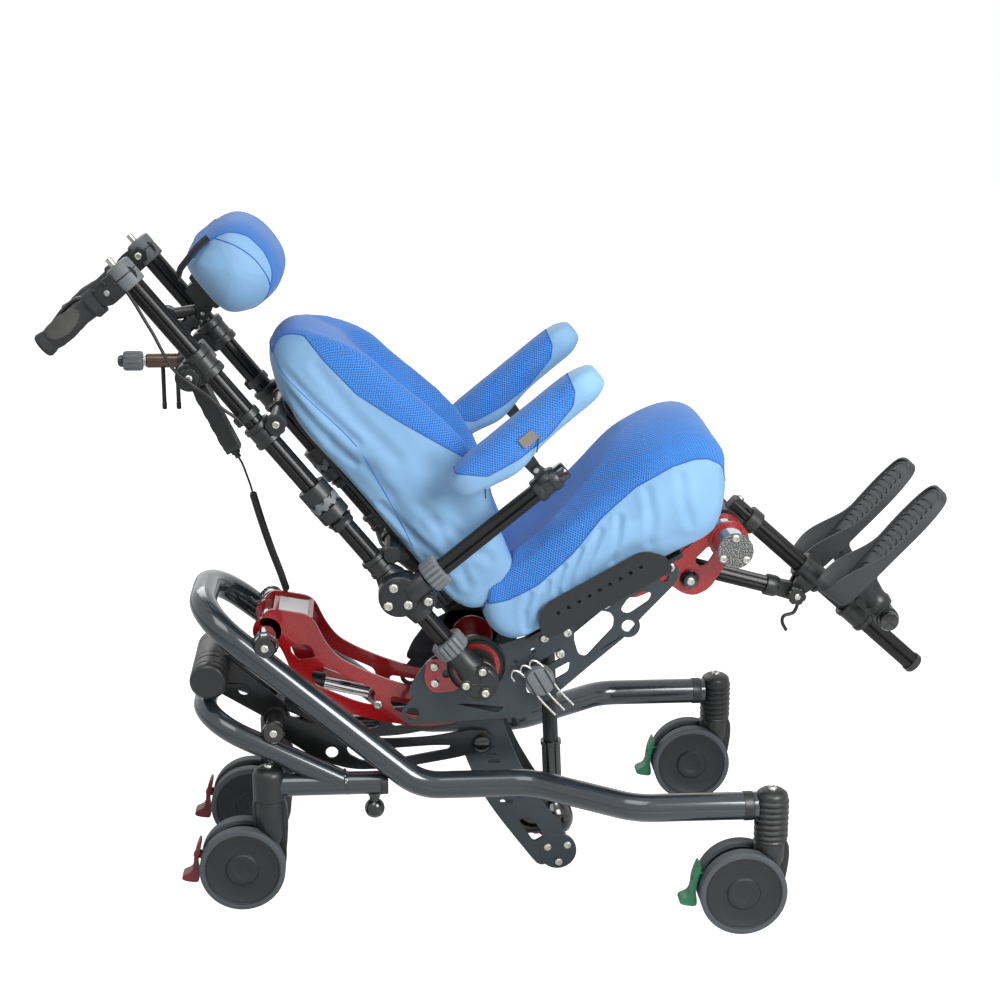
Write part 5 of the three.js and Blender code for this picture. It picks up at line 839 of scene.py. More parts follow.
def hood_parts(top):
    """The castor's hood, its neck and the bolt through the pedal."""
    outline = smooth_loop([(22, top), (22, AXLE_Z + 14), (8, AXLE_Z - 10), (-40, AXLE_Z - 17), (-60, AXLE_Z - 4), (-82, AXLE_Z + 12),
                           (-76, AXLE_Z + 27), (-44, AXLE_Z + 26), (-24, AXLE_Z + 46), (-22, top)], 5)
    neck = turned([(0, AXLE_Z + 30), (17, AXLE_Z + 32), (21, AXLE_Z + 44), (21.5, top - 5), (20, top), (0, top)], (0, 0, 0), (0, 0, 1), 36)
    return [(slab(outline, -7.4, 7.4), moulded_black), (neck, moulded_black),
            (across(4.6, -8.8, 8.8, -TRAIL, AXLE_Z, 20), bare_steel),
            (across(5.5, -8.2, 8.2, -TRAIL - 30, AXLE_Z + 15, 20), moulded_black)]


def pedal_parts(finish):
    """A curved toe pedal with three ribs."""
    outer = [(-0.99, 0.6), (-1.1, 0.3), (-1.14, 0.0), (-1.21, -0.13), (-1.37, -0.21), (-1.39, -0.31), (-1.2, -0.37)]
    inner = [(-1.02, -0.34), (-1.04, 0.05), (-0.94, 0.52)]
    outline = smooth_loop(shares(outer + inner, 62.5, 62.5, -TRAIL, AXLE_Z), 5)
    parts = [(slab(outline, -12, 12), finish)]
    for offset in (-7, 0, 7):
        parts.append((bar(1.2, (-40 - 1.13 * 62.5, offset, AXLE_Z - 4), (-40 - 1.09 * 62.5, offset, AXLE_Z + 18), 10, 0.4), finish))
    parts.append((link(-TRAIL - 30, AXLE_Z + 15, 8, -TRAIL - 66, AXLE_Z + 15, 5, -3.5, 3.5), finish))
    return parts


for where, x, y, top, pedal_finish, slot in (("front", 741.5, 234, 130.5, pedal_green, "green_plastic"),
                                             ("rear", 40, 113, 158.5, pedal_red, "dark_red_plastic")):
    for name, sign in SIDES:
        label = f"{where}_{name}"
        piece(f"castor_hood_{label}", placed(hood_parts(top), x, sign * y, 0), CHAIR, f"castor_{label}",
              (f"castor_fork_{label}",), 0.8)
        piece(f"castor_discs_{label}", placed(disc_parts(-1) + disc_parts(1), x - TRAIL, sign * y, AXLE_Z), CHAIR,
              f"wheel_{label}", (f"castor_wheel_{label}",), 0.3)
        piece(f"toe_pedal_{label}", placed(pedal_parts(pedal_finish), x, sign * y, 0), CHAIR, f"pedal_{label}",
              (f"brake_pedal_{label}",), 0.8)
print("castors made:", len([name for name in made_pieces if name.startswith("castor")]))

# %% [markdown]
# Two pairs of equal arms lift the seat and keep it level. They are laser-cut from sheet: a smooth
# outline through a few places, with slots that follow the bow. The upper pair is red and welded
# under a short cover; the lower pair is black.

# %% Lifting linkage
ARM_X, ARM_Z, REACH, DEPTH = 40.5, 389, 297.5, 150
arm_top = [(-0.03, 0.13), (0.015, 0.225), (0.215, 0.15), (0.27, -0.1), (0.33, -0.27), (0.42, -0.38), (0.55, -0.5),
           (0.72, -0.62), (0.85, -0.63), (0.9, -0.5), (0.95, -0.3)]
arm_bottom = [(1.08, -0.35), (1.1, -0.6), (1.04, -0.85), (0.9, -0.99), (0.72, -1.01), (0.53, -0.94), (0.36, -0.84),
              (0.22, -0.68), (0.12, -0.5), (0.09, -0.3), (0.05, -0.12), (-0.05, -0.1)]
arm_slots = [
    [(0.11, -0.15), (0.19, -0.14), (0.22, -0.2), (0.23, -0.28), (0.15, -0.31), (0.11, -0.22)],
    [(0.2, -0.42), (0.28, -0.36), (0.36, -0.47), (0.52, -0.62), (0.51, -0.79), (0.42, -0.74), (0.22, -0.56)],
    [(0.58, -0.68), (0.72, -0.74), (0.86, -0.76), (0.86, -0.88), (0.72, -0.9), (0.6, -0.84)],
]
outline = cornered(shares(arm_top + arm_bottom, REACH, DEPTH, ARM_X, ARM_Z), 16)
slots = [cornered(shares(table, REACH, DEPTH, ARM_X, ARM_Z), 12) for table in arm_slots]
arm_parts = []
for sign in (-1, 1):
    sheet_side = slab(outline, -47, -42, slots)
    arm_parts += [(flipped(sheet_side, sign), red_lacquer),
                  (flipped(across(21, -47, -37, ARM_X, ARM_Z), sign), red_lacquer),
                  (flipped(across(31, -47.2, -41.8, 338, 345, 40), sign), red_lacquer)]
slope = math.atan2(-DEPTH * 0.075, REACH * 0.2)
cover_turn = Matrix.Rotation(-slope, 3, "Y")
cover_start = Vector((ARM_X + REACH * 0.015 + 5, 0, ARM_Z + DEPTH * 0.225))
cover = box((0, -44.5, -10), (58, 44.5, -5), 2)
label = box((8, -34, -5), (50, 30, -4.4), 2)
for shape, finish in ((cover, red_lacquer), (label, label_white)):
    arm_parts.append((([cover_start + cover_turn @ point for point in shape[0]], shape[1]), finish))
arm_parts.append((across(6, -46, 46, 197, 273, 24), bare_steel))
for sign in (-1, 1):
    arm_parts.append((screws([(197, sign * 47, 273)], (0, sign, 0), 7, 3.5), bare_steel))
piece("lift_arm_plates", arm_parts, CHAIR, "lift_arms", ("lift_arms",), 0.6)

LOW_X, LOW_Z, LOW_DEPTH = 49, 262, 297.5 * 0.26
link_outline_shares = [
    (0.04, 0.08), (0.2, -0.16), (0.34, -0.34), (0.5, -0.46), (0.75, -0.44), (0.96, -0.3), (1.04, -0.36),
    (1.05, -0.64), (0.98, -0.76), (0.88, -0.86), (0.6, -1.04), (0.37, -1.06), (0.2, -0.84), (0.08, -0.5), (-0.04, -0.16)]
link_slot_shares = [
    [(0.34, -0.58), (0.47, -0.6), (0.5, -0.68), (0.5, -0.86), (0.42, -0.9), (0.35, -0.74)],
    [(0.56, -0.64), (0.76, -0.6), (0.85, -0.61), (0.84, -0.69), (0.7, -0.78), (0.57, -0.87)]]
for name, sign in SIDES:
    outline = cornered(shares(link_outline_shares, REACH, LOW_DEPTH, LOW_X, LOW_Z), 22)
    slots = [cornered(shares(table, REACH, LOW_DEPTH, LOW_X, LOW_Z), 9) for table in link_slot_shares]
    slots.append(circle(LOW_X + REACH * 0.27, LOW_Z - LOW_DEPTH * 0.7, 9))
    parts = [(flipped(slab(outline, -66, -61, slots), sign), satin_black),
             (flipped(across(17, -66.4, -60.8, LOW_X, LOW_Z, 40), sign), satin_black),
             (flipped(across(17, -66.4, -60.8, 346.5, 218, 40), sign), satin_black)]
    piece(f"lower_link_plate_{name}", parts, CHAIR, "lower_links", (f"lower_link_{name}",), 0.6)

lever_outline = [
    (0.07, 0), (0.1, -0.14), (0.115, -0.26), (0.155, -0.4), (0.21, -0.53), (0.3, -0.69), (0.42, -0.85),
    (0.3, -1.02), (0.21, -0.9), (0.1, -0.75), (0.03, -0.64), (-0.03, -0.5), (-0.08, -0.36), (-0.085, -0.18), (-0.07, 0)]
for name, sign in SIDES:
    outline = cornered(shares(lever_outline, 330, 330, 338, 345), 26)
    slots = []
    for a, b in ((0.05, -0.415), (0.065, -0.45), (0.08, -0.485), (0.14, -0.68)):
        x, z = 338 + a * 330, 345 + b * 330
        slots.append(cornered([(x - 10, z - 2.7), (x + 10, z - 2.7), (x + 10, z + 2.7), (x - 10, z + 2.7)], 2.6))
    slots.append(cornered(shares([(0.19, -0.77), (0.25, -0.76), (0.31, -0.85), (0.26, -0.88)], 330, 330, 338, 345), 6))
    parts = [(flipped(slab(outline, -57, -52, slots), sign), plate_grey),
             (flipped(across(28, -57.3, -51.8, 338, 345, 44), sign), plate_grey),
             (flipped(across(28, -57.3, -51.8, 460, 39, 44), sign), plate_grey),
             (flipped(across(11, -88.2, -0.2, 338, 345, 36), sign), bare_steel),
             (flipped(across(6, -73, -56.7, 346.5, 218, 24), sign), bare_steel)]
    bolt_places = [(460 + 17 * math.cos(angle), sign * 57.3, 39 + 17 * math.sin(angle)) for angle in (0.6, 2.7, 4.8)]
    parts += [(screws(bolt_places, (0, sign, 0), 6, 3.6), bare_steel),
              (turned([(0, 0), (13, 0), (13, 5), (11.4, 8), (8, 9.6), (0, 10)], (346.5, sign * 66.6, 218), (0, sign, 0), 32), gloss_black)]
    piece(f"carrier_lever_plate_{name}", parts, CHAIR, "carrier", (f"carrier_lever_{name}",), 0.6)
foot = turned([(0, -51.5), (24, -51.5), (26, -50), (26, -47.5), (9.4, -46), (9.4, 46), (26, 47.5), (26, 50), (24, 51.5), (0, 51.5)],
              (460, 0, 39), (0, 1, 0), 40)
piece("carrier_foot_tube", [(foot, red_lacquer)], CHAIR, "carrier", ("carrier_foot",))

# %% [markdown]
# Each drive is a motor, a gear box and a screw tube with a bright rod. Moulded housings have rings
# and small radii everywhere, so their lathe profiles are stepped rather than plain.

# %% Drives
lift_turn = math.atan2(273 - 330, 197 + 42)
LIFT = CHAIR @ Matrix.Translation((-42, 0, 330)) @ Matrix.Rotation(-lift_turn, 4, "Y")
motor_profile = [(0, -95), (22, -95), (25.5, -92.5), (26.9, -89), (26.9, -80), (25.4, -79), (25.4, -76), (26.9, -75), (26.9, -56),
                 (25.6, -55), (25.6, -52), (26.9, -51), (26.9, -36), (25, -34.6), (20, -34.5), (20, -29.5), (26.9, -29.5),
                 (26.9, 29.5), (20, 29.5), (20, 34.5), (25, 34.6), (26.9, 36), (26.9, 58), (24, 62), (0, 62)]
lift_parts = [(turned(motor_profile, (0, 0, 0), (0, 1, 0), 48), moulded_black),
              (box((0, -29.5, -23), (70, 29.5, 23), 7), moulded_black),
              (turned([(0, 66), (16, 66), (16, 70), (14, 71), (14, 160), (15, 161), (15, 165), (0, 165)], (0, 0, 0), (1, 0, 0), 36), satin_black),
              (turned([(0, 60), (7, 60), (7, 66), (5.4, 67), (5.4, 69), (6.2, 70), (4.2, 74), (0, 74)], (0, 0, 0), (0, 1, 0), 24), moulded_black),
              (screws([(20, -29.5, 14), (60, -29.5, 14), (20, -29.5, -14), (60, -29.5, -14)], (0, -1, 0), 3.4, 2), bare_steel)]
piece("lift_drive", lift_parts, LIFT, "lift_motor", ("lift_motor",), 0.8)
rod_end = math.hypot(239, 57)
eye = slab(circle(rod_end, 0, 14.8, 36), -8.8, 8.8, [circle(rod_end, 0, 10.4)])
piece("lift_drive_rod", [(bar(9, (118, 0, 0), (rod_end - 12, 0, 0), 36), polished), (eye, bare_steel)], LIFT, "lift_rod",
      ("lift_rod",))

tilt_turn = math.atan2(447 - 460, 345 - 39)
TILT = CHAIR @ Matrix.Translation((460, 0, 39)) @ Matrix.Rotation(tilt_turn, 4, "Y")
knob = [(0, 5), (16, 6), (25, 13), (29, 23), (29.6, 32), (27, 43), (21, 52), (15.4, 57), (14, 60), (14, 148), (15.4, 149), (15.4, 155), (0, 155)]
tilt_parts = [(shifted(turned(knob, (0, 0, 0), (0, 0, 1), 44), 0, 0, 0), gloss_black),
              (turned([(0, -57), (16, -57), (20.5, -53), (22, -46), (22, -8), (20, 0), (0, 0)], (0, 0, 30), (1, 0, 0), 40), gloss_black),
              (slab(circle(0, 0, 17.6, 40), -12, 12, [circle(0, 0, 9.6)]), moulded_black),
              (slab(cornered([(-16, 4), (16, 4), (16, 34), (-16, 34)], 6), -11.5, 11.5), moulded_black)]
piece("tilt_drive", tilt_parts, TILT, "tilt_motor", ("tilt_motor",), 0.6)
tilt_end = math.hypot(13, 306)
eye = slab(circle(0, tilt_end, 13.8, 36), -11, 11, [circle(0, tilt_end, 9.4)])
piece("tilt_drive_rod", [(bar(11.3, (0, 0, 126), (0, 0, tilt_end - 11), 36), satin_black), (eye, satin_black)], TILT, "tilt_rod",
      ("tilt_rod",))
print("linkage and drives are in place")

# %% [markdown]
# The seat hangs between two laser-cut side plates. Their look is all in the windows: two long
# struts meet in a ring, and small slots lighten the rear. A black hub with a red ring inside it
# carries the back's lower joint, and a low guard with a row of holes keeps the cushion in.

# %% Seat side plates and guards
PLATE_LENGTH, PLATE_DEPTH = 320, 130
EYE = (-115.5, -20)
plate_shares = [(-0.34, 0.065), (-0.27, 0.2), (-0.17, 0.31), (-0.03, 0.3), (0.13, 0.06), (0.3, -0.03), (0.98, -0.03),
                (1, -0.21), (0.95, -0.3), (0.74, -0.46), (0.64, -0.56), (0.42, -0.665), (0.26, -0.75), (0.06, -0.83)]
window_shares = [
    [(0.47, -0.16), (0.6, -0.15), (0.637, -0.23), (0.637, -0.315), (0.612, -0.4), (0.525, -0.47), (0.44, -0.545), (0.418, -0.48), (0.435, -0.3)],
    [(0.685, -0.25), (0.735, -0.185), (0.815, -0.195), (0.84, -0.265), (0.815, -0.325), (0.707, -0.35), (0.685, -0.31)],
    [(0.17, -0.33), (0.35, -0.33), (0.37, -0.42), (0.16, -0.42)],
    [(0.14, -0.5), (0.37, -0.5), (0.34, -0.6), (0.13, -0.61)],
    [(-0.17, -0.3), (-0.13, -0.35), (0.01, -0.6), (-0.03, -0.62)]]
eye_arc = [Vector((EYE[0] + 16 * math.cos(math.radians(angle)), EYE[1] + 16 * math.sin(math.radians(angle))))
           for angle in (250, 225, 200, 175, 150, 125)]
hub_profile = [(0, -13), (34, -13), (34.4, -11.4), (38.4, -11.4), (40.5, -12.6), (42, -11), (42, 0), (0, 0)]
plate_screws = [(103.4, -15.5), (135.9, -24.9), (112, -48), (203.7, -15.7), (310, -13.5)]
for name, sign in SIDES:
    outline = eye_arc + cornered(shares(plate_shares, PLATE_LENGTH, PLATE_DEPTH), 9)
    holes = [cornered(shares(table, PLATE_LENGTH, PLATE_DEPTH), 5) for table in window_shares]
    holes += [circle(*EYE, 9.5), circle(216, -61, 9.5), circle(294.4, -22.1, 7.4), circle(80.6, -24, 3.6), circle(51, -26, 3)]
    lug = slab(cornered([(-58, 42), (-38, 34), (-24, 18), (-30, -14), (-46, -20), (-76, -4), (-76, 18)], 9), -86.5, -82.4,
               [circle(-43, 10, 6.5)])
    shapes = [
        (slab(outline, -82, -78, holes), plate_grey),
        (slab(circle(216, -61, 17, 36), -82.6, -77.4, [circle(216, -61, 9.5)]), plate_grey),
        (turned(hub_profile, (0, -78, 0), (0, 1, 0), 56), moulded_black),
        (turned([(27, -13.2), (33.4, -13.2), (33.4, -12), (27, -12)], (0, -78, 0), (0, 1, 0), 56), red_lacquer),
        (across(8, -140, -91.3, -1.8, -9.3, 28), bare_steel),
        (lug, red_lacquer),
        (screws([(x, -82, z) for x, z in plate_screws], (0, -1, 0), 7.2, 4.4), bare_steel),
        (screws([(-53, -86.5, 28), (-65, -86.5, 6)], (0, -1, 0), 6.6, 4), bare_steel)]
    piece(f"seat_side_plate_{name}", [(flipped(shape, sign), finish) for shape, finish in shapes], SEAT, "seat",
          (f"seat_plate_{name}",), 0.5)
    corners = [(109, -3.6), (109, 22.8), (129.4, 44.4), (288.5, 44.4), (313, 20.4), (313, -3.6)]
    wall = slab(cornered(corners, 17, 8), -132, -129, [circle(143 + 16.5 * index, 24, 2.8, 16) for index in range(9)])
    shapes = [(wall, satin_black), (box((113, -130, -3.6), (309, -78, -0.6), 1), satin_black),
              (across(2.2, -131.6, -127, 111.5, 8, 12), satin_black)]
    piece(f"side_guard_{name}", [(flipped(shape, sign), finish) for shape, finish in shapes], SEAT, "seat",
          (f"seat_guard_{name}",), 0.8)

# %% [markdown]
# In front, two red brackets hold a polished cross tube: the knee, round which the legrest turns.
# Its ends are closed by discs with a rough speckled coating and three screws each.

# %% Knee, pan and plug box
KNEE = (400.5, -23)
bracket_shares = [(0.56, 0.3), (0.83, 0.3), (0.94, 0.68), (1.02, 0.68), (0.98, -1.5), (0.92, -1.9), (0.86, -2.5), (0.8, -2.45),
                  (0.765, -1.95), (0.74, -1.0), (0.6, -0.75)]
bracket_window = [(0.86, -1.08), (0.93, -0.75), (0.945, -1.2), (0.89, -1.7), (0.862, -1.6)]
outline = cornered(shares(bracket_shares, KNEE[0], 24, 0, -12), 12)
windows = [cornered(shares(bracket_window, KNEE[0], 24, 0, 3), 9), circle(262, -16, 6.5), circle(284, -12, 7.5)]
hanger_parts = [(across(24, -128.4, 128.4, *KNEE, 48), polished), (across(6, -77, 77, 325, -44, 24), bare_steel)]
disc_profile = [(0, 0), (25.5, 0), (25.5, 3), (24.4, 4.2), (0, 4.2)]
disc_screws = [(409.3, -6.2), (380.5, -23.5), (408.1, -41.2)]
for name, sign in SIDES:
    shapes = [
        (slab(outline, -77.7, -73.7, windows), red_lacquer),
        (slab(circle(*KNEE, 28.5, 40), -80, -73, [circle(*KNEE, 24.2, 40)]), red_lacquer),
        (slab(circle(*KNEE, 27.4, 40), -34, -28, [circle(*KNEE, 24.2, 40)]), red_lacquer),
        (turned(disc_profile, (KNEE[0], -128, KNEE[1]), (0, -1, 0), 48), speckled),
        (screws([(x, -132, z) for x, z in disc_screws], (0, -1, 0), 6, 3.4), bare_steel),
        (turned([(0, 0), (13.5, 0), (13.5, 4), (12, 9), (9, 12), (0, 12)], (325, -77.7, -44), (0, -1, 0), 36), gloss_black),
        (screw((325, -89.5, -44), (0, -1, 0), 6.4, 3.6), bare_steel)]
    hanger_parts += [(flipped(shape, sign), finish) for shape, finish in shapes]
piece("knee_tube_and_brackets", hanger_parts, SEAT, "seat", ("leg_hanger",), 0.5)

ear = link(95.15, -53.2, 12, 95.15, -12.3, 18, -16.5, -12.5)
pan_parts = [(box((82, -110, -0.3), (334, 110, 5.7), 3), moulded_black), (ear, satin_black), (flipped(ear, 1), satin_black),
             (across(5, -20, 20, 95.15, -53.2, 20), bare_steel), (across(7, -77.7, 77.7, 97, -2.8, 24), satin_black),
             (across(7, -73.4, 73.4, 283.6, -2.8, 24), satin_black)]
pan_parts += [(box((110 + 42 * index, -104, -2.6), (118 + 42 * index, 104, -0.4), 1), moulded_black) for index in range(5)]
piece("seat_pan_board", pan_parts, SEAT, "seat", ("seat_pan",), 0.8)

plug_profile = [(0, -82.4), (20, -82.4), (21.5, -84), (21.5, -100), (20.4, -102.6), (17, -104), (0, -104.2)]
plug_parts = [(turned([(radius, 0 - along) for radius, along in plug_profile], (68, 0, -64), (0, -1, 0), 48), clamp_grey)]
for index in range(-1, 2):
    x = 68 + index * 15
    plug_parts.append((box((x - 0.9, -105, -82 + 3 * abs(index)), (x + 0.9, -103.4, -46 - 3 * abs(index)), 0.6), moulded_black))
    hook = smooth_line([(x - 17, -92, -48), (x - 17, -92, -38), (x - 11, -92, -33), (x - 5, -92, -38), (x, -93, -52)], 7)
    tail = smooth_line([(x, -93, -76), (x + 3, -95, -96), (x + 9, -96, -121)], 8)
    plug_parts += [(tube(hook, 1.7, 12), bare_steel), (tube(tail, 1.7, 12), bare_steel)]
piece("plug_box_with_hooks", plug_parts, SEAT, "seat", ("plug_box",), 0.4)

# %% [markdown]
# The legrest is one grooved tube that leaves the knee, with a strut, a clamp and a carriage for
# the foot plates. The grooves are modelled in the section, so the light catches them as it should.

# %% Legrest
STRUT_START, CLAMP = (-4.45, -78.2), (151, 0)
column_parts = [
    (tube([(-12, 0, 37), (371, 0, 37)], 13.75, 84, 6, 2.2), tube_black),
    (turned([(0, 0), (15.4, 0), (15.4, 8), (13, 11), (0, 11)], (361, 0, 37), (1, 0, 0), 36), moulded_black),
    (slab(circle(0, 0, 31, 44), -22, 22, [circle(0, 0, 24.3, 44)]), moulded_black),
    (slab(cornered([(-14, 22), (30, 24), (30, 44), (-14, 50)], 7), -12, 12), moulded_black),
    (turned([(14, 0), (18.5, 0), (18.5, 18), (16.5, 20), (14, 20)], (20, 0, 37), (1, 0, 0), 36), moulded_black),
    (screw((-6, 0, 50), (0, 0, 1), 6, 4), bare_steel)]
piece("leg_tube", column_parts, LEG, "leg_column", ("leg_column",), 0.6)

strut_way = Vector((CLAMP[0] - STRUT_START[0], 0, CLAMP[1] - STRUT_START[1])).normalized()
strut_foot, strut_end = Vector((STRUT_START[0], 0, STRUT_START[1])), Vector((CLAMP[0], 0, CLAMP[1]))
strut_parts = [
    (tube([strut_foot, strut_end - strut_way * 30], 12.5, 72, 6, 2), tube_black),
    (turned([(0, 0), (15.6, 0), (16, 2), (16, 15), (14, 19), (0, 19)], strut_end - strut_way * 44, strut_way, 36), moulded_black),
    (link(*CLAMP, 13, CLAMP[0] - strut_way.x * 22, CLAMP[1] - strut_way.z * 22, 12, -7.4, 7.4, [circle(*CLAMP, 8.6)]), moulded_black),
    (across(14.4, -12.5, 12.5, *STRUT_START, 32), moulded_black)]
piece("leg_strut_tube", strut_parts, LEG, "leg_strut", ("leg_strut",), 0.6)


def sleeve(inner, outer, half, x, z):
    """A round sleeve along X with a lip at each end."""
    profile = [(inner, -half), (outer - 1.5, -half), (outer, -half + 1.5), (outer, -half + 7), (outer - 1.4, -half + 8.5),
               (outer - 1.4, half - 8.5), (outer, half - 7), (outer, half - 1.5), (outer - 1.5, half), (inner, half), (inner, -half)]
    return turned(profile, (x, 0, z), (1, 0, 0), 44)


star = fluted_nut(13.5, 9, 6, (151, -26.5, 0), (0, -1, 0))
clamp_parts = [(sleeve(14.1, 20, 23, 151, 37), moulded_black), (across(4, -31.6, 14, *CLAMP, 20), bare_steel), (star, moulded_black),
               (screw((151, -30.8, 0), (0, -1, 0), 5, 2.4), bare_steel)]
for sign in (-1, 1):
    clamp_parts.append((flipped(link(151, 0, 8.8, 151, 23.3, 15, -14, -8), sign), moulded_black))
piece("strut_clamp_sleeve", clamp_parts, LEG, "strut_clamp", ("strut_clamp",), 0.8)

lever_line = smooth_line([(151, -17.8, 0), (162, -17.8, -7), (168, -17.8, -22), (161, -17.8, -35), (166, -17.8, -44), (179, -17.8, -49)], 8)
lever_section = [(2.6 * math.cos(math.pi * index / 6), 3.4 * math.sin(math.pi * index / 6)) for index in range(12)]
piece("hooked_lever", [(swept(lever_line, lever_section, (0, 1, 0)), moulded_black),
                       (slab(circle(151, 0, 9.4), -21.2, -14.4, [circle(151, 0, 4.4)]), moulded_black)],
      LEG, "clamp_lever", ("clamp_lever",), 0.4)

carriage_parts = [(sleeve(14.1, 20, 22, 244, 37), moulded_black), (across(10, -118, 118, 244, 68, 32), satin_black),
                  (slab(cornered([(226, 46), (262, 46), (258, 78), (230, 78)], 8), -15, 15), moulded_black)]
cap_profile = [(0, 0), (13.6, 0), (14.4, 1), (14.4, 8), (12.5, 11), (0, 12)]
for sign in (-1, 1):
    carriage_parts.append((flipped(turned(cap_profile, (244, -108.2, 68), (0, -1, 0), 36), sign), gloss_black))
    for turn in (0, math.pi / 2):
        rib = [(11.5 * math.cos(turn), 11.5 * math.sin(turn)), (-11.5 * math.cos(turn), -11.5 * math.sin(turn))]
        line = [(244 + x, -119.4, 68 + z) for x, z in rib]
        carriage_parts.append((flipped(bar(1.3, line[0], line[1], 10, 0.4), sign), moulded_black))
piece("foot_carriage_bar", carriage_parts, LEG, "foot_carriage", ("foot_carriage",), 0.8)

# %% [markdown]
# A foot plate is a moulded sandal: a waisted sole with cross ribs, and a wall that is high round the
# heel and dies away towards the toe. The wall is a strip swept round the sole's own outline, with
# its height given by how far along the sole each place is.

# %% Foot plates
FOOT_LENGTH, FOOT_WIDTH, FOOT_START = 216, 84, 37
sole_shares = [(-0.32, 0.04), (-0.42, 0.2), (-0.46, 0.45), (-0.5, 0.75), (-0.4, 0.94), (-0.15, 1), (0.2, 1), (0.42, 0.92),
               (0.5, 0.7), (0.44, 0.4), (0.4, 0.2), (0.3, 0.04), (0.1, 0), (-0.12, 0)]


def sole_loop(inset):
    """The sole's outline, drawn in by a length."""
    loop = smooth_loop([(across_ * FOOT_WIDTH, FOOT_START + along_ * FOOT_LENGTH) for across_, along_ in sole_shares], 6)
    count = len(loop)
    drawn = []
    for index, place in enumerate(loop):
        ahead = (loop[(index + 1) % count] - loop[index - 1]).normalized()
        drawn.append(place + Vector((ahead.y, -ahead.x)) * inset)
    return drawn


def wall_height(place):
    """How high the wall stands at a place on the outline."""
    along_ = (place.y - FOOT_START) / FOOT_LENGTH
    fall = max(0.0, min(1.0, (0.52 - along_) / 0.42))
    return 3.2 + 25 * fall * fall * (3 - 2 * fall)


def rim(outer, inner, foot_x):
    """The wall as a closed ring between two outlines."""
    points, faces = [], []
    count = len(outer)
    for out, into in zip(outer, inner):
        top = foot_x - wall_height(out)
        lean_ = (wall_height(out) - 3) * 0.16
        away = (out - into).normalized() * lean_
        points += [Vector((foot_x + 4, out.x, out.y)), Vector((top, out.x + away.x, out.y + away.y)),
                   Vector((top, into.x + away.x, into.y + away.y)), Vector((foot_x + 4, into.x, into.y))]
    for index in range(count):
        here, there = index * 4, ((index + 1) % count) * 4
        for side_ in range(4):
            faces.append((here + side_, there + side_, there + (side_ + 1) % 4, here + (side_ + 1) % 4))
    return points, faces


orientation = sum(a.x * b.y - b.x * a.y for a, b in zip(sole_loop(0), sole_loop(0)[1:] + sole_loop(0)[:1]))
inward = -1 if orientation > 0 else 1
outer_loop, inner_loop, border_loop = sole_loop(0), sole_loop(inward * 3.4), sole_loop(inward * 8)
sole = slab(outer_loop, 173, 182, (), "X")
border = slab(border_loop, 172, 173.2, [sole_loop(inward * 9.6)], "X")
foot_shapes = [(sole, foot_rubber), (rim(outer_loop, inner_loop, 173), foot_rubber), (border, foot_rubber)]
for index in range(11):
    z = FOOT_START + FOOT_LENGTH * (0.42 + index * 0.047)
    spread = 28 - 0.9 * abs(index - 6)
    bow = [(172.4, -spread, z - 3), (171.9, -spread / 2, z + 0.5), (171.9, spread / 2, z + 0.5), (172.4, spread, z - 3)]
    foot_shapes.append((tube(smooth_line(bow, 4), 1.5, 8), foot_rubber))
for scale in (1, 0.72):
    oval = [(172.4, 21 * scale * math.cos(math.pi * step / 12), FOOT_START + 46 + 27 * scale * math.sin(math.pi * step / 12))
            for step in range(25)]
    foot_shapes.append((tube(oval, 1.2, 8), foot_rubber))
for index in range(5):
    z = FOOT_START + 32 + index * 7
    wave = [(172.6, -11 + 3.6 * step, z + 2.6 * math.sin(step * 1.9 + index)) for step in range(7)]
    foot_shapes.append((tube(smooth_line(wave, 4), 1.0, 8), foot_rubber))
for sign in (-1, 1):
    for index in range(4):
        foot_shapes.append((bar(2.2, (171.4, sign * 31, FOOT_START + 108 + index * 24), (173.2, sign * 31, FOOT_START + 108 + index * 24),
                                12, 0.5), moulded_black))
collar_profile = [(10.4, -22.3), (15.6, -22.3), (17, -20.6), (17, -9), (15.4, -7.6), (15.4, 7.6), (17, 9), (17, 20.6), (15.6, 22.3),
                  (10.4, 22.3), (10.4, -22.3)]
stalk = [(0, 0), (16, 0), (19.5, 3), (19.5, 13), (17, 16), (15.5, 24), (15.5, 42), (18, 46), (18, 56), (0, 58)]
stalk_way = Vector((177.5 - 244, 0, 91 - 68)).normalized()
for name, sign in SIDES:
    parts = [(flipped(shifted(shape, 0, -85, 0), sign), finish) for shape, finish in foot_shapes]
    hub = turned(collar_profile, (244, sign * 85, 68), (0, 1, 0), 40)
    stem = turned([(radius, along_) for radius, along_ in stalk], Vector((244, sign * 85, 68)) + stalk_way * 12, stalk_way, 36)
    parts += [(hub, moulded_black), (stem, moulded_black)]
    piece(f"foot_rest_{name}", parts, LEG, f"foot_plate_{name}", (f"foot_plate_{name}",), 0)
print("legrest pieces:", len([name for name in made_pieces if "leg" in name or "foot" in name]))

# %% [markdown]
# The back is two grooved posts strung with moulded fittings. Each fitting is a lathe profile with
# its own lips, and each hinge is a flat round hub with bare screws round it, as on the real chair.

# %% Back posts
POST_Y, ARM_Z_HUB = -121, 171


def fitting(radius, half, z, lips=True):
    """A moulded ring round the post with a rounded lip at each end."""
    if not lips:
        return turned([(13, -half), (radius - 1, -half), (radius, -half + 1), (radius, half - 1), (radius - 1, half), (13, half)],
                      (0, POST_Y, z), (0, 0, 1), 44)
    profile = [(13, -half), (radius - 1.8, -half), (radius, -half + 1.6), (radius, -half * 0.5), (radius - 1.8, -half * 0.38),
               (radius - 1.8, half * 0.38), (radius, half * 0.5), (radius, half - 1.6), (radius - 1.8, half), (13, half)]
    return turned(profile, (0, POST_Y, z), (0, 0, 1), 44)


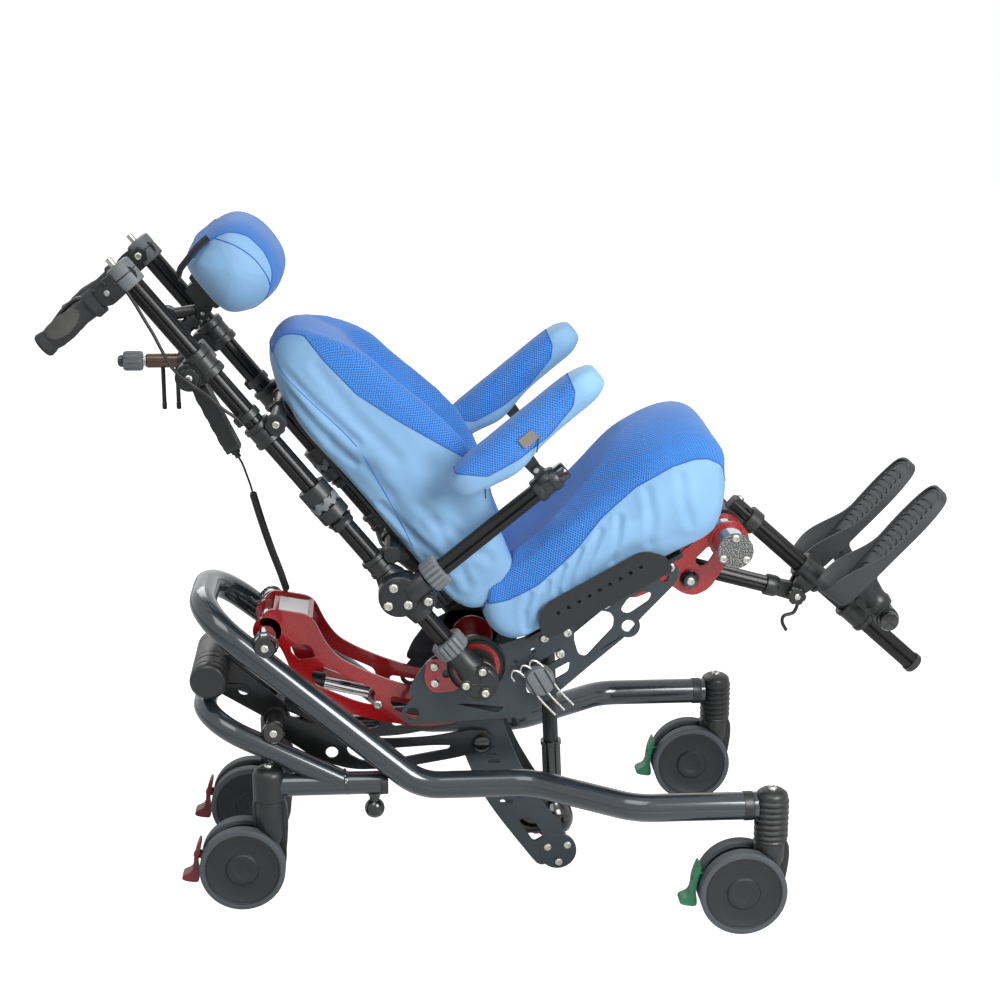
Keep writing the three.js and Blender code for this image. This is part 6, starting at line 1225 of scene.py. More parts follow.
def wavy_ring(radius, half, z, waves):
    """A ring whose two edges interlock with their neighbours in waves."""
    points, faces = [], []
    count = waves * 12
    for index in range(count):
        angle = 2 * math.pi * index / count
        rise = 2.6 * math.copysign(min(1, abs(math.sin(waves * angle)) * 1.6), math.sin(waves * angle))
        for size, level in ((radius - 5, -half), (radius, -half), (radius, half), (radius - 5, half)):
            points.append(Vector((size * math.cos(angle), POST_Y + size * math.sin(angle), z + level + rise)))
    for index in range(count):
        here, there = index * 4, ((index + 1) % count) * 4
        for side_ in range(4):
            faces.append((here + side_, there + side_, there + (side_ + 1) % 4, here + (side_ + 1) % 4))
    return points, faces


def knuckle(z, places):
    """A round hinge hub across Y: a dished face, ribs between the screws and the screws themselves."""
    profile = [(0, -20), (21, -20), (23, -18.6), (26, -18.6), (26, -6), (24.6, -5), (24.6, 3), (26, 4), (26, 18), (24, 19.4), (0, 19.4)]
    made = [(turned(profile, (0, POST_Y, z), (0, 1, 0), 48), moulded_black)]
    for x, level in places:
        made += [(turned([(0, 0), (8.4, 0), (8.4, 2.6), (7.4, 3.4), (0, 3.4)], (x, POST_Y - 19.4, level), (0, -1, 0), 28), moulded_black),
                 (screw((x, POST_Y - 22.6, level), (0, -1, 0), 6, 3.4), bare_steel)]
    for x, level in places[:3]:
        made.append((bar(1.5, (0, POST_Y - 20, z), (x, POST_Y - 20, level), 10, 0.3), moulded_black))
    return made


LOW_HUB, LOW_CLAMP_Z_, TOP_CLAMP_Z = 0, 588, 742
for name, sign in SIDES:
    parts = [(tube([(0, POST_Y, 6), (0, POST_Y, 762)], 13.75, 96, 8, 1.9), tube_black)]
    parts += knuckle(0, [(13.8, 12.4), (-17, 11.5), (-2.9, -14.6)])
    parts += knuckle(171, [(-0.7, 187), (-17, 170.7), (3, 155)])
    parts += [
        (turned([(13, 0), (21, 0), (21.5, 4), (18, 18), (17.5, 38), (13, 38)], (0, POST_Y, 16), (0, 0, 1), 40), moulded_black),
        (fluted_nut(24.5, 25, 17, (0, POST_Y, 66), (0, 0, 1)), clamp_grey),
        (turned([(13, 0), (17, 0), (17.6, 6), (21, 24), (20, 26), (13, 26)], (0, POST_Y, 124), (0, 0, 1), 40), moulded_black),
        (turned([(13, 0), (22, 0), (22, 6), (17, 18), (16.4, 30), (13, 30)], (0, POST_Y, 190), (0, 0, 1), 40), moulded_black),
        (fitting(19, 14, 223), moulded_black),
        (fitting(21.5, 11.5, 356, False), moulded_black), (wavy_ring(22, 5, 338, 9), clamp_grey), (fitting(19, 6, 338, False), clamp_grey),
        (fitting(21.5, 9.5, 321, False), moulded_black), (fitting(16.5, 7, 302, False), moulded_black),
        (turned([(13, 0), (16, 0), (19.5, 7), (13, 7)], (0, POST_Y, 300), (0, 0, 1), 40), moulded_black),
        (fitting(20, 17, 466), moulded_black), (fitting(16.8, 6, 497, False), moulded_black),
        (box((-19, POST_Y - 13, 492), (-2, POST_Y + 6, 506), 3), moulded_black),
        (fitting(20.5, 21, 588), moulded_black),
        (across(19, POST_Y - 17, POST_Y + 16, -24, 588, 40), moulded_black),
        (fluted_nut(14.5, 6, 6, (-24, POST_Y - 19.5, 588), (0, -1, 0)), moulded_black),
        (screw((-24, POST_Y - 22.4, 588), (0, -1, 0), 5.6, 3), bare_steel),
        (fitting(18.6, 9, 735.5, False), clamp_grey), (fitting(17.8, 1.4, 745, False), moulded_black),
        (turned([(13, 0), (18.6, 0), (18.6, 13), (17.6, 15.4), (14.5, 17), (0, 17)], (0, POST_Y, 746), (0, 0, 1), 44), clamp_grey),
        (bar(4.8, (-3, POST_Y, 762), (-3, POST_Y, 776), 20), bare_steel),
        (turned([(0, 0), (13, 0), (13, 4.6), (11.4, 6.2), (0, 6.2)], (-9, POST_Y + 16, 744), (0, 1, 0), 6), moulded_black),
        (screw((-9, POST_Y + 22.2, 744), (0, 1, 0), 5.6, 2.6), bare_steel),
        (link(-32, 742, 17, 0, 742, 16, -135.4, -130.8), moulded_black), (link(-32, 742, 17, 0, 742, 16, -111.2, -106.6), moulded_black),
        (across(4, -137, -105, -32, 742, 20), bare_steel),
        (screws([(-27.5, -135.4, 754), (-30, -135.4, 730)], (0, -1, 0), 3.6, 2.2), satin_black),
        (across(8, -146, -121, 0, 171, 28), bare_steel),
    ]
    for z in (466, 223):
        parts.append((across(12, -136, -107.3, 25, z, 32), moulded_black))
        parts.append((slab(cornered([(0, z - 13), (27, z - 12), (27, z + 12), (0, z + 13)], 6), -130, -112), moulded_black))
    parts += [(fluted_nut(15, 7, 6, (24, -139.6, 466), (0, -1, 0)), moulded_black),
              (screw((24, -142.8, 466), (0, -1, 0), 5.6, 3.4), bare_steel)]
    piece(f"back_post_tube_{name}", [(flipped(shape, sign), finish) for shape, finish in parts], BACK, "back",
          (f"back_post_{name}",), 0.5)

# %% [markdown]
# Behind the cushion a pressed panel hangs on two cross tubes. It is seen only from the back and
# through the posts, but the chair is looked at from there too, so its ribs and slots are cut in full.

# %% Back panel and headrest fittings
sheet_outline = cornered([(-84, 130), (-75.6, 470), (75.6, 470), (84, 130)], 20, 7)
slots = [cornered([(y - 5, z), (y + 5, z), (y + 5, z + 62), (y - 5, z + 62)], 4.9, 5) for y in (-48, -16, 16, 48) for z in (262, 350)]
panel_parts = [(slab(sheet_outline, 34, 37.6, slots, "X"), satin_black)]
for y in (-64, 0, 64):
    panel_parts.append((box((30.4, y - 3, 150), (34.2, y + 3, 440), 2), satin_black))
for z in (466, 223):
    panel_parts.append((across(10, -106.9, 106.9, 25, z, 32), satin_black))
    for y in (-58, 38):
        panel_parts.append((slab(cornered([(14, z - 12), (36, z - 12), (36, z + 12), (14, z + 12)], 6), y, y + 20), moulded_black))
        panel_parts.append((screw((14, y + 10, z), (-1, 0, 0), 5, 3), bare_steel))
piece("back_panel_sheet", panel_parts, BACK, "back", ("back_panel",), 0.6)

level_way = Vector((-math.cos(math.radians(39)), 0, math.sin(math.radians(39))))
down_way = Vector((-math.sin(math.radians(39)), 0, -math.cos(math.radians(39))))
sleeve_start = Vector((-27.5, 0, 588))
KNOB_OUT = 22
bracket_parts = [
    (across(10, -106.9, 106.9, -27.5, 588, 32), satin_black),
    (box((-44, -16, 572), (-22.6, 16, 604), 5), moulded_black), (box((-9.4, -16, 572), (-1.9, 16, 604), 3), moulded_black),
    (box((-24, -16, 572), (-8, -8.4, 604), 1), moulded_black), (box((-24, 8.4, 572), (-8, 16, 604), 1), moulded_black),
    (bar(10, sleeve_start + level_way * 12, sleeve_start + level_way * (45.6 + KNOB_OUT), 40), bronze),
    (turned([(10, 0), (13, 0), (13, 7), (10, 8)], sleeve_start + level_way * 16, level_way, 40), moulded_black)]
for out in (25.5, 45.4):
    root = sleeve_start + level_way * out
    bracket_parts += [(bar(3, root, root + down_way * 69, 20), satin_black), (bar(3.4, root + down_way * 59, root + down_way * 69.6, 20), gloss_black)]
for y in (-44, 30):
    bracket_parts.append((turned([(9, 0), (14.5, 0), (15, 2), (15, 12), (14.5, 14), (9, 14)], (-27.5, y, 588), (0, 1, 0), 36), moulded_black))
piece("headrest_clamp_bracket", bracket_parts, BACK, "back", ("headrest_bracket",), 0.6)

knob_start = sleeve_start + level_way * (46.3 + KNOB_OUT)
knob_parts = [
    (fluted_nut(14, 27, 11, knob_start + level_way * 18, level_way), clamp_grey),
    (turned([(0, 0), (7, 0), (8.6, 2), (8.6, 5), (6, 8), (0, 9)], knob_start + level_way * 31, level_way, 32), gloss_black),
    (turned([(0, 0), (8.4, 0), (8.4, 2), (6, 2.4), (6, 4.4), (0, 4.4)], knob_start, level_way, 32), bare_steel)]
piece("fluted_headrest_knob", knob_parts, BACK, "headrest_knob", ("headrest_knob",), 0.4)

stem_parts = [
    (box((-21.8, -7.8, 562.6), (-10.2, 7.8, 660), 2), satin_black), (across(14.5, -11.5, 11.5, -16, 632, 40), moulded_black),
    (across(12, -13, 13, -15, 661, 36), moulded_black), (bar(8.5, (-15, 0, 661), (20, 0, 640), 32), moulded_black),
    (screw((-15, -13, 661), (0, -1, 0), 5, 2.6), bare_steel),
    (bar(10.5, (-8, 0, 632), (16, 0, 632), 32), moulded_black), (across(9.4, -7.8, 7.8, 26, 632, 32), moulded_black),
    (turned([(0, 0), (12.4, 0), (13, 1.4), (13, 6), (0, 7)], (2, 0, 632), (1, 0, 0), 36), moulded_black),
    (across(3, -16, 16, 26, 632, 20), bare_steel),
    (screws([(-16, -11.5, 632)], (0, -1, 0), 5.4, 3), bare_steel), (screws([(-16, 11.5, 632)], (0, 1, 0), 5.4, 3), bare_steel)]
piece("headrest_stem_bar", stem_parts, BACK, "headrest_stem", ("headrest_stem",), 0.8)

# %% [markdown]
# The push handles are rubber grips with a softer palm patch. The grip is turned in rows, and the
# rows' faces inside an oval are taken out as a patch of their own that stands a little proud.

# %% Handles, lever and cable
GRIP_ROWS, GRIP_SIDES = 60, 64
GRIP_START, GRIP_END = -48, -148


def grip_radius(share_):
    """The grip's radius along its length."""
    table = [(0, 19), (0.14, 19.4), (0.165, 15.6), (0.2, 15.2), (0.32, 14.6), (0.45, 16), (0.6, 17.6), (0.75, 17.2), (0.86, 15.4),
             (0.9, 16.6), (0.97, 17.4), (1, 15.4)]
    for (a, low), (b, high) in zip(table, table[1:]):
        if share_ <= b:
            t = (share_ - a) / (b - a)
            return low + (high - low) * t * t * (3 - 2 * t)
    return table[-1][1]


def grip_shapes():
    """The grip and its palm patch, the patch on the upper outer side."""
    plain, patch = ([], []), ([], [])
    for target, keep in ((plain, False), (patch, True)):
        for row in range(GRIP_ROWS + 1):
            share_ = row / GRIP_ROWS
            x = GRIP_START + (GRIP_END - GRIP_START) * share_
            for index in range(GRIP_SIDES):
                angle = 2 * math.pi * index / GRIP_SIDES
                oval = ((share_ - 0.56) / 0.27) ** 2 + ((math.remainder(angle - math.radians(152), 2 * math.pi)) / 0.95) ** 2
                lift = 0.9 * max(0.0, min(1.0, (1.12 - oval) * 5))
                size = grip_radius(share_) + lift
                target[0].append(Vector((x, POST_Y + size * math.cos(angle), TOP_CLAMP_Z + size * math.sin(angle))))
        for row in range(GRIP_ROWS):
            for index in range(GRIP_SIDES):
                share_ = (row + 0.5) / GRIP_ROWS
                angle = 2 * math.pi * (index + 0.5) / GRIP_SIDES
                oval = ((share_ - 0.56) / 0.27) ** 2 + ((math.remainder(angle - math.radians(152), 2 * math.pi)) / 0.95) ** 2
                if (oval < 1) == keep:
                    following = (index + 1) % GRIP_SIDES
                    target[1].append((row * GRIP_SIDES + index, row * GRIP_SIDES + following,
                                      (row + 1) * GRIP_SIDES + following, (row + 1) * GRIP_SIDES + index))
    plain[1].append(tuple(reversed(range(GRIP_SIDES))))
    plain[1].append(tuple(range(GRIP_ROWS * GRIP_SIDES, (GRIP_ROWS + 1) * GRIP_SIDES)))
    return plain, patch


plain_grip, palm_patch = grip_shapes()
for name, sign in SIDES:
    shapes = [(plain_grip, grip_rubber), (palm_patch, palm_rubber),
              (link(-32, 742, 13.4, -50, 742, 13.4, -130.3, -111.7, [circle(-32, 742, 4.5)]), moulded_black)]
    if name == "right":
        shapes.append((across(4, POST_Y, -92.5, -54.5, 742, 20), bare_steel))
    piece(f"push_grip_{name}", [(flipped(shape, sign), finish) for shape, finish in shapes], BACK, f"handle_grip_{name}",
          (f"handle_grip_{name}",), 0, 50)

blade_line = smooth_line([(-54.5, -96.5, 742), (-64, -96.5, 752), (-78, -96.5, 760), (-100, -96.5, 760), (-122, -96.5, 755), (-138, -96.5, 752)], 8)
blade_section = [(3.8 * math.cos(math.pi * index / 8), 5.2 * math.sin(math.pi * index / 8)) for index in range(16)]
piece("brake_lever_blade", [(swept(blade_line, blade_section, (0, 1, 0)), satin_black),
                            (slab(circle(-54.5, 742, 9, 32), -100.4, -92.6, [circle(-54.5, 742, 4.4)]), satin_black)],
      BACK, "hand_lever", ("hand_lever",), 0.4)
cable_table = [(-0.5, 0.75, 728), (-0.65, 0.85, 705), (-0.85, 0.85, 684), (-1.05, 0.85, 662), (-1.3, 0.9, 641), (-1.5, 1.2, 618), (-1.45, 1.35, 598),
               (-1.2, 1.3, 576), (-1, 0.9, 552), (-0.86, 0.8, 527), (-0.62, 0.72, 507), (-0.6, 0.6, 493)]
cable_places = [(back_ * 20, POST_Y - out * 20, up) for back_, out, up in cable_table]
piece("brake_cable", [(tube(smooth_line(cable_places, 8), 2.3, 16), cord_black)], BACK, "back", ("handle_cable",), 0)

# %% [markdown]
# The hand control hangs by its loop on the headrest's cross tube. It is a flat moulded case with a
# keypad of plain raised keys and no signs on them.

# %% Hand control
PENDANT = BACK @ Matrix.Translation((-27.5, 0, 588)) @ Matrix.Rotation(PENDANT_SWING, 4, "Y")
case = slab(cornered([(-87, -22.4), (-87, -126.4), (-53, -126.4), (-53, -22.4)], 8, 6), -10, 10, (), "X")
case_parts = [
    (case, moulded_black), (slab(circle(0, 0, 16, 36), -76.8, -63.2, [circle(0, 0, 10.4, 36)]), moulded_black),
    (box((-6, -76.8, -30), (6, -63.2, -11), 3), moulded_black),
    (turned([(0, 0), (6.5, 0), (6.5, -5), (4.2, -7), (4.2, -12), (0, -12)], (0, -70, -126), (0, 0, 1), 28), moulded_black),
    (box((-11.2, -84, -120), (-9.8, -56, -30), 3, "X"), gloss_black)]
for row in range(4):
    for column in (-76.5, -63.5):
        z = -42 - row * 21
        case_parts.append((slab(cornered([(column - 5, z - 6), (column + 5, z - 6), (column + 5, z + 6), (column - 5, z + 6)], 3),
                                -12.4, -11, (), "X"), clamp_grey))
piece("hand_control", case_parts, PENDANT, "pendant", ("pendant",), 0.8)

# %% [markdown]
# An armrest is a grooved tube between a hinge on the post and a clamp under the pad. The big grey
# nut near the hinge locks it, and its deep ribs are the first thing one sees there.

# %% Arm tubes
for name, sign in SIDES:
    arm_way = (1, 0, 0)
    shapes = [
        (across(29, -169, -141.7, 0, 178, 56, 2.5), moulded_black), (across(25, -171, -168, 0, 178, 56), satin_black),
        (link(2, 176, 24, 27, 150, 13, -167, -146), moulded_black),
        (across(9.5, -170.6, -166, 27, 149, 28), moulded_black),
        (screws([(3, -171, 194), (-19, -171, 179), (3, -171, 163), (27, -170.6, 149)], (0, -1, 0), 6.8, 4.2), bare_steel),
        (turned([(0, 0), (17, 0), (18.5, 3), (17, 24), (15.5, 30), (0, 30)], (12, -158, 171), arm_way, 36), moulded_black),
        (fluted_nut(23.5, 26, 17, (58, -158, 171), arm_way), clamp_grey),
        (tube([(66, -158, 171), (238, -158, 171)], 12.5, 84, 6, 2.2), tube_black),
        (turned([(0, 0), (16, 0), (17.5, 2), (17.5, 9), (15.8, 11), (15.8, 24), (17.5, 26), (17.5, 34), (15, 38), (0, 38)],
                (236, -158, 171), arm_way, 40), moulded_black),
        (turned([(0, 0), (11, 0), (13, 2), (13, 13), (11, 16), (0, 16)], (272, -158, 171), arm_way, 32), gloss_black),
        (slab(cornered([(246, 176), (268, 176), (262, 202), (250, 202)], 6), -168, -164), moulded_black),
        (slab(cornered([(246, 176), (268, 176), (262, 202), (250, 202)], 6), -152, -148), moulded_black),
        (turned([(0, 0), (16.6, 0), (15, 6), (12, 9), (0, 9)], (256, -158, 179), (0, 0, 1), 36), moulded_black),
        (across(4, -169.4, -146.6, 256, 197, 20), bare_steel)]
    piece(f"arm_rest_tube_{name}", [(flipped(shape, sign), finish) for shape, finish in shapes], BACK, f"arm_tube_{name}",
          (f"arm_tube_{name}",), 0.6)
print("hard pieces:", len(made_pieces))

# %% [markdown]
# The pads are foam under sewn covers, so each starts as a loft a little smaller than its solid. A
# voxel remesh makes its skin even, a short cloth simulation with pressure swells it, and a cap
# holds each point near where it began, less where the pad rests on something. Seams come last.

# %% Stuffing a pad


def loft(rings):
    """Closed rings joined into one skin with a fan at each end."""
    count = len(rings[0])
    points = [place for ring in rings for place in ring]
    faces = []
    for row in range(len(rings) - 1):
        for index in range(count):
            following = (index + 1) % count
            faces.append((row * count + index, row * count + following, (row + 1) * count + following, (row + 1) * count + index))
    for row, turned_over in ((0, True), (len(rings) - 1, False)):
        middle = sum(rings[row], Vector()) / count
        points.append(middle)
        for index in range(count):
            face = (row * count + index, row * count + (index + 1) % count, len(points) - 1)
            faces.append(tuple(reversed(face)) if turned_over else face)
    return points, faces


def drawn_in(outline, inset):
    """An outline drawn in towards its middle by a length."""
    middle = sum(outline, Vector((0, 0))) / len(outline)
    return [middle + (place - middle) * max(0.05, 1 - inset / max(1e-6, (place - middle).length)) for place in outline]


def evaluated(thing):
    """The mesh of an object with its modifiers."""
    graph = bpy.context.evaluated_depsgraph_get()
    return bpy.data.meshes.new_from_object(thing.evaluated_get(graph))


def mesh_points(mesh):
    """The places of a mesh's points."""
    return [vertex.co.copy() for vertex in mesh.vertices]


def stuffed(name, shape, place, voxel, room, folds=None, cutter=None):
    """The stuffed skin of a pad in metres. room gives how far, in millimetres, a place may swell."""
    mesh = bpy.data.meshes.new(name)
    mesh.from_pydata([place @ point for point in shape[0]], [], shape[1])
    work = bmesh.new()
    work.from_mesh(mesh)
    bmesh.ops.recalc_face_normals(work, faces=work.faces)
    work.to_mesh(mesh)
    work.free()
    skin = bpy.data.objects.new(name, mesh)
    bpy.context.scene.collection.objects.link(skin)
    if cutter:
        cut = skin.modifiers.new("neighbour", "BOOLEAN")
        cut.operation = "DIFFERENCE"
        cut.solver = "EXACT"
        cut.object = cutter
        skin.data = evaluated(skin)
        skin.modifiers.clear()
    remesh = skin.modifiers.new("remesh", "REMESH")
    remesh.mode = "VOXEL"
    remesh.voxel_size = voxel * MM
    skin.data = evaluated(skin)
    skin.modifiers.clear()
    rest = mesh_points(skin.data)
    back_again = place.inverted()
    cloth = skin.modifiers.new("cloth", "CLOTH")
    cloth.settings.quality = 5
    cloth.settings.use_pressure = True
    cloth.settings.uniform_pressure_force = 4
    cloth.settings.effector_weights.gravity = 0
    cloth.settings.mass = 0.3
    cloth.settings.tension_stiffness = cloth.settings.compression_stiffness = 12
    cloth.settings.bending_stiffness = 0.6
    cloth.point_cache.frame_start, cloth.point_cache.frame_end = 1, 20
    for number in range(1, 21):
        bpy.context.scene.frame_set(number)
    swollen = mesh_points(evaluated(skin))
    skin.modifiers.clear()
    bpy.context.scene.frame_set(1)
    for vertex, before, after in zip(skin.data.vertices, rest, swollen):
        allowed = room(back_again @ before) * MM
        step = after - before
        if step.length > allowed:
            step = step.normalized() * allowed
        vertex.co = before + step
    skin.data.update()
    smoothing = skin.modifiers.new("smooth", "SMOOTH")
    smoothing.iterations = 6
    smoothing.factor = 0.5
    finer = skin.modifiers.new("finer", "SUBSURF")
    finer.levels = finer.render_levels = 1
    skin.data = evaluated(skin)
    skin.modifiers.clear()
    if folds:
        normals = [vertex.normal.copy() for vertex in skin.data.vertices]
        for vertex, normal in zip(skin.data.vertices, normals):
            vertex.co += normal * (folds(back_again @ vertex.co, normal) * MM)
        skin.data.update()
    return skin


def ramp(value, low, high):
    """A smooth step from 0 to 1."""
    t = max(0.0, min(1.0, (value - low) / (high - low)))
    return t * t * (3 - 2 * t)


def line_distance(x, z, line):
    """How far a place is from a line of places."""
    best = 1e9
    for (x0, z0), (x1, z1) in zip(line, line[1:]):
        dx, dz = x1 - x0, z1 - z0
        t = max(0.0, min(1.0, ((x - x0) * dx + (z - z0) * dz) / (dx * dx + dz * dz + 1e-9)))
        best = min(best, math.hypot(x - x0 - t * dx, z - z0 - t * dz))
    return best


def inside(x, z, loop):
    """Whether a place is inside a closed line."""
    found = False
    for (x0, z0), (x1, z1) in zip(loop, loop[1:] + loop[:1]):
        if (z0 > z) != (z1 > z) and x < (x1 - x0) * (z - z0) / (z1 - z0) + x0:
            found = not found
    return found


def two_cloths(skin, place, value, weave, above=net_blue, below=pale_blue):
    """Cuts a skin along the line where a value is zero, gives each side its cloth, and returns the line's runs."""
    mesh = skin.data
    mesh.materials.clear()
    mesh.materials.append(below)
    mesh.materials.append(above)
    back_again = place.inverted()
    work = bmesh.new()
    work.from_mesh(mesh)
    bmesh.ops.triangulate(work, faces=work.faces)
    level = {}
    for vertex in work.verts:
        level[vertex] = value(back_again @ vertex.co)
        if abs(level[vertex]) < 0.05:
            level[vertex] = 0.05
    crossing = [edge for edge in work.edges if level[edge.verts[0]] * level[edge.verts[1]] < 0]
    fresh = set()
    for edge in crossing:
        a, b = edge.verts
        share_ = level[a] / (level[a] - level[b])
        _, middle = bmesh.utils.edge_split(edge, a, max(0.02, min(0.98, share_)))
        level[middle] = 0.0
        fresh.add(middle)
    seam_edges = []
    for face in list(work.faces):
        cut = [vertex for vertex in face.verts if vertex in fresh]
        if len(cut) == 2:
            linked = [edge for edge in cut[0].link_edges if edge.other_vert(cut[0]) == cut[1]]
            if not linked:
                bmesh.utils.face_split(face, cut[0], cut[1])
                linked = [edge for edge in cut[0].link_edges if edge.other_vert(cut[0]) == cut[1]]
            seam_edges += linked
    for face in work.faces:
        signs = [level[vertex] for vertex in face.verts if level[vertex] != 0.0]
        face.material_index = 1 if signs and sum(signs) > 0 else 0
        face.smooth = True
    near = {}
    for edge in seam_edges:
        for vertex in edge.verts:
            near.setdefault(vertex, []).append(edge.other_vert(vertex))
    runs, left = [], set(near)
    while left:
        ends = [vertex for vertex in left if len(near[vertex]) == 1] or list(left)
        here = min(ends, key=lambda vertex: tuple(vertex.co))
        run, before = [here], None
        left.discard(here)
        while True:
            onward = [vertex for vertex in near[run[-1]] if vertex in left]
            if not onward:
                break
            run.append(onward[0])
            left.discard(onward[0])
        if run[0] in near[run[-1]] and len(run) > 4:
            run.append(run[0])
        if len(run) > 8:
            runs.append([vertex.co.copy() for vertex in run])
    work.to_mesh(mesh)
    work.free()
    flat, sideways, turns = [], [], []
    for vertex, normal in zip(mesh.vertices, [vertex.normal.copy() for vertex in mesh.vertices]):
        across_, along_, instead = weave(back_again @ vertex.co)
        flat += [across_ * MM, along_ * MM, 0.0]
        sideways += [instead * MM, along_ * MM, 0.0]
        turns.append(max(0.0, min(1.0, (abs(normal.y) - 0.62) / 0.16)))
    mesh.attributes.new("weave", "FLOAT_VECTOR", "POINT").data.foreach_set("vector", flat)
    mesh.attributes.new("weave_side", "FLOAT_VECTOR", "POINT").data.foreach_set("vector", sideways)
    mesh.attributes.new("weave_turn", "FLOAT", "POINT").data.foreach_set("value", turns)
    mesh.update()
    return runs


def eased(run, times=5):
    """A run of places with its small steps taken out."""
    places = [place.copy() for place in run]
    closed = (places[0] - places[-1]).length < 1e-6
    for _ in range(times):
        fresh = [places[0]] + [(a + b * 2 + c) / 4 for a, b, c in zip(places, places[1:], places[2:])] + [places[-1]]
        if closed:
            fresh[0] = fresh[-1] = (places[-2] + places[0] * 2 + places[1]) / 4
        places = fresh
    return places


def thinned(run, gap):
    """Every place of a run that is at least a gap from the one kept before it."""
    kept = [run[0]]
    for place in run[1:-1]:
        if (place - kept[-1]).length >= gap:
            kept.append(place)
    return kept + [run[-1]]


TO_MM = Matrix.Scale(1 / MM, 4)


def thread_piece(name, runs, radius, body, finish=thread_blue):
    """Piping or stitching along runs of places in metres."""
    shapes = []
    for run in runs:
        line = thinned(eased(run), 0.0035)
        if len(line) > 3:
            shapes.append((tube([TO_MM @ place for place in line], radius, 8), finish))
    return piece(name, shapes, Matrix.Scale(MM, 4), body, (), 0)


def traced(skin, place, line, side_y, sign):
    """A line of side-view places laid on the skin from the side, as a run in metres."""
    work = bmesh.new()
    work.from_mesh(skin.data)
    tree = BVHTree.FromBMesh(work)
    work.free()
    run = []
    way = (place.to_3x3() @ Vector((0, -sign, 0))).normalized()
    for place_ in smooth_line([(x, 0, z) for x, z in line], 10):
        start = place @ Vector((place_.x, sign * side_y, place_.z))
        hit, normal, _, _ = tree.ray_cast(start, way)
        if hit is not None and abs((hit - start).length) < 0.13:
            run.append(hit + normal * 0.0002)
    return run


def crease(x, z, line, width, depth):
    """A soft fold along a line: a dip with a lip on each side."""
    distance = line_distance(x, z, line) / width
    if distance > 3:
        return 0.0
    return depth * (0.45 * math.exp(-((distance - 1.5) ** 2) / 0.5) - math.exp(-distance * distance / 0.6))


def finish_pad(skin, body, node, name):
    skin.name = name
    skin.data.name = name
    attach(skin, body)
    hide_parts(node)
    made_pieces.append(name)
    print(name, "has", len(skin.data.polygons), "faces")


print("pad makers are ready")

# %% [markdown]
# The back cushion has two bolsters that reach forward past a flatter middle. Mesh faces the sitter,
# pale fabric wraps the sides and the rear, and a second stitched line runs down each pale side.

# %% Back cushion
BACK_REAR, BOLSTER, BACK_LOW, BACK_TALL, BACK_HALF = 38.3, 168, 66, 512, 118
rear_shares = [(0.2, 0), (0.05, 0.04), (0, 0.13), (0, 0.45), (0, 0.78), (0.12, 0.93), (0.26, 0.99), (0.42, 1)]
front_shares = [(0.66, 0.97), (0.82, 0.86), (0.9, 0.7), (1, 0.45), (0.94, 0.3), (0.76, 0.15), (0.54, 0.01)]
middle_shares = [(0.55, 0.97), (0.63, 0.88), (0.65, 0.7), (0.66, 0.45), (0.66, 0.3), (0.62, 0.12), (0.45, 0.02)]


def shoulder(share_):
    """The share of the back cushion's height that its rounded shoulders reach."""
    return 0.7 + 0.262 * (1 - min(1, abs(share_)) ** 2.7) ** (1 / 2.7)


def back_ring(share_):
    """The back cushion's outline at a share of its half width."""
    t = max(0.0, min(1.0, (abs(share_) - 0.42) / 0.44))
    t = t * t * (3 - 2 * t)
    front = [(a + (c - a) * t, b + (d - b) * t) for (a, b), (c, d) in zip(middle_shares, front_shares)]
    loop = smooth_loop([(BACK_REAR + a * BOLSTER, BACK_LOW + b * BACK_TALL) for a, b in rear_shares + front], 6)
    edge = max(0.0, (abs(share_) - 0.76) / 0.24)
    shaped = drawn_in([Vector((place.x, place.y)) for place in loop], 3 + 24 * (1 - math.sqrt(max(0.0, 1 - edge * edge))))
    bend = BACK_LOW + 0.56 * BACK_TALL
    squeeze = (shoulder(share_) - 0.56) / 0.44
    return [Vector((max(BACK_REAR + 1, place.x), share_ * (BACK_HALF - 4), bend + max(0.0, place.y - bend) * squeeze + min(0.0, place.y - bend)))
            for place in shaped]


def back_room(point):
    """How far the back cushion may swell."""
    if point.x < BACK_REAR + 9:
        return 0.4
    if point.z < BACK_LOW + 40:
        return 1.5
    return 6


def side_line(table):
    """Side-view places of the back cushion from shares."""
    return [(place.x, place.y) for place in shares(table, BOLSTER, BACK_TALL, BACK_REAR, BACK_LOW)]


BACK_SEAM = [(0.314, 0.975), (0.407, 0.972), (0.484, 0.955), (0.532, 0.919), (0.524, 0.831), (0.554, 0.701), (0.674, 0.574),
             (0.875, 0.395), (0.973, 0.271), (0.918, 0.174), (0.835, 0.112), (0.705, 0.062), (0.527, 0.04), (0.345, 0.033), (0.197, 0.023)]
BACK_STITCH = [(0.308, 0.972), (0.226, 0.925), (0.182, 0.87), (0.215, 0.774), (0.275, 0.608), (0.221, 0.491), (0.154, 0.384), (0.073, 0.28)]
back_seam = side_line(BACK_SEAM)
back_front = [(back_seam[0][0], 900)] + back_seam + [(back_seam[-1][0], -200), (900, -200), (900, 900)]
back_folds_at = [(side_line([(0.2, 0.9), (0.24, 0.75), (0.3, 0.6)]), 7, 2.0), (side_line([(0.35, 0.3), (0.3, 0.2), (0.22, 0.1)]), 8, 2.2),
                 (side_line([(0.5, 0.12), (0.42, 0.22), (0.36, 0.36)]), 9, 2.0), (side_line([(0.1, 0.42), (0.14, 0.3), (0.2, 0.16)]), 7, 2.2),
                 (side_line([(0.12, 0.84), (0.12, 0.7), (0.16, 0.56)]), 7, 2.2), (side_line([(0.62, 0.42), (0.56, 0.3), (0.42, 0.2)]), 18, 3.2),
                 (side_line([(0.44, 0.82), (0.42, 0.66), (0.46, 0.5)]), 10, 1.6)]


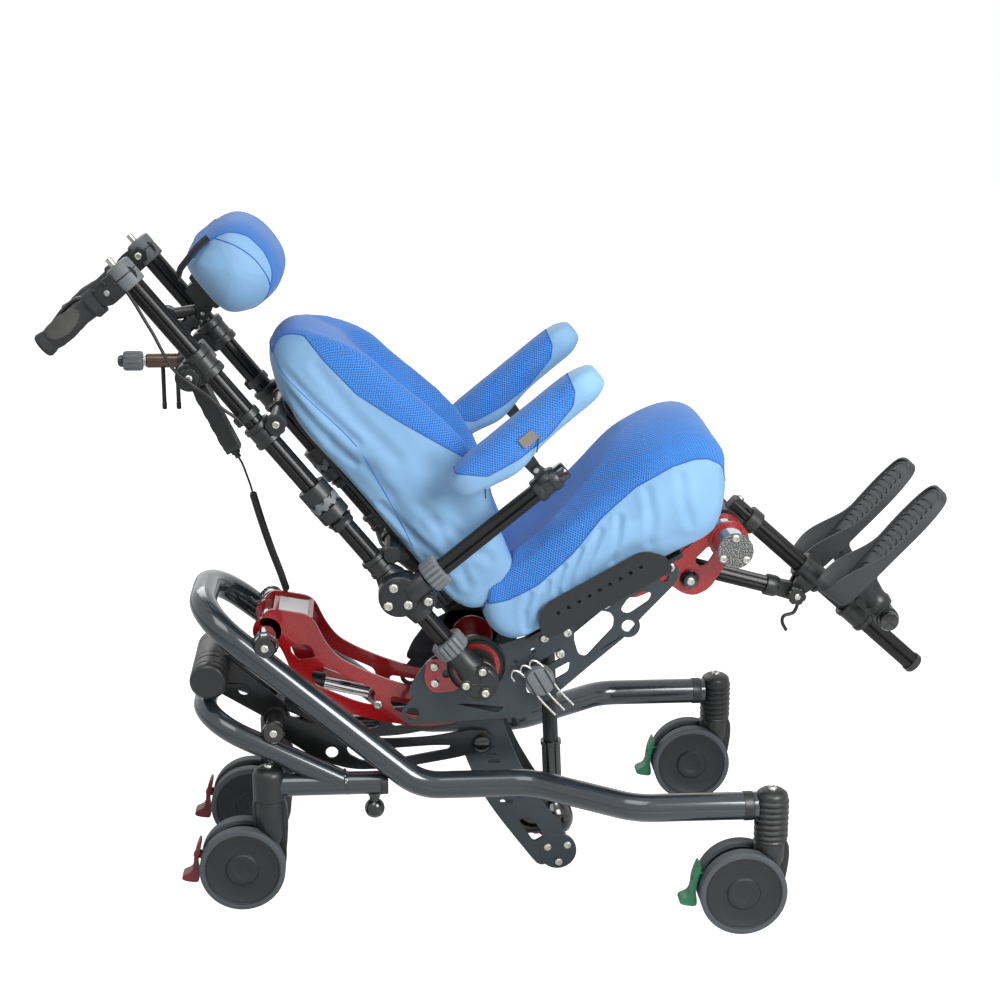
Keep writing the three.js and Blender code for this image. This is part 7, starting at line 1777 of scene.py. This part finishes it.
def back_folds(point, normal):
    """Long soft folds down the pale sides."""
    if point.x < BACK_REAR + 9:
        return 0.0
    wave = 0.6 * noise.noise(Vector((point.x, point.y, point.z)) * 0.014)
    side_ = max(0.0, min(1.0, (abs(point.y) - 86) / 18))
    return wave + (side_ * sum(crease(point.x, point.z, line, width, depth) for line, width, depth in back_folds_at) if side_ else 0)


def back_value(point):
    """Above zero on the mesh of the back cushion."""
    drop = 0.165 * max(0.0, BACK_HALF - abs(point.y)) * max(0.0, min(1.0, (point.z - BACK_LOW) / BACK_TALL * 2 - 0.8))
    x, z = point.x + 0.63 * drop, point.z + 0.78 * drop
    distance = line_distance(x, z, back_seam)
    side_value = distance if inside(x, z, back_front) else -distance
    level = (point.z - BACK_LOW) / BACK_TALL
    half = 0.84 * BACK_HALF * (1 - max(0.0, min(1.0, (level - 0.7) / 0.262)) ** 2.7) ** (1 / 2.7)
    inner = 2.4 * max(0.0, half - abs(point.y))
    return min(side_value + inner, point.x - (BACK_REAR + 0.2 * BOLSTER))


stations = [math.sin(math.radians(90) * step / 20) for step in range(-20, 21)]
back_skin = stuffed("back_cushion_cover", loft([back_ring(station) for station in stations]), BACK, 6, back_room, back_folds)
back_runs = two_cloths(back_skin, BACK, back_value, lambda point: (abs(point.y), point.z + (144 - point.x) * ramp(point.z, 470, 540), point.x))
finish_pad(back_skin, "back", "back_cushion", "back_cushion_cover")
stitch = [traced(back_skin, BACK, side_line(BACK_STITCH), BACK_HALF + 60, sign) for sign in (-1, 1)]
thread_piece("back_cushion_seam", back_runs, 1.1, "back")
thread_piece("back_cushion_stitch", [run for run in stitch if len(run) > 4], 0.6, "back")
print("back seam runs:", len(back_runs))

# %% [markdown]
# The seat cushion is low at the back, rises to a crest and rolls over in front. Mesh covers the top,
# pale fabric the sides, and a piped seam runs between them. Its underside stays flat on the pan.

# %% Seat cushion
SEAT_LENGTH, SEAT_HEIGHT, SEAT_START, SEAT_FLOOR, SEAT_HALF = 417, 175, 42, 6, 124
seat_shares = [(0, 0.2), (0.02, 0.5), (0.1, 0.6), (0.26, 0.66), (0.43, 0.78), (0.62, 0.93), (0.76, 1), (0.88, 0.99), (0.96, 0.9),
               (1, 0.7), (0.98, 0.45), (0.92, 0.18), (0.84, 0.01), (0.7, 0), (0.45, 0), (0.2, 0), (0.06, 0.02)]


def seat_ring(share_):
    """The seat cushion's outline at a share of its half width."""
    loop = smooth_loop([(SEAT_START + a * SEAT_LENGTH, SEAT_FLOOR + b * SEAT_HEIGHT) for a, b in seat_shares], 6)
    dish = 13 * (1 - min(abs(share_) / 0.82, 1) ** 2)
    crown = 33 * share_ ** 2
    middle = SEAT_FLOOR + SEAT_HEIGHT / 2
    shaped = []
    for place in loop:
        front = ramp(place.x, SEAT_START + 0.3 * SEAT_LENGTH, SEAT_START + 0.72 * SEAT_LENGTH)
        drop = dish * (1 - front) + crown * front
        shaped.append(Vector((place.x, place.y - drop * max(0.0, min(1.0, (place.y - middle + 10) / 45)))))
    edge = max(0.0, (abs(share_) - 0.78) / 0.22)
    shaped = drawn_in(shaped, 3.5 + 26 * (1 - math.sqrt(max(0.0, 1 - edge * edge))))
    return [Vector((place.x, share_ * (SEAT_HALF - 4), max(SEAT_FLOOR + 2.5, place.y))) for place in shaped]


def seat_room(point):
    """How far the seat cushion may swell."""
    if point.z < SEAT_FLOOR + 8:
        return 0.4
    if point.x < 85:
        return 1.5
    return 7 if point.z > 60 else 4


SEAT_SEAM = [(0.001, 0.485), (0.046, 0.43), (0.116, 0.377), (0.226, 0.379), (0.305, 0.424), (0.384, 0.47), (0.52, 0.588),
             (0.675, 0.677), (0.813, 0.688), (0.886, 0.654), (0.928, 0.602), (0.955, 0.509), (0.959, 0.402), (0.962, 0.34)]
seat_seam = [(place.x, place.y) for place in shares(SEAT_SEAM, SEAT_LENGTH, SEAT_HEIGHT, SEAT_START, SEAT_FLOOR)]
seat_top = [(-60, seat_seam[0][1])] + seat_seam + [(700, seat_seam[-1][1]), (700, 400), (-60, 400)]
seat_folds_at = [([(150, 30), (160, 58), (182, 78)], 5, 3.0), ([(172, 40), (186, 66), (214, 88)], 5, 2.6), ([(196, 40), (214, 66), (250, 96)], 6, 2.6),
                 ([(244, 46), (262, 70), (282, 98)], 6, 2.2), ([(92, 22), (102, 48), (120, 66)], 6, 2.6), ([(116, 14), (128, 44), (150, 68)], 6, 2.4),
                 ([(302, 46), (322, 76), (334, 112)], 8, 1.8), ([(364, 40), (372, 80), (384, 108)], 8, 1.6)]


def seat_folds(point, normal):
    """Pulled folds low on the pale sides, with a faint waviness everywhere."""
    wave = 0.5 * noise.noise(Vector((point.x, point.y, point.z)) * 0.018)
    side_ = max(0.0, min(1.0, (abs(point.y) - 92) / 18))
    if side_ <= 0 or point.z < SEAT_FLOOR + 6:
        return wave * (0 if point.z < SEAT_FLOOR + 6 else 1)
    return wave + side_ * sum(crease(point.x, point.z, line, width, depth) for line, width, depth in seat_folds_at)


def seat_value(point):
    """Above zero on the mesh of the seat cushion."""
    distance = line_distance(point.x, point.z, seat_seam)
    side_value = distance if inside(point.x, point.z, seat_top) else -distance
    upper = max(0.0, min(1.0, (point.z - SEAT_FLOOR - 50) / 20))
    return side_value + 1.5 * upper * max(0.0, SEAT_HALF * 0.86 - abs(point.y))


room_for_back = bpy.data.objects.new("room_for_back", back_skin.data.copy())
bpy.context.scene.collection.objects.link(room_for_back)
outward = [vertex.normal.copy() for vertex in room_for_back.data.vertices]
for vertex, normal in zip(room_for_back.data.vertices, outward):
    vertex.co += normal * (1.6 * MM)
seat_skin = stuffed("seat_cushion_cover", loft([seat_ring(station) for station in stations]), SEAT, 5.5, seat_room, seat_folds, room_for_back)
bpy.data.objects.remove(room_for_back)
seat_runs = two_cloths(seat_skin, SEAT, seat_value, lambda point: (abs(point.y), point.x + (176 - point.z) * ramp(point.x, 340, 440), point.z))
finish_pad(seat_skin, "seat", "seat_cushion", "seat_cushion_cover")
thread_piece("seat_cushion_seam", seat_runs, 1.1, "seat")
print("seat seam runs:", len(seat_runs))

# %% [markdown]
# The headrest is a drum-shaped pad: pale cheeks gathered round it, mesh over the front and the top,
# and black webbing that straps it to its plate at the rear.

# %% Headrest
HEAD_X, HEAD_Z, HEAD_DEPTH, HEAD_TALL, HEAD_HALF = 112, 655, 118, 128, 112
head_shares = [(-0.5, 0.28), (-0.42, 0.44), (-0.2, 0.5), (0.1, 0.5), (0.34, 0.42), (0.48, 0.2), (0.5, -0.1), (0.42, -0.34), (0.2, -0.48),
               (-0.1, -0.5), (-0.36, -0.42), (-0.5, -0.24)]


def head_ring(share_):
    """The headrest's outline at a share of its half width."""
    taper = math.sqrt(max(1 - abs(share_) ** 4, 0.03))
    loop = smooth_loop([(HEAD_X + a * HEAD_DEPTH * taper, HEAD_Z + b * HEAD_TALL * taper) for a, b in head_shares], 6)
    return [Vector((place.x, share_ * (HEAD_HALF - 4), place.y)) for place in drawn_in([Vector((p.x, p.y)) for p in loop], 3)]


HEAD_SEAM = [(78, 710), (115, 715), (141, 705), (160, 680), (163, 649), (154, 622), (141, 603.5)]
head_front = [(78, 900)] + HEAD_SEAM + [(141, 400), (500, 400), (500, 900)]


def head_value(point):
    """Above zero on the mesh of the headrest."""
    distance = line_distance(point.x, point.z, HEAD_SEAM)
    side_value = distance if inside(point.x, point.z, head_front) else -distance
    inner = 1.1 * max(0.0, HEAD_HALF * 0.8 - abs(point.y))
    return min(side_value + inner, max(point.x - 78, point.z - 705)) if inner else side_value


def head_folds(point, normal):
    """A gathered waviness on the cheeks."""
    side_ = max(0.0, min(1.0, (abs(point.y) - 70) / 25))
    angle = math.atan2(point.z - HEAD_Z, point.x - HEAD_X)
    return 0.5 * noise.noise(Vector((point.x, point.y, point.z)) * 0.03) + side_ * 0.7 * math.sin(angle * 9 + 1.3) * noise.noise(
        Vector((math.cos(angle) * 2, math.sin(angle) * 2, 3.1)))


head_skin = stuffed("headrest_cover", loft([head_ring(station) for station in stations]), BACK, 4.5, lambda point: 4, head_folds)
head_runs = two_cloths(head_skin, BACK, head_value, lambda point: (
    abs(point.y), 61 * math.atan2(point.z - HEAD_Z, point.x - HEAD_X), math.hypot(point.z - HEAD_Z, point.x - HEAD_X)))
finish_pad(head_skin, "headrest", "headrest", "headrest_cover")
HEAD_STITCH = [(117, 704.5), (133, 682.5), (142, 652), (139, 622), (131, 606)]
stitch = [traced(head_skin, BACK, HEAD_STITCH, HEAD_HALF + 40, sign) for sign in (-1, 1)]
thread_piece("headrest_seam", head_runs + [run for run in stitch if len(run) > 4], 0.9, "headrest")
strap_parts = []
for sign in (-1, 1):
    ear = link(26, 632, 9.6, 66, 652, 9.6, -12.3, -8.3, [circle(26, 632, 3.4)])
    strap_parts.append((flipped(ear, sign), satin_black))
    for lean in (0, 4.5):
        band = [(49, 88 + lean * 0.3, 700 - lean), (57, 92, 705 - lean), (70, 94, 708 - lean), (84, 95, 711 - lean), (98, 92, 713 - lean), (112, 88, 713 - lean)]
        strap_parts.append((flipped(tube(smooth_line([(x, -y, z) for x, y, z in band], 5), 2.4, 10), sign), webbing_black))
    strap_parts.append((flipped(bar(1.6, (49, -88, 700), (43, -87, 690), 10, 0.3), sign), webbing_black))
strap_parts += [(box((46, -30, 626), (58, 30, 684), 8), moulded_black), (box((29, -24, 640), (52, 24, 674), 7), moulded_black)]
piece("headrest_plate_and_straps", strap_parts, BACK, "headrest", (), 0.5)

# %% [markdown]
# The arm pads are long and flat, with mesh on top and over the sides, and a pale nose that folds in
# underneath. A small blank grey tag sits in the side seam.

# %% Arm pads
PAD_Y, PAD_LENGTH, PAD_WIDTH, PAD_HEIGHT, PAD_START = 167, 250, 62, 50, 155
PAD_LOW = ARM_Z_HUB + 52
pad_shares = [(-0.5, 0.3), (-0.42, 0.46), (-0.2, 0.5), (0.2, 0.5), (0.42, 0.46), (0.5, 0.3), (0.5, -0.1), (0.42, -0.34), (0.2, -0.5),
              (-0.2, -0.5), (-0.42, -0.34), (-0.5, -0.1)]
PAD_SEAM = [(140, 300), (158, 279), (184, 260), (204, 240), (252, 231), (300, 229), (352, 242), (366, 256), (372, 276), (378, 300)]


def pad_ring(place_):
    """The arm pad's section at a share of its length."""
    toward_end = abs(place_ - 0.5) * 2
    size = 1 - 0.42 * max(0.0, (toward_end - 0.72) / 0.28) ** 2.4
    along_ = PAD_START + place_ * PAD_LENGTH
    sag = 11 * math.exp(-(((along_ - 238) / 36) ** 2))
    loop = smooth_loop([(a * PAD_WIDTH * size, b * PAD_HEIGHT * size - (sag if b < -0.2 else 0)) for a, b in pad_shares], 5)
    return [Vector((PAD_START + place_ * PAD_LENGTH, -PAD_Y + place.x, PAD_LOW + PAD_HEIGHT / 2 + place.y))
            for place in drawn_in([Vector((p.x, p.y)) for p in loop], 1.6)]


def pad_value(point):
    """Above zero on the mesh of an arm pad."""
    distance = line_distance(point.x, point.z, PAD_SEAM)
    return distance if inside(point.x, point.z, PAD_SEAM + [(378, 500), (140, 500)]) else -distance


def pad_folds(point, normal):
    """A faint waviness, more at the pale nose."""
    nose = max(0.0, min(1.0, (point.x - 360) / 30)) + max(0.0, min(1.0, (195 - point.x) / 30))
    return (0.4 + 0.6 * nose) * noise.noise(Vector((point.x, point.y, point.z)) * 0.035)


pad_stations = [0.5 - 0.5 * math.cos(math.pi * step / 30) for step in range(31)]
for name, sign in SIDES:
    skin = stuffed(f"arm_pad_cover_{name}", flipped(loft([pad_ring(station) for station in pad_stations]), sign), BACK, 4,
                   lambda point: 3 if point.z > PAD_LOW + 6 else 1.5, pad_folds)
    runs = two_cloths(skin, BACK, pad_value, lambda point: (abs(point.y), point.x, point.z))
    finish_pad(skin, f"arm_pad_{name}", f"arm_pad_{name}", f"arm_pad_cover_{name}")
    thread_piece(f"arm_pad_seam_{name}", runs, 0.9, f"arm_pad_{name}")
    lug = link(256, 197, 8, 256, 229, 11, -163.2, -152.8, [circle(256, 197, 4.3)])
    tag = box((266, -200.4, 238), (290, -198.4, 253), 1)
    pull = bar(0.9, (289, -196, 237), (275, -196, 223), 10, 0.3)
    other = bar(0.9, (190, -192, 228), (182, -192, 217), 10, 0.3)
    piece(f"arm_pad_lug_{name}", [(flipped(lug, sign), moulded_black), (flipped(tag, sign), tag_grey),
                                  (flipped(joined(pull, other), sign), webbing_black)],
          BACK, f"arm_pad_{name}", (), 0.3)

# %% [markdown]
# Last, the number of pieces that were made is printed.

# %% Pieces made
print("pieces made:", len(made_pieces))
